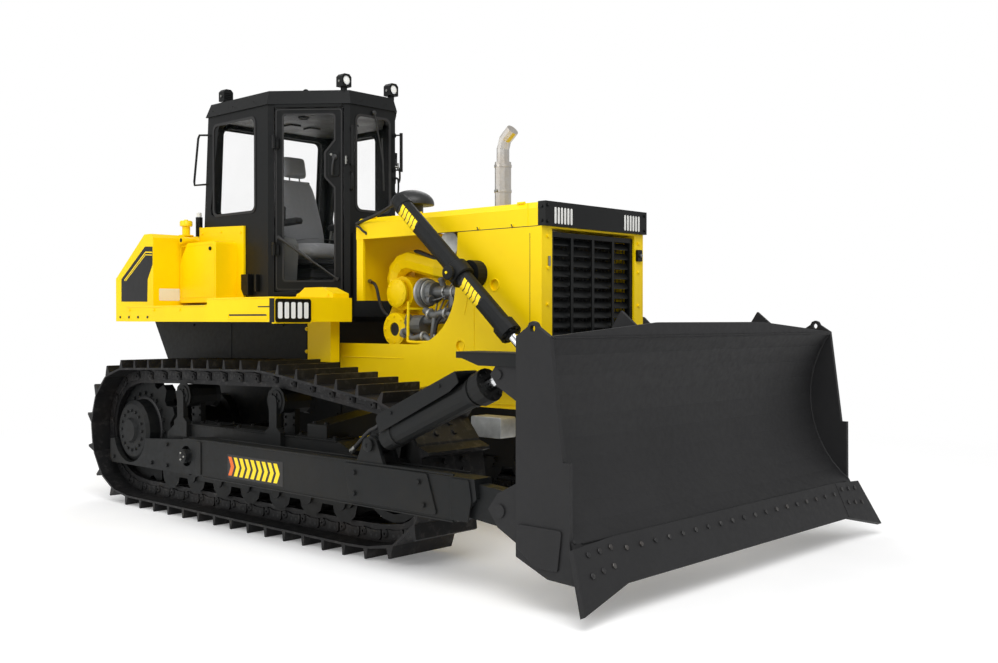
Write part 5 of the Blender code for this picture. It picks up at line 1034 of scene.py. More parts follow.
def chevron_field(shape_back, shape_front, shape_first, place, low, high, left, right, count, slope, depth):
    """Row of forward-pointing chevrons on a dark field; the first bar goes to its own bmesh."""
    plate(shape_back, rect(left, low, right, high), -0.0002, depth, place)
    middle = (low + high) / 2
    margin = (high - low) * 0.1
    pitch = (right - left - slope - margin) / count
    bar = pitch * 0.6
    for k in range(count):
        x = left + margin * 0.6 + pitch * k
        target = shape_first if k == 0 else shape_front
        for y0, y1 in ((low + margin, middle), (middle, high - margin)):
            if y0 < middle:
                outline = [(x, y0), (x + bar, y0), (x + bar + slope, middle), (x + slope, middle)]
            else:
                outline = [(x + slope, middle), (x + bar + slope, middle), (x + bar, y1), (x, y1)]
            plate(target, outline, depth * 0.5, depth + 0.0006, place)


def brace_line(side):
    """Foot, direction and length of the sloping brace above an arm."""
    foot = world(BRACE_FOOT[0], side * ARM_Y, BRACE_FOOT[1])
    head = world(BRACE_HEAD[0], side * ARM_Y, BRACE_HEAD[1])
    return foot, (head - foot).normalized(), (head - foot).length


class BULLDOZER_OT_arms(bpy.types.Operator):
    """Push arm plates, pins, welds and stripes, and the two braces' fittings"""
    bl_idname = "bulldozer.arms"
    bl_label = "Push arms"

    def execute(self, context):
        for side, name in SIDES:
            for part in (self.add_plates, self.add_pins, self.add_stripes):
                part(side, name, BODY_OF_ARM[name])
        self.add_tilt_cylinder()
        self.add_brace()
        return {"FINISHED"}

    def add_plates(self, side, name, body):
        """Splice and end plates, weld runs, pin boss and bolts of the arm."""
        place = side_place(side, ARM_FACE)
        shape = bmesh.new()
        for outline, radius, thick in (
            ([(2.92, 0.6), (2.98, 0.385), (3.7, 0.385), (3.62, 0.6)], 0.015, 0.01),
            (rect(1.34, 0.375, 1.4, 0.6), 0.01, 0.008),
            ([(3.8, 0.375), (3.93, 0.375), (3.955, 0.49), (3.935, 0.595), (3.8, 0.595)], 0.012, 0.008),
        ):
            plate(shape, soft_corners(outline, radius, 2), -0.001, thick, place)
        close(f"arm_plates_{name}", shape, "charcoal", body=body, bevel=0.003)
        shape = bmesh.new()
        for z in (0.3655, 0.6115):
            for face in (-1, 1):
                y = side * (ARM_Y + face * 0.0655)
                pipe(shape, spots((1.42, y, z), (2.6, y, z), (3.82, y, z)), 0.006, 6)
        close(f"arm_welds_{name}", shape, "charcoal", body=body, smooth=True)
        turned(f"arm_boss_{name}",
               [(0.03, -0.002), (0.062, -0.002), (0.062, 0.01), (0.056, 0.014), (0.034, 0.014),
                (0.03, 0.01)], world(4.161, side * (ARM_Y + 0.0405), 0.465), (0, side, 0), "charcoal", 28,
               body=body)
        heads = [(world(x, side * (ARM_FACE + 0.01), z), (0, side, 0))
                 for x, z in ((3.02, 0.43), (3.02, 0.55), (3.6, 0.43), (3.56, 0.55))]
        bolts(f"arm_bolts_{name}", heads, "charcoal", body=body, size=0.024)

    def add_pins(self, side, name, body):
        """Trunnion keeper with its bolts, and the heads of the pin at the brace's foot."""
        point = world(TRUNNION[0], side * (ARM_Y + 0.088), TRUNNION[1])
        turned(f"trunnion_plate_{name}", capped((0.044, -0.0005), (0.044, 0.007), (0.036, 0.01)), point,
               (0, side, 0), "charcoal", 28, body="lift_carrier")
        bolts(f"trunnion_bolts_{name}", ring_of(point + Vector((0, side * 0.01, 0)), (0, side, 0), 0.026, 3),
              "zinc", body="lift_carrier", size=0.014, washer=False)
        for face, tag in ((1, "outer"), (-1, "inner")):
            point = world(BRACE_FOOT[0], side * (ARM_Y + face * 0.072), BRACE_FOOT[1])
            turned(f"foot_pin_{tag}_{name}",
                   capped((0.038, 0), (0.038, 0.008), (0.03, 0.013), (0.012, 0.013), (0.01, 0.009)), point,
                   (0, side * face, 0), "charcoal", 24, body=body)

    def add_stripes(self, side, name, body):
        """Warning chevrons on the arm's outer face, the first bar orange."""
        place = side_place(side, ARM_FACE)
        back, front, first = bmesh.new(), bmesh.new(), bmesh.new()
        chevron_field(back, front, first, place, 0.392, 0.545, 1.715, 2.32, 9, 0.03, 0.0012)
        close(f"arm_stripe_field_{name}", back, "stripe_black", body=body)
        close(f"arm_stripes_{name}", front, "stripe_yellow", body=body)
        close(f"arm_first_stripe_{name}", first, "stripe_orange", body=body)

    def add_tilt_cylinder(self):
        """Clamp bands, guard sides, gland bolts and tail hose of the tilt cylinder."""
        foot, along, reach = brace_line(RIGHT)
        up = Vector((-along.z, 0, along.x))
        shape = bmesh.new()
        for share in (0.17, 0.76):
            lathe(shape, [(0.0715, -0.014), (0.078, -0.012), (0.078, 0.012), (0.0715, 0.014)],
                  frame_at(foot + along * reach * share, along), 32)
        close("tilt_bands", shape, "charcoal", body="tilt_barrel", smooth=True)
        side_axis = Vector(TO_THE_RIGHT)
        place = Matrix((
            (along.x, up.x, side_axis.x, foot.x),
            (along.y, up.y, side_axis.y, foot.y),
            (along.z, up.z, side_axis.z, foot.z),
            (0, 0, 0, 1),
        ))
        shape = bmesh.new()
        start, end = 0.115 * reach, 0.744 * reach
        outline = [(start, 0.03), (end - 0.08, 0.046), (end, 0.066), (end, 0.1305), (start + 0.02, 0.1305),
                   (start, 0.11)]
        for low, high in ((0.0745, 0.0825), (-0.0825, -0.0745)):
            plate(shape, outline, low, high, place)
        close("tilt_guard_sides", shape, "charcoal", body="tilt_barrel", bevel=0.002)
        heads = [(place @ Vector((x, 0.1, 0.0825)), side_axis) for x in (0.24 * reach, 0.62 * reach)]
        bolts("tilt_guard_bolts", heads, "charcoal", body="tilt_barrel", size=0.016)
        heads = ring_of(foot + along * (reach * 0.8655), along, 0.07, 8)
        bolts("tilt_gland_bolts", heads, "charcoal", body="tilt_barrel", size=0.018, washer=False)
        port = foot + along * 0.15 + up * 0.07
        hose("tilt_hose_rear", [port, port + up * 0.025, port + up * 0.032 - along * 0.05,
                                foot - along * 0.03 + up * 0.105 + Vector((0, 0.04, 0)),
                                foot + Vector((-0.16, 0.06, 0.05)), foot + Vector((-0.3, 0.055, -0.07))],
                               body="tilt_barrel", diameter=0.026)

    def add_brace(self):
        """The left strut's two lock nuts."""
        foot, along, reach = brace_line(LEFT)
        shape = bmesh.new()
        for share in (0.22, 0.78):
            lathe(shape, rect(0.0496, -0.03, 0.06, 0.03), frame_at(foot + along * (reach * share), along), 8)
        close("strut_nuts", shape, "charcoal", body="blade", bevel=0.002)


MOLDBOARD_TOP = Vector((4.504, 1.343))
MOLDBOARD_LOW = Vector((4.64, 0.36))
EDGE_TIP = Vector((4.742, 0.142))
MOLDBOARD_RADIUS = 0.7
BLADE_HALF = 1.475


def moldboard_centre():
    """Centre, in the side view, of the arc that the blade's face follows."""
    chord = MOLDBOARD_LOW - MOLDBOARD_TOP
    outward = Vector((-chord.y, chord.x)).normalized()
    away = math.sqrt(MOLDBOARD_RADIUS ** 2 - (chord.length / 2) ** 2)
    return (MOLDBOARD_TOP + MOLDBOARD_LOW) / 2 + outward * away


def moldboard_point(share, y, lift=0.0):
    """Point on the blade's curved face, from its top (0) to its foot (1)."""
    centre = moldboard_centre()
    start = math.atan2(MOLDBOARD_TOP.y - centre.y, MOLDBOARD_TOP.x - centre.x)
    end = math.atan2(MOLDBOARD_LOW.y - centre.y, MOLDBOARD_LOW.x - centre.x)
    angle = start + ((end - start) % math.tau) * share
    radius = MOLDBOARD_RADIUS - lift
    return world(centre.x + radius * math.cos(angle), y, centre.y + radius * math.sin(angle))


def moldboard_x(z):
    """Station of the blade's face at a height."""
    centre = moldboard_centre()
    return centre.x - math.sqrt(MOLDBOARD_RADIUS ** 2 - (z - centre.y) ** 2)


def edge_place(y, up, lift):
    """Point on the sloping cutting edge's front face."""
    along = (MOLDBOARD_LOW - EDGE_TIP).normalized()
    out = Vector((along.y, -along.x))
    spot = EDGE_TIP + along * up + out * lift
    return world(spot.x, y, spot.y), Vector((out.x, 0, out.y))


class BULLDOZER_OT_blade(bpy.types.Operator):
    """Edge bolts, weld runs, rod hood, back ribs and lift pin heads of the blade"""
    bl_idname = "bulldozer.blade"
    bl_label = "Blade"

    def execute(self, context):
        heads = [edge_place(-1.12 + 2.24 * k / 18, 0.165, 0.0283) for k in range(19)]
        bolts("edge_bolts", heads, "edge_steel", body="blade", size=0.024, height=0.008, washer=False)
        heads = [edge_place(side * y, up, 0.0303) for side in (RIGHT, LEFT) for y, up in (
            (1.24, 0.185), (1.33, 0.18), (1.42, 0.175), (1.26, 0.095), (1.35, 0.085), (1.44, 0.075))]
        bolts("bit_bolts", heads, "edge_steel", body="blade", size=0.026, height=0.008, washer=False)
        self.add_seams()
        self.add_rod_hood()
        self.add_back()
        return {"FINISHED"}

    def add_rod_hood(self):
        """Flanged plate on the blade's back, over the tilt cylinder's rod."""
        place = side_place(RIGHT, ARM_Y)
        shape = bmesh.new()
        plate(shape, rect(3.86, 1.25, 4.3, 1.262), -0.09, 0.09, place)
        flange = [(3.86, 1.228), (3.9, 1.228), (4.02, 1.192), (4.3, 1.192), (4.3, 1.255), (3.86, 1.255)]
        for low, high in ((-0.09, -0.08), (0.08, 0.09)):
            plate(shape, flange, low, high, place)
        close("rod_hood", shape, "charcoal", body="blade", bevel=0.002)

    def add_seams(self):
        """Welds round the moldboard, and the wear plates on the blade's ends."""
        shape = bmesh.new()
        for side in (RIGHT, LEFT):
            pipe(shape, [moldboard_point(k / 14, side * (BLADE_HALF - 0.027), 0.002) for k in range(15)],
                 0.007, 6)
        for x, z, end in ((4.506, 1.338, 1.44), (4.642, 0.357, 1.4)):
            pipe(shape, [world(x, y, z) for y in (-end, -0.5, 0.5, end)], 0.005, 6)
        close("blade_welds", shape, "blade", body="blade", smooth=True)
        shape = bmesh.new()
        outline = soft_corners([(4.3, 0.3), (4.42, 0.22), (4.56, 0.22), (4.585, 0.42), (4.3, 0.42)], 0.015, 2)
        for side in (RIGHT, LEFT):
            plate(shape, outline, -0.001, 0.01, side_place(side, BLADE_HALF))
        close("blade_wear_plates", shape, "blade", body="blade", bevel=0.003)

    def add_back(self):
        """Stiffening ribs behind the moldboard, and the heads of the lift cylinders' pins."""
        outline = [(moldboard_x(z) - 0.018, z) for z in (0.598, 0.74, 0.88, 1.035)]
        outline += [(4.3, 1.035), (4.335, 0.93), (4.335, 0.7), (4.3, 0.598)]
        shape = bmesh.new()
        for y in (-1.18, -0.92, -0.36, 0.0, 0.36, 0.92, 1.18):
            plate(shape, outline, -0.008, 0.008, side_place(LEFT, y))
        close("blade_ribs", shape, "blade", body="blade", bevel=0.002)
        shape = bmesh.new()
        for side in (RIGHT, LEFT):
            for shift in (-0.0925, 0.0925):
                head = world(LIFT_PIN[0], side * LIFT_Y + shift, LIFT_PIN[1])
                lathe(shape, rect(0, -0.004, 0.04, 0.004), frame_at(head, (0, 1, 0)), 24)
        close("lift_pin_heads", shape, "zinc", body="blade", smooth=True)


class BULLDOZER_OT_lift(bpy.types.Operator):
    """Bands, stripes and pipes of the two lift cylinders"""
    bl_idname = "bulldozer.lift"
    bl_label = "Lift cylinders"

    def execute(self, context):
        for side, name in SIDES:
            for part in (self.add_barrel, self.add_stripes, self.add_pipe):
                part(side, name, f"lift_barrel_{name}")
        return {"FINISHED"}

    def line(self, side):
        """Pivot of a cylinder, its direction and the direction across it, upward."""
        pivot = world(YOKE[0], side * LIFT_Y, YOKE[1])
        pin = world(LIFT_PIN[0], side * LIFT_Y, LIFT_PIN[1])
        along = (pin - pivot).normalized()
        return pivot, along, Vector((-along.z, 0, along.x))

    def add_barrel(self, side, name, body):
        """Bands at tail and pivot, gland with its bolts and wiper ring, pivot end and grease cap."""
        pivot, along, _ = self.line(side)
        shape = bmesh.new()
        lathe(shape, rect(0.0585, 0.0, 0.062, 0.035), frame_at(pivot + along * LIFT_TAIL, along), 32)
        lathe(shape, [(0.0725, -0.052), (0.08, -0.045), (0.08, 0.045), (0.0725, 0.052)],
              frame_at(pivot, along), 32)
        lathe(shape, [(0.031, 0.0), (0.044, 0.0), (0.044, 0.012), (0.036, 0.018), (0.031, 0.018)],
              frame_at(pivot + along * LIFT_GLAND, along), 24)
        close(f"lift_bands_{name}", shape, "charcoal", body=body, smooth=True)
        heads = ring_of(pivot + along * LIFT_GLAND, along, 0.055, 8)
        bolts(f"lift_gland_bolts_{name}", heads, "charcoal", body=body, size=0.016, washer=False)
        point = pivot + Vector((0, side * 0.093, 0))
        turned(f"trunnion_end_{name}",
               capped((0.045, -0.001), (0.045, 0.014), (0.038, 0.02), (0.018, 0.022)), point, (0, side, 0),
               "charcoal", 28, body=body)
        turned(f"grease_cap_{name}", [(0, 0), (0.009, 0), (0.009, 0.006), (0.005, 0.01), (0, 0.012)],
               point + Vector((0, side * 0.022, 0)), (0, side, 0), "stripe_yellow", 12, body=body)

    def add_stripes(self, side, name, body):
        """Two patches of warning chevrons wrapped round the barrel's outer side."""
        pivot, along, up = self.line(side)
        out = Vector((0, side, 0))
        field, bars = bmesh.new(), bmesh.new()

        def spot(s, turn, radius):
            return pivot + along * s + (out * math.cos(turn) + up * math.sin(turn)) * radius

        def wrapped(shape, rows, radius):
            """Strip between two runs of (station, turn) points."""
            low = [shape.verts.new(spot(s, t, radius)) for s, t in rows[0]]
            high = [shape.verts.new(spot(s, t, radius)) for s, t in rows[1]]
            for a, b, c, d in zip(low, low[1:], high[1:], high):
                shape.faces.new([a, b, c, d])

        first, last = math.radians(-58), math.radians(44)
        turns = [first + (last - first) * k / 14 for k in range(15)]
        middle = (first + last) / 2
        for start in DECAL_STARTS:
            wrapped(field, [[(start, t) for t in turns], [(start + DECAL_LENGTH, t) for t in turns]],
                    DECAL_RADIUS)
            for k in range(5):
                rise = [start + 0.01 + 0.038 * k + 0.022 * (1 - abs(t - middle) / (last - middle))
                        for t in turns[1:-1]]
                wrapped(bars, [list(zip(rise, turns[1:-1])),
                               list(zip([r + 0.03 for r in rise], turns[1:-1]))], DECAL_RADIUS + 0.0004)
        close(f"lift_stripe_field_{name}", field, "stripe_black", body=body, smooth=True)
        close(f"lift_stripes_{name}", bars, "stripe_yellow", body=body, smooth=True)

    def add_pipe(self, side, name, body):
        """Pressure pipe along the barrel's inner side."""
        pivot, along, up = self.line(side)
        inward = Vector((0, -side, 0))
        offset = up * -0.02 + inward * 0.078
        start, end = pivot + along * -0.58, pivot + along * 0.52
        shape = bmesh.new()
        run = [end + inward * 0.055, end + offset, end - along * 0.06 + offset, start + offset]
        pipe(shape, smooth_path(run), 0.01, 10)
        close(f"lift_pipe_{name}", shape, "charcoal", body=body, smooth=True)


# Bonnet and cooling

GUARD_FACE = 0.5175
GUARD_HOLES = ((3.244, 1.643), (2.941, 1.258))
LATCH_STATIONS = (3.105, 3.395)
HEADER_X = 3.66


class BULLDOZER_OT_hood(bpy.types.Operator):
    """Seams, latches, bolts, rims and tail hoses of the hood, side guards, header and grille"""
    bl_idname = "bulldozer.hood"
    bl_label = "Hood and guards"

    def execute(self, context):
        self.add_header()
        for side, name in SIDES:
            self.add_side(side, name)
            self.add_tail_hoses(side, name)
        self.add_grille()
        return {"FINISHED"}

    def add_header(self):
        """Two groups of six pale slots and the bolts of the header panel."""
        place = front_place(HEADER_X)
        shape = bmesh.new()
        for left, right in ((-0.44, -0.258), (0.262, 0.442)):
            step = (right - left) / 6
            for k in range(6):
                y = left + step * (k + 0.5)
                outline = soft_rect(y - 0.009, 2.005, y + 0.009, 2.105, 0.008, 4)
                plate(shape, outline, -0.001, 0.0012, place)
        close("header_slots", shape, "plate_white")
        heads = [(world(HEADER_X, y, z), FORWARD) for y in (-0.495, 0.495) for z in (2.015, 2.112)]
        heads += [(world(3.63, side * GUARD_FACE, z), (0, side, 0)) for side in (RIGHT, LEFT)
                  for z in (2.02, 2.105)]
        bolts("header_bolts", heads, "black", size=0.016)

    def add_side(self, side, name):
        """Hood latches, joint and seams, hole rims, hinges and the bolts along the sill."""
        face = side * GUARD_FACE
        shape = bmesh.new()
        place = side_place(side, GUARD_FACE)
        for x in LATCH_STATIONS:
            plate(shape, soft_rect(x - 0.01, 1.996, x + 0.01, 2.014, 0.003, 2), -0.001, 0.006, place)
        close(f"hood_latches_{name}", shape, "yellow", bevel=0.0015)
        shape = bmesh.new()
        for x in LATCH_STATIONS:
            pipe(shape, spots((x - 0.006, face + side * 0.007, 2.01),
                              (x + 0.006, face + side * 0.009, 1.992)), 0.003, 8)
        close(f"latch_hooks_{name}", shape, "dark_iron_and_shade", smooth=True)
        shape = bmesh.new()
        for x, low, high in ((3.067, 1.24, 1.8), (3.52, 1.995, 2.132)):
            pipe(shape, spots((x, face, low), (x, face, high)), 0.0035, 6)
        pipe(shape, smooth_path([world(2.98 + 0.03 * math.sin(t), face, 1.46 + 0.28 * t / 3)
                                 for t in (0.0, 0.75, 1.5, 2.25, 3.0)]), 0.0035, 6)
        pipe(shape, spots((1.76, face, 1.165), (2.4, face, 1.165)), 0.004, 6)
        close(f"guard_seams_{name}", shape, "yellow", smooth=True)
        shape = bmesh.new()
        for outline in (rect(2.72, 1.9885, 3.6, 1.9925), rect(3.5355, 1.3, 3.5385, 1.95)):
            plate(shape, outline, -0.001, 0.0012, place)
        close(f"hood_joint_{name}", shape, "seal")
        shape = bmesh.new()
        for x, z in GUARD_HOLES:
            lathe(shape, [(0.0345, -0.012), (0.0345, 0.002), (0.039, 0.003), (0.041, 0.0), (0.041, -0.003)],
                  frame_at(world(x, face, z), (0, side, 0)), 32)
        close(f"guard_hole_rims_{name}", shape, "yellow", smooth=True)
        shape = bmesh.new()
        for x, z in GUARD_HOLES:
            lathe(shape, rect(0, -0.017, 0.036, -0.014), frame_at(world(x, face, z), (0, side, 0)), 24)
        close(f"guard_hole_backs_{name}", shape, "yellow")
        sill = ((1.83, 1.035), (2.05, 1.005), (2.22, 0.965), (2.3, 0.96), (2.8, 1.035), (3.05, 1.06),
                (3.28, 1.08))
        heads = [(world(x, face, z), (0, side, 0)) for x, z in sill]
        heads += [(world(x, face, 2.025), (0, side, 0)) for x in (2.02, 2.6)]
        bolts(f"guard_bolts_{name}", heads, "dark_iron_and_shade", size=0.014, washer=False)
        shape = bmesh.new()
        for x in (2.06, 2.52, 3.44):
            hinge = world(x, face - side * 0.03, 2.14)
            lathe(shape, rect(0, -0.03, 0.007, 0.03), frame_at(hinge, FORWARD), 10)
        close(f"hood_top_hinges_{name}", shape, "yellow", smooth=True)

    def add_tail_hoses(self, side, name):
        """Long hose from the hood's rear corner toward the lift cylinder, and a short one into the guard."""
        shape = bmesh.new()
        long_run = ((1.925, 0.526, 2.1), (2.03, 0.535, 2.122), (2.2, 0.56, 2.15), (2.38, 0.61, 2.186),
                    (2.48, 0.645, 2.202), (2.551, 0.655, 2.195))
        short_run = ((1.925, 0.53, 2.084), (1.965, 0.534, 2.072), (2.0, 0.534, 2.046), (2.02, 0.516, 2.03))
        pipe(shape, smooth_path([world(x, side * y, z) for x, y, z in long_run]), 0.0115, 12)
        pipe(shape, smooth_path([world(x, side * y, z) for x, y, z in short_run]), 0.008, 12)
        close(f"tail_hoses_{name}", shape, "rubber", smooth=True)

    def add_grille(self):
        """Latch and hinge pins on the grille's frame, upright rods across it, and the filler lid."""
        slab("grille_latch", soft_rect(0.435, 1.812, 0.488, 1.888, 0.008, 3), -0.003, 0.016,
             front_place(3.632), "black", bevel=0.002)
        shape = bmesh.new()
        lathe(shape, capped((0.012, 0), (0.012, 0.012), (0.007, 0.016)),
              frame_at(world(3.648, 0.462, 1.85), FORWARD), 16)
        for z in (1.25, 1.78):
            lathe(shape, rect(0, -0.03, 0.009, 0.03), frame_at(world(3.634, -0.452, z), UPWARD), 12)
        close("grille_hinges", shape, "zinc", smooth=True)
        heads = [(world(3.63, side * 0.462, z), FORWARD) for side in (RIGHT, LEFT)
                 for z in (1.08, 1.3, 1.52, 1.74, 1.93)]
        bolts("guard_face_bolts", heads, "yellow", size=0.018)
        shape = bmesh.new()
        for y in [-0.4 + 0.8 * k / 21 for k in range(22)]:
            pipe(shape, spots((3.577, y, 1.085), (3.577, y, 1.952)), 0.0022, 6)
        close("grille_rods", shape, "black")
        turned("filler_lid", capped((0.05, 0), (0.05, 0.01), (0.04, 0.016), (0.014, 0.018)),
               world(3.44, 0.2, 2.14), UPWARD, "black", 28)


PIPE_X = 2.838
PIPE_RADIUS = 0.0565
INTAKE = (2.2, -0.25)


class BULLDOZER_OT_stack(bpy.types.Operator):
    """Bands, collar and bolts of the exhaust, and the band and dome of the air intake"""
    bl_idname = "bulldozer.stack"
    bl_label = "Exhaust and intake"

    def execute(self, context):
        shape = bmesh.new()
        for z in (2.185, 2.3, 2.47):
            lathe(shape, rect(PIPE_RADIUS - 0.001, -0.009, PIPE_RADIUS + 0.0035, 0.009),
                  frame_at(world(PIPE_X, 0, z), UPWARD), 36)
        lathe(shape, [(PIPE_RADIUS, 0), (0.105, 0), (0.1, 0.01), (0.062, 0.02), (PIPE_RADIUS, 0.05)],
              frame_at(world(PIPE_X, 0, 2.139), UPWARD), 36)
        close("exhaust_bands", shape, "stainless", smooth=True)
        heads = ring_of(world(PIPE_X, 0, 2.148), UPWARD, 0.086, 6)
        heads += [(world(PIPE_X, -0.062, 2.3), TO_THE_RIGHT)]
        bolts("exhaust_bolts", heads, "zinc", size=0.014)
        turned("intake_bands", rect(0.048, -0.145, 0.054, -0.12), world(*INTAKE, 2.29), UPWARD, "black", 32)
        rim, deep, neck, foot = 0.155, 0.098, 0.0775, -0.1995
        dome = [(rim * math.sin(math.radians(a)), deep * (math.cos(math.radians(a)) - 1))
                for a in range(0, 91, 6)]
        dome += [(rim, -deep - 0.008), (rim - 0.004, -deep - 0.011), (neck, -deep - 0.011), (neck, foot),
                 (0, foot)]
        cap = turned("intake_dome", dome, world(*INTAKE, 2.338), UPWARD, "dark_trim", 64)
        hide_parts("precleaner")
        return {"FINISHED"}


TURBO_LINE = (-0.36, 1.61)
STARTER = (2.34, -0.4, 1.405)
STARTER_AXIS = (-0.35, -1, 0)


class BULLDOZER_OT_engine(bpy.types.Operator):
    """Pipes, flanges, bolts, hoses and covers of the open engine"""
    bl_idname = "bulldozer.engine"
    bl_label = "Engine"

    def execute(self, context):
        for part in (self.add_covers, self.add_pipes, self.add_turbo, self.add_bell, self.add_frame,
                     self.add_air_cleaner):
            part()
        for side, name in SIDES:
            self.add_hoses(side, name)
        return {"FINISHED"}

    def add_covers(self):
        """Rocker covers and the block's side doors, with their bolts."""
        shape = bmesh.new()
        heads = []
        for x in [2.2 + 0.185 * k for k in range(4)]:
            plate(shape, soft_rect(x - 0.08, -0.11, x + 0.08, 0.11, 0.025, 4), 1.818, 1.866, PLAN)
            heads += [(world(x, y, 1.866), UPWARD) for y in (-0.06, 0.06)]
        for side in (RIGHT, LEFT):
            for x in (2.62, 2.82):
                plate(shape, soft_rect(x - 0.08, 1.5, x + 0.08, 1.66, 0.03, 4), -0.001, 0.016,
                      side_place(side, 0.22))
                heads += [(world(x + dx, side * 0.236, z), (0, side, 0)) for dx in (-0.06, 0.06)
                          for z in (1.52, 1.64)]
        close("engine_covers", shape, "yellow", bevel=0.004)
        bolts("engine_cover_bolts", heads, "zinc", size=0.016)

    def add_pipes(self):
        """Five injection pipes, and the grey coolant tubes with their bolted flanges."""
        shape = bmesh.new()
        for k in range(5):
            x = 2.52 + 0.085 * k
            run = spots((x, -0.232, 1.7), (x + 0.01, -0.275, 1.66), (2.5 + 0.045 * k, -0.3, 1.52),
                        (2.46 + 0.03 * k, -0.285, 1.43))
            pipe(shape, smooth_path(run), 0.006, 8)
        close("injection_pipes", shape, "zinc", smooth=True)
        shape = bmesh.new()
        for radius, sides, run in (
            (0.022, 14, ((2.26, -0.4, 1.325), (2.33, -0.425, 1.345), (2.4, -0.43, 1.3),
                         (2.5, -0.42, 1.315),
                         (2.58, -0.415, 1.28), (2.7, -0.4, 1.3))),
            (0.026, 14, ((2.5, -0.405, 1.49), (2.6, -0.42, 1.455), (2.68, -0.425, 1.47),
                         (2.78, -0.4, 1.455))),
            (0.017, 12, ((2.58, -0.42, 1.28), (2.6, -0.43, 1.36), (2.61, -0.425, 1.44))),
        ):
            pipe(shape, smooth_path(spots(*run)), radius, sides)
        close("coolant_tubes", shape, "engine_grey", smooth=True)
        shape = bmesh.new()
        for x, y, z, axis, radius in ((2.3, -0.415, 1.335, (1, -0.2, 0.2), 0.034),
                                      (2.5, -0.42, 1.315, FORWARD, 0.033),
                                      (2.56, -0.417, 1.465, (1, 0, -0.3), 0.038),
                                      (2.72, -0.42, 1.468, FORWARD, 0.038),
                                      (2.66, -0.407, 1.29, FORWARD, 0.033)):
            lathe(shape, rect(0, -0.008, radius, 0.008), frame_at(world(x, y, z), axis), 20)
        close("tube_flanges", shape, "light_metal", smooth=True)
        heads = []
        for x, y, z, axis, radius in ((2.508, -0.42, 1.315, FORWARD, 0.026),
                                      (2.728, -0.42, 1.468, FORWARD, 0.03)):
            heads += ring_of(world(x, y, z), axis, radius, 5)
        bolts("tube_bolts", heads, "zinc", size=0.01, washer=False)

    def add_turbo(self):
        """Clamp band, bolt ring, actuator can and oil drain of the turbocharger."""
        shape = bmesh.new()
        centre = world(2.46, *TURBO_LINE)
        for band in ([(0.095, -0.022), (0.103, -0.018), (0.103, -0.004), (0.095, 0.0)],
                     [(0.071, 0.03), (0.086, 0.032), (0.086, 0.046), (0.071, 0.048)]):
            lathe(shape, band, frame_at(centre, FORWARD), 36)
        for x in (2.66, 2.74, 2.81):
            lathe(shape, rect(0.0415, -0.006, 0.0475, 0.006), frame_at(world(x, *TURBO_LINE), FORWARD), 28)
        close("turbo_bands", shape, "light_metal", smooth=True)
        heads = ring_of(centre + Vector((0.01, 0, 0)), FORWARD, 0.082, 12)
        heads += ring_of(world(2.668, *TURBO_LINE), FORWARD, 0.052, 6)
        bolts("turbo_bolts", heads, "zinc", size=0.013, washer=False)
        shape = bmesh.new()
        can = world(2.6, -0.44, 1.555)
        lathe(shape, [(0, 0), (0.03, 0), (0.034, 0.006), (0.034, 0.028), (0.024, 0.04), (0, 0.042)],
              frame_at(can, BACKWARD), 20)
        pipe(shape, [can, can + Vector((0.06, 0.01, 0.01)), can + Vector((0.1, 0.03, 0.03))], 0.005, 8)
        lathe(shape, capped((0.02, 0), (0.02, 0.05), (0.014, 0.055)),
              frame_at(world(2.67, -0.405, 1.655), (0, -0.5, 1)), 16)
        close("turbo_actuator", shape, "engine_grey", smooth=True)

    def add_bell(self):
        """Rims, caps and bolts of the flywheel bell's port, the starter and the pump, with dark discs of
        painted shade in the bell's and starter's openings.
        """
        shape = bmesh.new()
        port = world(2.06, -0.301, 1.383)
        lathe(shape, [(0.052, -0.004), (0.078, -0.004), (0.078, 0.012), (0.068, 0.018), (0.052, 0.018),
                      (0.052, -0.004)], frame_at(port, TO_THE_RIGHT), 32)
        close("bell_port_rim", shape, "yellow", smooth=True)
        # Dark disc filling the port: painted shade of the hole's depth.
        turned("bell_port", rect(0, 0, 0.0525, 0.002), port, TO_THE_RIGHT, "dark_iron_and_shade", 28)
        heads = ring_of(port + Vector((0, -0.018, 0)), TO_THE_RIGHT, 0.06, 6)
        nose = world(2.19, -0.41, 1.36)
        heads += ring_of(nose, TO_THE_RIGHT, 0.092, 8)
        bolts("bell_bolts", heads, "yellow", size=0.014)
        # Dark disc set back in the starter's opening: painted shade of its depth.
        turned("starter_port", rect(0, -0.012, 0.0478, -0.009), nose, TO_THE_RIGHT, "dark_iron_and_shade", 28)
        turned("starter_cap", capped((0.06, 0), (0.062, 0.006), (0.062, 0.016), (0.05, 0.022), (0.02, 0.024),
                                     (0.018, 0.034)), world(*STARTER), STARTER_AXIS, "engine_grey", 32)
        heads = ring_of(world(*STARTER) + Vector(STARTER_AXIS).normalized() * 0.021, STARTER_AXIS, 0.04, 6)
        bolts("starter_cap_bolts", heads, "zinc", size=0.011, washer=False)
        pump = world(2.2, -0.391, 1.61)
        turned("pump_cover", capped((0.1, -0.004), (0.1, 0.01), (0.088, 0.02), (0.03, 0.026)), pump,
               TO_THE_RIGHT, "yellow", 36)
        bolts("pump_bolts", ring_of(pump + Vector((0, -0.017, 0)), TO_THE_RIGHT, 0.08, 10), "yellow",
              size=0.013)

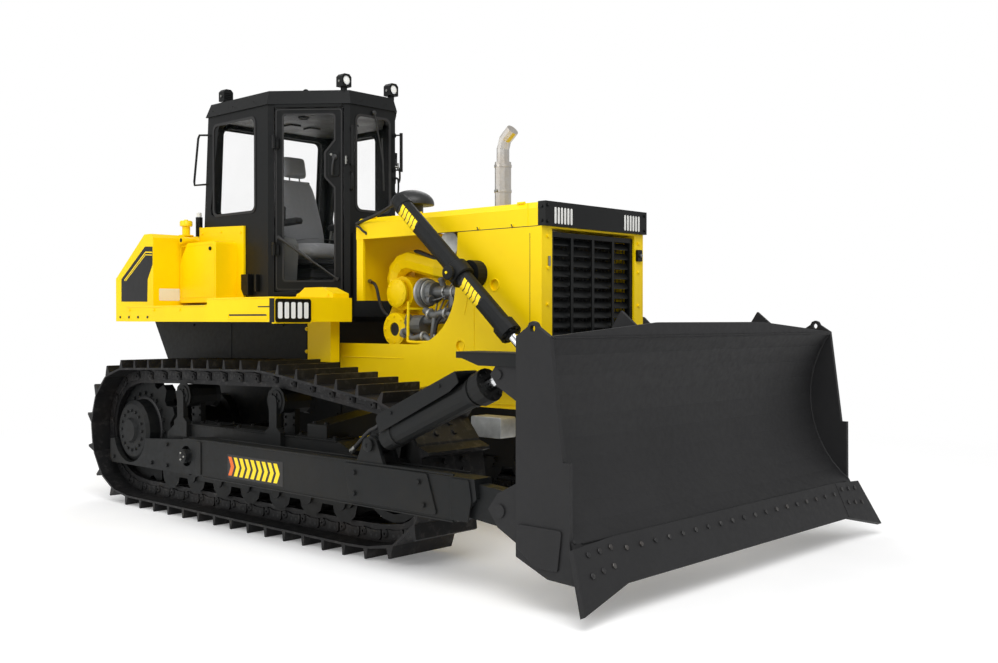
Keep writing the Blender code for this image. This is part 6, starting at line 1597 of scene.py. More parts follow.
    def add_frame(self):
        """Yellow tube frame that guards the low pipes."""
        shape = bmesh.new()
        run = spots((2.375, -0.445, 1.55), (2.375, -0.45, 1.32), (2.4, -0.45, 1.275), (2.66, -0.45, 1.275),
                    (2.685, -0.45, 1.24), (2.685, -0.445, 1.155))
        pipe(shape, smooth_path(run, 4), 0.011, 12)
        pipe(shape, spots((2.44, -0.445, 1.275), (2.44, -0.445, 1.17), (2.7, -0.44, 1.17)), 0.01, 12)
        pipe(shape, spots((2.375, -0.448, 1.5), (2.4, -0.4, 1.5), (2.44, -0.35, 1.5)), 0.009, 10)
        close("pipe_frame", shape, "yellow", smooth=True)

    def add_air_cleaner(self):
        """Lids and straps of the air cleaner."""
        for side, name in SIDES:
            face = world(2.79, side * 0.4575, 1.92)
            turned(f"air_cleaner_lid_{name}",
                   capped((0.086, 0), (0.088, 0.004), (0.084, 0.011), (0.07, 0.009), (0.02, 0.012)), face,
                   (0, side, 0), "light_metal", 40)
        shape = bmesh.new()
        for y in (-0.4, -0.24, 0.24, 0.4):
            lathe(shape, rect(0.0852, -0.011, 0.0882, 0.011), frame_at(world(2.79, y, 1.92), (0, 1, 0)), 36)
        close("air_cleaner_straps", shape, "dark_iron_and_shade", smooth=True)

    def add_hoses(self, side, name):
        """Heater hose from the firewall, and the fuel and breather hoses on the right."""
        if side == RIGHT:
            hose("fuel_hose", spots((2.62, -0.44, 1.3), (2.66, -0.44, 1.42), (2.76, -0.418, 1.5),
                                    (2.84, -0.396, 1.62)), diameter=0.02)
            hose("breather_hose", spots((2.16, -0.2, 1.88), (2.3, -0.3, 1.9), (2.45, -0.32, 1.86),
                                        (2.6, -0.3, 1.8)), diameter=0.03)
        hose(f"heater_hose_{name}",
             spots((1.94, side * 0.42, 1.7), (2.02, side * 0.43, 1.66), (2.05, side * 0.4, 1.5),
                   (2.12, side * 0.34, 1.42)), diameter=0.022)


# Cab

CAB_BREAK_X = 1.0
CAB_FRONT_X = 1.487
CAB_HALF = 0.62
NOSE_HALF = 0.225
PANE_LOW, PANE_HIGH = 2.243, 2.982
REAR_WINDOW_LEAN = 0.1 / 1.445
REAR_WINDOW_TOP = 3.045
DASH_TILT = Matrix.Rotation(math.radians(-32), 4, "Y")


def door_place(side):
    """Slanted door face: local X from the hinge forward, local Y up, local Z outward."""
    along = Vector((CAB_FRONT_X - CAB_BREAK_X, side * (NOSE_HALF - CAB_HALF), 0)).normalized()
    outward = Vector((-along.y, along.x, 0)) * side
    return Matrix((
        (along.x, 0, outward.x, CAB_BREAK_X - CENTRE_X),
        (along.y, 0, outward.y, side * CAB_HALF),
        (0, 1, 0, 0),
        (0, 0, 0, 1),
    ))


def frame_strip(shape, outline, inner, low, high, place):
    """Flat ring between an outline and a smaller one with as many points, added to a bmesh."""
    levels = []
    for level in (low, high):
        levels.append(([shape.verts.new(place @ Vector((x, y, level))) for x, y in outline],
                       [shape.verts.new(place @ Vector((x, y, level))) for x, y in inner]))
    count = len(outline)
    for k in range(count):
        n = (k + 1) % count
        for outer, middle in levels:
            shape.faces.new([outer[k], outer[n], middle[n], middle[k]])
        for ring in (0, 1):
            shape.faces.new([levels[0][ring][k], levels[0][ring][n], levels[1][ring][n], levels[1][ring][k]])


def seal_ring(shape, low, high, radius, width, near, far, place):
    """Rubber seal round a window between two corners."""
    outer = soft_rect(*low, *high, radius, 5)
    inner = soft_rect(low[0] + width, low[1] + width, high[0] - width, high[1] - width,
                      radius - width * 0.5, 5)
    frame_strip(shape, outer, inner, near, far, place)


class BULLDOZER_OT_cab(bpy.types.Operator):
    """Seals, mirror bars, lamps, wiper, door sills and roof fittings of the cab"""
    bl_idname = "bulldozer.cab"
    bl_label = "Cab"

    def execute(self, context):
        for part in (self.add_seals, self.add_rails, self.add_lamps, self.add_wipers, self.add_roof):
            part()
        for side, name in SIDES:
            self.add_side(side, name)
        return {"FINISHED"}

    def add_seals(self):
        """Rubber round the side, front and leaning rear panes."""
        shape = bmesh.new()
        seal_ring(shape, (-0.507, PANE_LOW), (0.507, PANE_HIGH), 0.055, 0.02, -0.004, 0.006, rear_place(0.19))
        for vertex in shape.verts:
            vertex.co.x -= (REAR_WINDOW_TOP - vertex.co.z) * REAR_WINDOW_LEAN
        close("rear_window_seal", shape, "seal", smooth=True)
        shape = bmesh.new()
        for side in (RIGHT, LEFT):
            seal_ring(shape, (0.258, PANE_LOW), (0.847, PANE_HIGH), 0.055, 0.02, -0.004, 0.005,
                      side_place(side, CAB_HALF))
        seal_ring(shape, (-0.177, PANE_LOW), (0.177, PANE_HIGH), 0.055, 0.018, -0.004, 0.005,
                  front_place(CAB_FRONT_X))
        close("window_seals", shape, "seal", smooth=True)

    def add_side(self, side, name):
        """Drip rails over and under the door and the pin that its lock catches."""
        shape = bmesh.new()
        foot = door_place(side)
        for z in (1.62, 3.032):
            plate(shape, soft_rect(0.06, z - 0.012, 0.565, z + 0.012, 0.005, 2), -0.001, 0.012, foot)
        close(f"door_sills_{name}", shape, "black", bevel=0.002)
        shape = bmesh.new()
        spot = foot @ Vector((0.6, 2.62, 0.0))
        out = (foot.to_3x3() @ Vector((0, 0, 1))).normalized()
        pipe(shape, [spot - out * 0.001, spot + out * 0.022], 0.01, 12)
        pipe(shape, [spot + out * 0.022 + Vector((0, 0, -0.03)), spot + out * 0.022 + Vector((0, 0, 0.03))],
             0.008, 12)
        close(f"door_catch_{name}", shape, "zinc", smooth=True)

    def add_rails(self):
        """Mirror bars and small grips on stand-offs at the corners of the cab's nose."""
        for side, name in SIDES:
            shape = bmesh.new()
            out = Vector((0.052, side * 0.028, 0))

            def spot(z, share=0.0):
                return world(CAB_FRONT_X, side * (NOSE_HALF - 0.012), z) + out * share

            pipe(shape, [spot(2.575, 1), spot(2.875, 1)], 0.0125, 16)
            for z in (2.59, 2.86):
                pipe(shape, [spot(z), spot(z, 1)], 0.006, 10)
            grip = [spot(2.4), spot(2.405, 0.45), spot(2.43, 0.6), spot(2.5, 0.6), spot(2.525, 0.45),
                    spot(2.53)]
            pipe(shape, smooth_path(grip, 5), 0.0075, 12)
            for z in (2.405, 2.525, 2.59, 2.86):
                lathe(shape, rect(0, -0.001, 0.02, 0.005), frame_at(spot(z), FORWARD), 16)
            close(f"nose_rail_{name}", shape, "black", smooth=True)

    def add_lamps(self):
        """Round lenses, rims, pivots and cooling fins of the four work lamps."""
        for side, name in SIDES:
            for tag, x, y, axis in (("front", 1.4272, 0.235, 1), ("rear", 0.29, 0.52, -1)):
                centre = world(x + axis * 0.0385, side * y, 3.223)
                facing = (axis, 0, 0)
                turned(f"lamp_lens_{tag}_{name}",
                       [(0, -0.012), (0.034, -0.012), (0.033, -0.009), (0.02, -0.005), (0, -0.004)], centre,
                       facing, "lens", 28)
                turned(f"lamp_rim_{tag}_{name}",
                       [(0.0345, -0.01), (0.036, 0.002), (0.04, 0.003), (0.041, -0.002), (0.041, -0.006)],
                       centre, facing, "black", 28)
                shape = bmesh.new()
                for dy in (-0.046, 0.046):
                    lathe(shape, rect(0, -0.003, 0.01, 0.003),
                          frame_at(world(x, side * y + dy, 3.215), (0, 1, 0)), 12)
                close(f"lamp_pivots_{tag}_{name}", shape, "zinc", smooth=True)
                shape = bmesh.new()
                for k in range(4):
                    z = 3.195 + 0.014 * k
                    plate(shape, rect(x - axis * 0.034, z, x - axis * 0.046, z + 0.005), side * y - 0.036,
                          side * y + 0.036, side_place(LEFT, 0))
                close(f"lamp_fins_{tag}_{name}", shape, "black")

    def add_wipers(self):
        """Wiper arm, blade and pivot on the front pane."""
        shape = bmesh.new()
        pivot = world(CAB_FRONT_X + 0.004, 0.0, 3.005)
        lathe(shape, capped((0.018, 0), (0.018, 0.014), (0.01, 0.02)), frame_at(pivot, FORWARD), 16)
        tip = world(CAB_FRONT_X + 0.016, 0.09, 2.62)
        pipe(shape, [pivot + Vector((0.014, 0, 0)), tip], 0.005, 8)
        pipe(shape, [tip + Vector(shift)
                     for shift in ((-0.008, 0.01, -0.2), (-0.004, 0, 0), (-0.008, -0.01, 0.2))], 0.006, 8)
        close("front_wiper", shape, "dark_trim", smooth=True)

    def add_roof(self):
        """Pressed ribs, lifting eyes and gutter bolts of the roof, clear of its mount."""
        shape = bmesh.new()
        for y in (-0.46, 0.46):
            plate(shape, soft_rect(0.36, y - 0.035, 0.84, y + 0.035, 0.03, 4), 3.149, 3.157, PLAN)
        close("roof_ribs", shape, "black", bevel=0.003)
        shape = bmesh.new()
        eye = ((-0.035, 3.148), (-0.03, 3.176), (0, 3.188), (0.03, 3.176), (0.035, 3.148))
        for x, y in ((0.4, -0.33), (0.4, 0.33), (1.08, -0.33), (1.08, 0.33)):
            pipe(shape, smooth_path([world(x + shift, y, z) for shift, z in eye], 4), 0.007, 10)
        close("roof_eyes", shape, "black", smooth=True)
        heads = [(world(x, side * 0.635, 3.085), (0, side, 0)) for side in (RIGHT, LEFT)
                 for x in (0.28, 0.56, 0.84)]
        heads += [(world(0.175, y, 3.085), BACKWARD) for y in (-0.45, 0, 0.45)]
        heads += [(world(1.502, y, 3.085), FORWARD) for y in (-0.12, 0.12)]
        bolts("roof_bolts", heads, "black", size=0.009, height=0.003, washer=False)


class BULLDOZER_OT_doors(bpy.types.Operator):
    """Seals, handle, lock, stay and hinge bolts of each door, riding on it"""
    bl_idname = "bulldozer.doors"
    bl_label = "Doors"

    def execute(self, context):
        for side, name in SIDES:
            body = f"door_{name}"
            place = door_place(side)
            out = (place.to_3x3() @ Vector((0, 0, 1))).normalized()
            shape = bmesh.new()
            seal_ring(shape, (0.062, 1.652), (0.565, 3.008), 0.02, 0.007, -0.002, 0.003, place)
            close(f"door_seal_{name}", shape, "seal", body=body, smooth=True)
            shape = bmesh.new()
            rear, front = 0.11, 0.517
            outer = soft_corners([(rear, 1.71), (front, 1.71), (front, 2.42), (front - 0.075, 2.5),
                                  (front - 0.075, 2.68), (front, 2.77), (front, 2.975), (rear, 2.975)],
                                 0.028, 4)
            rear, front = rear + 0.012, front - 0.012
            inner = soft_corners([(rear, 1.722), (front, 1.722), (front, 2.414), (front - 0.075, 2.495),
                                  (front - 0.075, 2.685), (front, 2.776), (front, 2.963), (rear, 2.963)],
                                 0.022, 4)
            frame_strip(shape, outer, inner, -0.006, 0.004, place)
            close(f"door_glass_seal_{name}", shape, "seal", body=body, smooth=True)
            slab(f"lock_plate_{name}", soft_rect(0.462, 2.5, 0.545, 2.69, 0.02, 4), -0.001, 0.01, place,
                 "black", body, bevel=0.002)
            shape = bmesh.new()
            lathe(shape, capped((0.02, 0), (0.02, 0.012), (0.014, 0.016)),
                  frame_at(place @ Vector((0.512, 2.645, 0.009)), out), 20)
            grip = ((0.512, 2.645, 0.022), (0.505, 2.6, 0.04), (0.5, 2.54, 0.042), (0.5, 2.51, 0.034))
            pipe(shape, smooth_path([place @ Vector(point) for point in grip]), 0.008, 12)
            close(f"door_handle_{name}", shape, "dark_trim", body=body, smooth=True)
            turned(f"lock_barrel_{name}", rect(0, 0, 0.009, 0.004), place @ Vector((0.485, 2.665, 0.01)),
                   out, "zinc", 14, body=body)
            shape = bmesh.new()
            stay = ((0.088, 2.045, 0.024), (0.33, 1.875, 0.024), (0.532, 1.733, 0.024))
            near, middle, far = (place @ Vector(point) for point in stay)
            pipe(shape, [near, middle], 0.0125, 12)
            pipe(shape, [middle, far], 0.0075, 10)
            for spot in (near, far):
                lathe(shape, rect(0, -0.025, 0.014, 0.006), frame_at(spot, out), 14)
            close(f"door_stay_{name}", shape, "seal", body=body, smooth=True)
            heads = [(place @ Vector((0.08, z + dz, 0.028)), out) for z in (1.95, 2.75)
                     for dz in (-0.024, 0.024)]
            bolts(f"hinge_bolts_{name}", heads, "black", body=body, size=0.012, washer=False)
        return {"FINISHED"}


class BULLDOZER_OT_seat(bpy.types.Operator):
    """Sprung seat with crowned, piped cushions, arm rests and belt"""
    bl_idname = "bulldozer.seat"
    bl_label = "Seat"

    def execute(self, context):
        cushion = self.pillow("seat_cushion", (0.56, 1.02), (-0.24, 0.24), 0.11, 0.045)
        cushion.data.transform(Matrix.Translation((-CENTRE_X, 0, 1.9)))
        back = self.pillow("seat_back", (0.0, 0.56), (-0.225, 0.225), 0.095, 0.04)
        lean = Matrix.Rotation(math.radians(-101), 4, "Y")
        for vertex in back.data.vertices:
            vertex.co.y *= 1 - 0.34 * (max(vertex.co.x, 0.0) / 0.56) ** 1.6
        back.data.transform(Matrix.Translation(world(0.655, 0, 2.03)) @ lean)
        rest = self.pillow("head_rest", (0.0, 0.17), (-0.105, 0.105), 0.085, 0.03)
        rest.data.transform(Matrix.Translation(world(0.545, 0, 2.605)) @ lean)
        for pad, node in ((cushion, "seat"), (back, None), (rest, None)):
            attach(pad, "chassis")
            if node:
                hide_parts(node)
        self.add_piping()
        self.add_frame()
        return {"FINISHED"}

    def pillow(self, name, along, across, thick, crown):
        """Crowned slab with rounded rim, stitched channels and a slack dip in the middle."""
        count_u, count_v = 36, 30
        shape = bmesh.new()
        middle_u, middle_v = sum(along) / 2, sum(across) / 2
        half_u, half_v = (along[1] - along[0]) / 2, (across[1] - across[0]) / 2

        def rise(u, v):
            rim = max(0.0, 1 - abs(u) ** 5) ** 0.45 * max(0.0, 1 - abs(v) ** 5) ** 0.45
            dome = (1 - u * u * 0.55) * (1 - v * v * 0.75)
            bolster = 0.35 * math.exp(-((abs(v) - 0.8) / 0.16) ** 2)
            seams = 0.0
            for line in (-0.58, 0.58):
                seams += math.exp(-((v - line) / 0.03) ** 2) * 0.16
            for line in (-0.5, -0.17, 0.17, 0.5):
                if abs(v) < 0.58:
                    seams += math.exp(-((u - line) / 0.03) ** 2) * 0.11
            return rim * (thick * 0.5 + crown * (dome * 0.75 + bolster - seams))

        tops, lows = [], []
        for i in range(count_u + 1):
            u = -1 + 2 * i / count_u
            u = math.copysign(1 - (1 - abs(u)) ** 1.35, u)
            row_top, row_low = [], []
            for j in range(count_v + 1):
                v = -1 + 2 * j / count_v
                v = math.copysign(1 - (1 - abs(v)) ** 1.35, v)
                round_u = math.sqrt(max(0.0, 1 - 0.12 * v ** 6))
                round_v = math.sqrt(max(0.0, 1 - 0.12 * u ** 6))
                x, y = middle_u + half_u * u * round_u, middle_v + half_v * v * round_v
                row_top.append(shape.verts.new((x, y, thick * 0.5 + rise(u, v))))
                edge = max(0.0, 1 - abs(u) ** 6) ** 0.5 * max(0.0, 1 - abs(v) ** 6) ** 0.5
                row_low.append(shape.verts.new((x, y, thick * 0.5 - edge * thick * 0.5)))
            tops.append(row_top)
            lows.append(row_low)
        for i in range(count_u):
            for j in range(count_v):
                shape.faces.new([tops[i][j], tops[i + 1][j], tops[i + 1][j + 1], tops[i][j + 1]])
                shape.faces.new([lows[i][j], lows[i][j + 1], lows[i + 1][j + 1], lows[i + 1][j]])
        bmesh.ops.remove_doubles(shape, verts=shape.verts, dist=0.0003)
        bmesh.ops.recalc_face_normals(shape, faces=shape.faces)
        obj = add_object(name, mesh_of(name, shape))
        obj.data.shade_smooth()
        obj.data.materials.append(FINISHES["cloth"])
        return obj

    def add_piping(self):
        """Corded seam round the cushion's rim."""
        shape = bmesh.new()
        rim = soft_rect(0.572, -0.228, 1.008, 0.228, 0.05, 6)
        run = [world(x, y, 1.955) for x, y in rim]
        pipe(shape, run + run[:1], 0.0045, 8)
        close("seat_piping", shape, "dark_trim", smooth=True)

    def add_frame(self):
        """Suspension bellows, shell, arm rests, rods and belt."""
        shape = bmesh.new()
        for k in range(7):
            z = 1.615 + 0.036 * k
            inset = 0.01 if k % 2 else 0.0
            plate(shape, soft_rect(0.66 + inset, -0.165 + inset, 0.94 - inset, 0.165 - inset, 0.03, 3), z,
                  z + 0.036, PLAN)
        close("seat_bellows", shape, "rubber", bevel=0.004)
        shape = bmesh.new()
        plate(shape, soft_rect(0.6, -0.2, 1.0, 0.2, 0.03, 3), 1.601, 1.616, PLAN)
        plate(shape, soft_rect(0.585, -0.225, 1.0, 0.225, 0.04, 4), 1.865, 1.905, PLAN)
        shell = side_place(LEFT, 0)
        plate(shape, [(0.5, 2.02), (0.545, 2.02), (0.45, 2.58), (0.425, 2.58)], -0.19, 0.19, shell)
        close("seat_shell", shape, "dark_trim", bevel=0.006)
        shape = bmesh.new()
        arm = [(0.62, 2.165), (0.94, 2.175), (0.95, 2.205), (0.93, 2.225), (0.62, 2.215), (0.6, 2.19)]
        for y in (-0.285, 0.285):
            plate(shape, soft_corners(arm, 0.012, 3), y - 0.032, y + 0.032, shell)
        close("arm_rests", shape, "dark_trim", bevel=0.008)
        shape = bmesh.new()
        for side in (RIGHT, LEFT):
            pipe(shape, spots((0.62, side * 0.262, 2.04), (0.64, side * 0.27, 2.18)), 0.01, 10)
        for y in (-0.05, 0.05):
            pipe(shape, spots((0.5, y, 2.55), (0.482, y, 2.66)), 0.006, 10)
        close("seat_rods", shape, "zinc", smooth=True)
        shape = bmesh.new()
        for side in (RIGHT, LEFT):
            run = smooth_path(spots((0.6, side * 0.248, 1.962), (0.7, side * 0.235, 2.037),
                                    (0.82, side * 0.13, 2.07), (0.86, side * 0.03, 2.074)), 5)
            for a, b in zip(run, run[1:]):
                across = (b - a).cross(Vector(UPWARD)).normalized() * 0.022
                shape.faces.new([shape.verts.new(c)
                                 for c in (a - across, a + across, b + across, b - across)])
        close("seat_belt", shape, "dark_trim", smooth=True)


class BULLDOZER_OT_controls(bpy.types.Operator):
    """Dash, consoles, levers, pedals, trim, mat and roof lining inside the cab"""
    bl_idname = "bulldozer.controls"
    bl_label = "Controls"

    def execute(self, context):
        for part in (self.add_dash, self.add_consoles, self.add_floor, self.add_lining):
            part()
        return {"FINISHED"}

    def add_dash(self):
        """Dash with its dials and switches."""
        outline = [(1.36, 1.61), (1.435, 1.61), (1.435, 2.2), (1.39, 2.215), (1.305, 2.16), (1.3, 2.13),
                   (1.36, 2.05)]
        slab("dash", soft_corners(outline, 0.012, 3), -0.165, 0.165, side_place(LEFT, 0), "dark_trim",
             bevel=0.005)
        shape = bmesh.new()
        face = Matrix.Translation(world(1.349, 0, 2.195)) @ DASH_TILT
        for y, radius in ((-0.115, 0.02), (-0.065, 0.02), (-0.015, 0.02), (0.06, 0.034)):
            lathe(shape, [(radius, 0), (radius, 0.007), (radius - 0.004, 0.007), (radius - 0.004, 0.003),
                          (0, 0.003)], face @ Matrix.Translation((0, y, 0)), 20)
        close("dash_dials", shape, "plate_white", smooth=True)
        shape = bmesh.new()
        face = Matrix.Translation(world(1.318, 0, 2.166)) @ DASH_TILT
        for y in (-0.13, -0.1, -0.07, 0.1, 0.13):
            box(shape, (-0.009, y - 0.007, 0), (0.009, y + 0.007, 0.008), face)
        close("dash_switches", shape, "trim", bevel=0.001)

    def add_consoles(self):
        """Side consoles with two joysticks and three small levers."""
        shape = bmesh.new()
        outline = soft_corners([(0.42, 1.61), (0.98, 1.61), (1.02, 2.0), (0.97, 2.06), (0.42, 2.06)], 0.03, 4)
        for y in (-0.43, 0.43):
            plate(shape, outline, y - 0.085, y + 0.085, side_place(LEFT, 0))
        close("side_consoles", shape, "trim", bevel=0.008)
        shape = bmesh.new()
        for side, x, y, lean in ((RIGHT, 0.9, 0.44, 0.03), (LEFT, 0.92, 0.42, -0.02)):
            foot = world(x, side * y, 2.055)
            top = foot + Vector((lean, side * -0.01, 0.15))
            lathe(shape, [(0.04, 0), (0.036, 0.01), (0.038, 0.018), (0.028, 0.028), (0.03, 0.036),
                          (0.014, 0.05), (0.01, 0.052)], frame_at(foot, UPWARD), 20)
            pipe(shape, [foot, top], 0.008, 10)
            knob = ((0, 0, -0.02), (0, 0, 0.02), (0, 0, 0.07), (0.004, 0, 0.095))
            pipe(shape, smooth_path([top + Vector(shift) for shift in knob], 3),
                 [0.016, 0.018, 0.02, 0.021, 0.02, 0.02, 0.021, 0.022, 0.021, 0.012], 14)
        close("joysticks", shape, "dark_trim", smooth=True)
        shape = bmesh.new()
        for k in range(3):
            foot = world(0.6 + 0.06 * k, 0.44, 2.055)
            pipe(shape, [foot, foot + Vector((-0.02, 0, 0.13))], 0.006, 8)
            lathe(shape, [(0, -0.018), (0.014, -0.012), (0.017, 0.004), (0.011, 0.018), (0, 0.021)],
                  frame_at(foot + Vector((-0.022, 0, 0.145)), (-0.15, 0, 1)), 16)
        close("levers", shape, "dark_trim", smooth=True)

    def add_floor(self):
        """Ribbed rubber mat and the three pedals."""
        shape = bmesh.new()
        outline = [(0.28, -0.54), (0.98, -0.54), (1.4, -0.18), (1.4, 0.18), (0.98, 0.54), (0.28, 0.54)]
        plate(shape, soft_corners(outline, 0.03, 3), 1.6005, 1.6075, PLAN)
        for k in range(9):
            x = 1.03 + 0.036 * k
            half = 0.5 - (x - 0.98) * 0.86 - 0.04
            plate(shape, rect(x, -half, x + 0.014, half), 1.607, 1.6105, PLAN)
        close("floor_mat", shape, "rubber")
        shape = bmesh.new()
        for y in (-0.14, 0.0, 0.14):
            place = Matrix.Translation(world(1.3, y, 1.7)) @ Matrix.Rotation(math.radians(50), 4, "Y")
            plate(shape, soft_rect(-0.05, -0.035, 0.05, 0.035, 0.01, 3), -0.004, 0.004, place)
            for k in range(4):
                box(shape, (-0.04 + 0.023 * k, -0.03, 0.0035), (-0.032 + 0.023 * k, 0.03, 0.008), place)
            pipe(shape, spots((1.305, y, 1.695), (1.35, y, 1.62), (1.38, y, 1.6)), 0.008, 8)
        close("pedals", shape, "dark_trim", bevel=0.001)

    def add_lining(self):
        """Roof lining with its vents, and the trim low on the cab's sides."""
        outline = [(0.26, -0.54), (0.98, -0.54), (1.42, -0.18), (1.42, 0.18), (0.98, 0.54), (0.26, 0.54)]
        slab("roof_lining", soft_corners(outline, 0.04, 4), 3.005, 3.04, PLAN, "dark_trim", bevel=0.006)
        shape = bmesh.new()
        for y in (-0.25, 0.25):
            lathe(shape, [(0.045, 0), (0.045, -0.01), (0.036, -0.014), (0.033, -0.006), (0, -0.006)],
                  frame_at(world(0.95, y, 3.005), UPWARD), 24)
        for y in (-0.1, 0.1):
            box(shape, (0.55 - CENTRE_X, y - 0.05, 2.992), (0.65 - CENTRE_X, y + 0.05, 3.006))
        close("roof_vents", shape, "dark_trim", bevel=0.002)
        shape = bmesh.new()
        for side in (RIGHT, LEFT):
            plate(shape, soft_rect(0.27, 1.62, 0.93, 2.19, 0.03, 4), -0.014, 0.0,
                  side_place(side, CAB_HALF - 0.046))
        close("side_trim", shape, "trim", bevel=0.004)


# Tank, fenders and platform

TANK_FACE = 1.05
TANK_REAR_X = -0.505
FILLER_Y = 0.72
VENT_Y = 0.6
FENDER_FACE = 1.28
LIGHT_BAR_X = 2.003
BOX_FACE = 0.82
SKIRT_FACE = 0.7


class BULLDOZER_OT_rear(bpy.types.Operator):
    """Stripes, bare signs, caps, pipes, light bars, painted slot shade and bolts of tank, fenders and boxes
    """
    bl_idname = "bulldozer.rear"
    bl_label = "Tank and fenders"

    def execute(self, context):
        for side, name in SIDES:
            for part in (self.add_tank_side, self.add_fender, self.add_light_bar, self.add_box,
                         self.add_skirt):
                part(side, name)
        self.add_tank()
        return {"FINISHED"}

    def add_tank_side(self, side, name):
        """Dark panel with two thin stripes, bare sign and foot bolts of the tank's end."""
        place = side_place(side, TANK_FACE)
        outline = [(-0.414, 1.573), (-0.006, 1.568), (0.001, 1.745), (0.076, 1.86), (0.076, 1.998),
                   (-0.037, 2.004), (-0.413, 1.755)]
        slab(f"tank_panel_{name}", outline, -0.001, 0.0012, place, "stripe_black")
        shape = bmesh.new()
        for inset, width in ((0.034, 0.01), (0.056, 0.007)):
            line = [(-0.4 + inset, 1.755 - inset * 0.2), (-0.03, 1.998 - inset), (0.07, 1.992 - inset)]
            lower = [(x + width * 0.3, z - width) for x, z in reversed(line)]
            plate(shape, line + lower, 0.0005, 0.002, place)
        close(f"tank_stripes_{name}", shape, "stripe_yellow")
        heads = [(world(-0.432, side * TANK_FACE, 1.447), (0, side, 0))]
        heads += [(world(x, side * FENDER_FACE, 1.446), (0, side, 0)) for x in (0.134, 0.269, 0.408)]
        bolts(f"tank_foot_bolts_{name}", heads, "dark_iron_and_shade", size=0.018, height=0.006, washer=False)
        low, high = sorted((side * 1.0, side * BOX_FACE))
        slab(f"bare_sign_{name}", soft_rect(low, 1.577, high, 1.672, 0.008, 3), -0.001, 0.0015,
             front_place(0.085), "plate_white")

    def add_tank(self):
        """Filler caps, neck rings, breathers, vent pipes and the bolted panel at the rear."""
        for side, name in SIDES:
            neck = world(0.02, side * FILLER_Y, 2.22)
            turned(f"tank_cap_{name}",
                   [(0.046, -0.04), (0.05, -0.038), (0.05, -0.004), (0.044, 0.004), (0.016, 0.006),
                    (0.014, 0.014), (0, 0.014)], neck, UPWARD, "stripe_yellow", 24)
            shape = bmesh.new()
            lathe(shape, [(0.034, 0.0), (0.058, 0.0), (0.058, 0.008), (0.034, 0.01)],
                  frame_at(world(0.02, side * FILLER_Y, 2.101), UPWARD), 24)
            run = spots((0.075, side * 0.66, 2.02), (0.11, side * 0.7, 2.055), (0.145, side * 0.78, 2.055),
                        (0.15, side * 0.845, 2.055))
            pipe(shape, smooth_path(run, 4), 0.026, 18)
            close(f"tank_neck_ring_{name}", shape, "yellow", smooth=True)
            turned(f"breather_{name}", [(0, 0.0006), (0.017, 0.0006), (0.017, -0.004)],
                   world(0.15, side * 0.8455, 2.055), (0, side, 0), "seal", 16)
            shape = bmesh.new()
            pipe(shape, spots((0.02, side * VENT_Y, 2.098), (0.02, side * VENT_Y, 2.26)), 0.028, 18)
            close(f"vent_pipe_{name}", shape, "black", smooth=True)
            turned(f"vent_cap_{name}", capped((0.02, 0), (0.02, 0.034), (0.014, 0.04)),
                   world(0.02, side * VENT_Y, 2.26), UPWARD, "plate_white", 20)
        slab("tank_rear_panel", soft_rect(-0.45, 1.47, 0.45, 1.7, 0.02, 4), -0.001, 0.01,
             rear_place(TANK_REAR_X), "yellow", bevel=0.003)
        heads = [(world(TANK_REAR_X - 0.01, y, z), BACKWARD) for y in (-0.42, -0.14, 0.14, 0.42)
                 for z in (1.495, 1.675)]
        heads += [(world(TANK_REAR_X, side * y, z), BACKWARD) for side in (RIGHT, LEFT) for y in (0.6, 1.0)
                  for z in (1.46, 1.72)]
        bolts("tank_rear_bolts", heads, "zinc", size=0.016)

    def add_fender(self, side, name):
        """Rolled lips, thin dark plates of painted shade in the slots, and bolts of the fender's side, and
        the tread pattern on its deck.
        """
        place = side_place(side, FENDER_FACE)
        shape = bmesh.new()
        frame_strip(shape, soft_rect(1.47, 1.428, 1.935, 1.47, 0.018, 4),
                    soft_rect(1.478, 1.434, 1.927, 1.464, 0.014, 4), -0.001, 0.005, place)
        for rear, front, z in ((0.1, 1.19, 1.524), (1.225, 1.97, 1.571)):
            pipe(shape, spots((rear, side * FENDER_FACE, z), (front, side * FENDER_FACE, z)), 0.005, 8)
        close(f"fender_lips_{name}", shape, "yellow", smooth=True)
        # Thin dark plates in the slots and under the lips: painted shade, not a part of their own.
        shape = bmesh.new()
        for slot in ((1.486, 1.452, 1.921, 1.463), (0.9, 1.522, 1.18, 1.5315), (1.82, 1.508, 1.975, 1.516)):
            plate(shape, rect(*slot), -0.001, 0.0015, place)
        close(f"fender_slot_shade_{name}", shape, "dark_iron_and_shade")
        shape = bmesh.new()
        for low_x, high_x, z in ((0.14, 1.16, 1.53), (1.26, 1.94, 1.577)):
            count = int((high_x - low_x) / 0.065)
            for k in range(count):
                x = low_x + (high_x - low_x) * (k + 0.5) / count
                for row in range(4):
                    y = side * (0.9 + 0.09 * row) + (0.022 if k % 2 else -0.022)
                    turn = math.radians(45 if (k + row) % 2 else -45)
                    across = Vector((math.cos(turn), math.sin(turn), 0)) * 0.02
                    wide = Vector((-across.y, across.x, 0)) * 0.22
                    spot = world(x, y, z)
                    bottom = [spot - across - wide, spot + across - wide, spot + across + wide,
                              spot - across + wide]
                    low = [shape.verts.new(p - Vector((0, 0, 0.001))) for p in bottom]
                    high = [shape.verts.new(spot + (p - spot) * 0.8 + Vector((0, 0, 0.0025))) for p in bottom]
                    shape.faces.new(high)
                    for a in range(4):
                        b = (a + 1) % 4
                        shape.faces.new([low[a], low[b], high[b], high[a]])
        close(f"deck_tread_{name}", shape, "yellow")
        heads = [(world(x, side * FENDER_FACE, 1.5), (0, side, 0)) for x in (0.14, 0.5, 0.86)]
        heads += [(world(1.58, side * SKIRT_FACE, z), (0, side, 0)) for z in (1.2, 1.36)]
        bolts(f"fender_bolts_{name}", heads, "yellow", size=0.018)

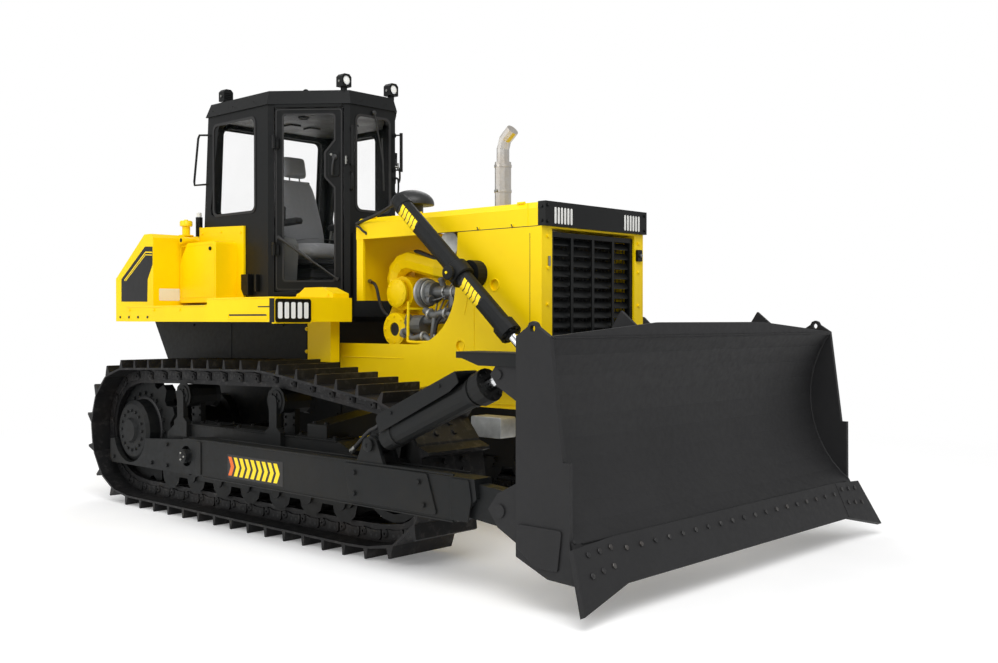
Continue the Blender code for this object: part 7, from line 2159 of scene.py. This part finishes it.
    def add_light_bar(self, side, name):
        """Dark lamp box on the fender's nose with five upright white bars."""
        place = front_place(LIGHT_BAR_X)
        shape = bmesh.new()
        low_y, high_y = sorted((side * 1.0, side * 1.262))
        frame_strip(shape, soft_rect(low_y - 0.012, 1.41, high_y + 0.012, 1.564, 0.018, 4),
                    soft_rect(low_y, 1.422, high_y, 1.552, 0.012, 4), -0.001, 0.006, place)
        plate(shape, rect(low_y - 0.002, 1.42, high_y + 0.002, 1.554), -0.001, 0.0016, place)
        plate(shape, rect(1.95, 1.41, LIGHT_BAR_X, 1.566), -0.001, 0.0016, side_place(side, FENDER_FACE))
        close(f"light_bar_box_{name}", shape, "black")
        shape = bmesh.new()
        for k in range(5):
            y = low_y + (high_y - low_y) * (k + 0.5) / 5
            plate(shape, soft_rect(y - 0.017, 1.434, y + 0.017, 1.542, 0.01, 4), -0.001, 0.005, place)
        close(f"light_bars_{name}", shape, "lens", bevel=0.0015)
        heads = [(world(LIGHT_BAR_X, y, z), FORWARD) for y in (low_y - 0.006, high_y + 0.006)
                 for z in (1.416, 1.558)]
        bolts(f"light_bar_screws_{name}", heads, "zinc", size=0.007, washer=False)

    def add_box(self, side, name):
        """Lid seam, latch and bolts of the side box, and the bracket at the cab's foot."""
        place = side_place(side, BOX_FACE)
        shape = bmesh.new()
        frame_strip(shape, soft_rect(0.105, 1.6, 0.59, 2.012, 0.03, 5),
                    soft_rect(0.111, 1.606, 0.584, 2.006, 0.027, 5), -0.001, 0.003, place)
        close(f"box_lid_{name}", shape, "yellow", bevel=0.001)
        turned(f"box_latch_{name}", capped((0.014, 0), (0.014, 0.01), (0.008, 0.014)),
               world(0.533, side * BOX_FACE, 1.975), (0, side, 0), "black", 16)
        shape = bmesh.new()
        outline = [(0.707, 1.775), (0.707, 1.66), (0.74, 1.612), (0.8, 1.612), (0.8, 1.775)]
        plate(shape, outline, 0.0, 0.045, side_place(side, CAB_HALF))
        plate(shape, rect(0.86, 1.64, 0.885, 1.77), 0.0, 0.03, side_place(side, CAB_HALF))
        close(f"cab_foot_bracket_{name}", shape, "black", bevel=0.004)
        heads = [(world(x, side * 0.638, z), (0, side, 0))
                 for x, z in ((0.67, 2.1), (0.4, 2.12), (0.13, 2.12))]
        heads += [(world(x, side * 0.76, 1.6), (0, side, 0)) for x in (1.56, 1.9)]
        bolts(f"box_bolts_{name}", heads, "yellow", size=0.016)

    def add_skirt(self, side, name):
        """Seam strip and two bolts of the dark platform skirt."""
        slab(f"skirt_seam_{name}", rect(0.628, 1.1, 0.634, 1.4), -0.001, 0.003, side_place(side, SKIRT_FACE),
             "black")
        heads = [(world(x, side * SKIRT_FACE, 1.385), (0, side, 0)) for x in (0.1, 1.3)]
        bolts(f"skirt_bolts_{name}", heads, "black", size=0.016)


# Stage

CAMERA_PLACE = (5.8181, -5.4988, 1.4276)
CAMERA_TURN = (math.radians(89.375), 0, math.radians(42.91))
LAMP_TARGET = Vector((0, 0, 1.2))


class BULLDOZER_OT_stage(bpy.types.Operator):
    """Pale floor, soft studio light and the camera"""
    bl_idname = "bulldozer.stage"
    bl_label = "Stage"

    def execute(self, context):
        settings = context.scene.bulldozer_stage
        self.add_floor(settings.floor_size)
        self.add_world()
        self.add_lamps(settings.key_power)
        camera = bpy.data.cameras.new("photo_camera")
        camera.lens = settings.lens
        camera.sensor_width = 36
        camera.clip_end = 500
        obj = add_object("photo_camera", camera)
        obj.location = CAMERA_PLACE
        obj.rotation_euler = CAMERA_TURN
        context.scene.camera = obj
        context.scene.view_settings.view_transform = "Standard"
        return {"FINISHED"}

    def add_floor(self, size):
        """Square floor, pale beneath the machine and plain white to the camera farther out."""
        half = size / 2
        shape = bmesh.new()
        shape.faces.new([shape.verts.new((x, y, 0)) for x, y in rect(-half, -half, half, half)])
        bmesh.ops.recalc_face_normals(shape, faces=shape.faces)
        obj = add_object("studio_floor", mesh_of("studio_floor", shape))
        obj.location.z = FLOOR_Z - 0.001
        finish = Finish("floor_white", srgb(246, 246, 246), 0.8)
        finish.put("Emission Color", srgb(250, 250, 250))
        finish.shader.inputs["Emission Strength"].default_value = 0.18
        grain = finish.noise(3.0, 3)
        finish.put("Base Color",
                   finish.mix(finish.between(grain, 0.3, 0.7), srgb(244, 244, 244), srgb(248, 248, 248)))
        self.fade_floor(finish)
        obj.data.materials.append(finish.material)

    def fade_floor(self, finish):
        """Hand the floor over to plain white, for the camera alone, away from the machine."""
        x, y, _ = finish.axes()
        distance = (x * x + y * y) ** 0.5
        path = finish.nodes.new("ShaderNodeLightPath")
        seen = Field(finish, path.outputs["Is Camera Ray"]) + Field(finish,
                path.outputs["Is Transmission Ray"])
        glow = finish.nodes.new("ShaderNodeEmission")
        blend = finish.nodes.new("ShaderNodeMixShader")
        finish.feed(blend.inputs[0], finish.between(distance, 4.2, 8.0) * seen)
        finish.links.new(finish.shader.outputs[0], blend.inputs[1])
        finish.links.new(glow.outputs[0], blend.inputs[2])
        finish.links.new(blend.outputs[0], finish.nodes["Material Output"].inputs["Surface"])

    def add_world(self):
        """White to the camera and through glass, softer where it lights."""
        sky = bpy.data.worlds.new("studio_world")
        sky.use_nodes = True
        nodes, links = sky.node_tree.nodes, sky.node_tree.links
        background = nodes["Background"]
        path = nodes.new("ShaderNodeLightPath")
        seen = nodes.new("ShaderNodeMath")
        seen.operation = "MAXIMUM"
        links.new(path.outputs["Is Camera Ray"], seen.inputs[0])
        links.new(path.outputs["Is Transmission Ray"], seen.inputs[1])
        strength = nodes.new("ShaderNodeMapRange")
        strength.inputs["To Min"].default_value = 0.62
        strength.inputs["To Max"].default_value = 1.0
        links.new(seen.outputs[0], strength.inputs["Value"])
        links.new(strength.outputs[0], background.inputs["Strength"])
        background.inputs["Color"].default_value = (1, 1, 1, 1)
        bpy.context.scene.world = sky

    def add_lamps(self, power):
        """A broad key above the front, a weaker one beside the blade and a rim behind."""
        for name, place, size, share in (
            ("key_lamp", (5.0, -4.0, 8.5), 7.0, 1.0),
            ("side_lamp", (-3.0, -8.0, 5.5), 6.0, 0.35),
            ("rear_lamp", (-6.0, 6.0, 7.0), 6.0, 0.4),
        ):
            lamp = bpy.data.lights.new(name, "AREA")
            lamp.size = size
            lamp.energy = power * share
            obj = add_object(name, lamp)
            obj.location = place
            obj.rotation_euler = (LAMP_TARGET - Vector(place)).to_track_quat("-Z", "Y").to_euler()


PIECES = (
    BULLDOZER_OT_finishes,
    BULLDOZER_OT_chains,
    BULLDOZER_OT_rollers,
    BULLDOZER_OT_main_frame,
    BULLDOZER_OT_arms,
    BULLDOZER_OT_blade,
    BULLDOZER_OT_lift,
    BULLDOZER_OT_hood,
    BULLDOZER_OT_stack,
    BULLDOZER_OT_engine,
    BULLDOZER_OT_cab,
    BULLDOZER_OT_doors,
    BULLDOZER_OT_seat,
    BULLDOZER_OT_controls,
    BULLDOZER_OT_rear,
    BULLDOZER_OT_stage,
)


class BULLDOZER_PT_panel(bpy.types.Panel):
    """Builds the machine's finishes and fittings"""
    bl_idname = "BULLDOZER_PT_panel"
    bl_label = "Bulldozer"
    bl_space_type = "VIEW_3D"
    bl_region_type = "UI"
    bl_category = "Bulldozer"

    def draw(self, context):
        layout = self.layout
        for settings in GROUPS:
            group = getattr(context.scene, settings)
            section = layout.box()
            for name in group.__annotations__:
                section.prop(group, name)
        for piece in PIECES:
            layout.operator(piece.bl_idname)


GROUPS = {
    "bulldozer_bodywork": BodyworkSettings,
    "bulldozer_fittings": FittingSettings,
    "bulldozer_stage": StageSettings,
}


def register():
    for name, group in GROUPS.items():
        bpy.utils.register_class(group)
        setattr(bpy.types.Scene, name, bpy.props.PointerProperty(type=group))
    for piece in PIECES:
        bpy.utils.register_class(piece)
    bpy.utils.register_class(BULLDOZER_PT_panel)


def unregister():
    bpy.utils.unregister_class(BULLDOZER_PT_panel)
    for piece in reversed(PIECES):
        bpy.utils.unregister_class(piece)
    for name, group in reversed(GROUPS.items()):
        delattr(bpy.types.Scene, name)
        bpy.utils.unregister_class(group)


def main():
    register()
    for piece in PIECES:
        getattr(bpy.ops.bulldozer, piece.bl_idname.split(".")[1])()


if __name__ == "__main__":
    main()
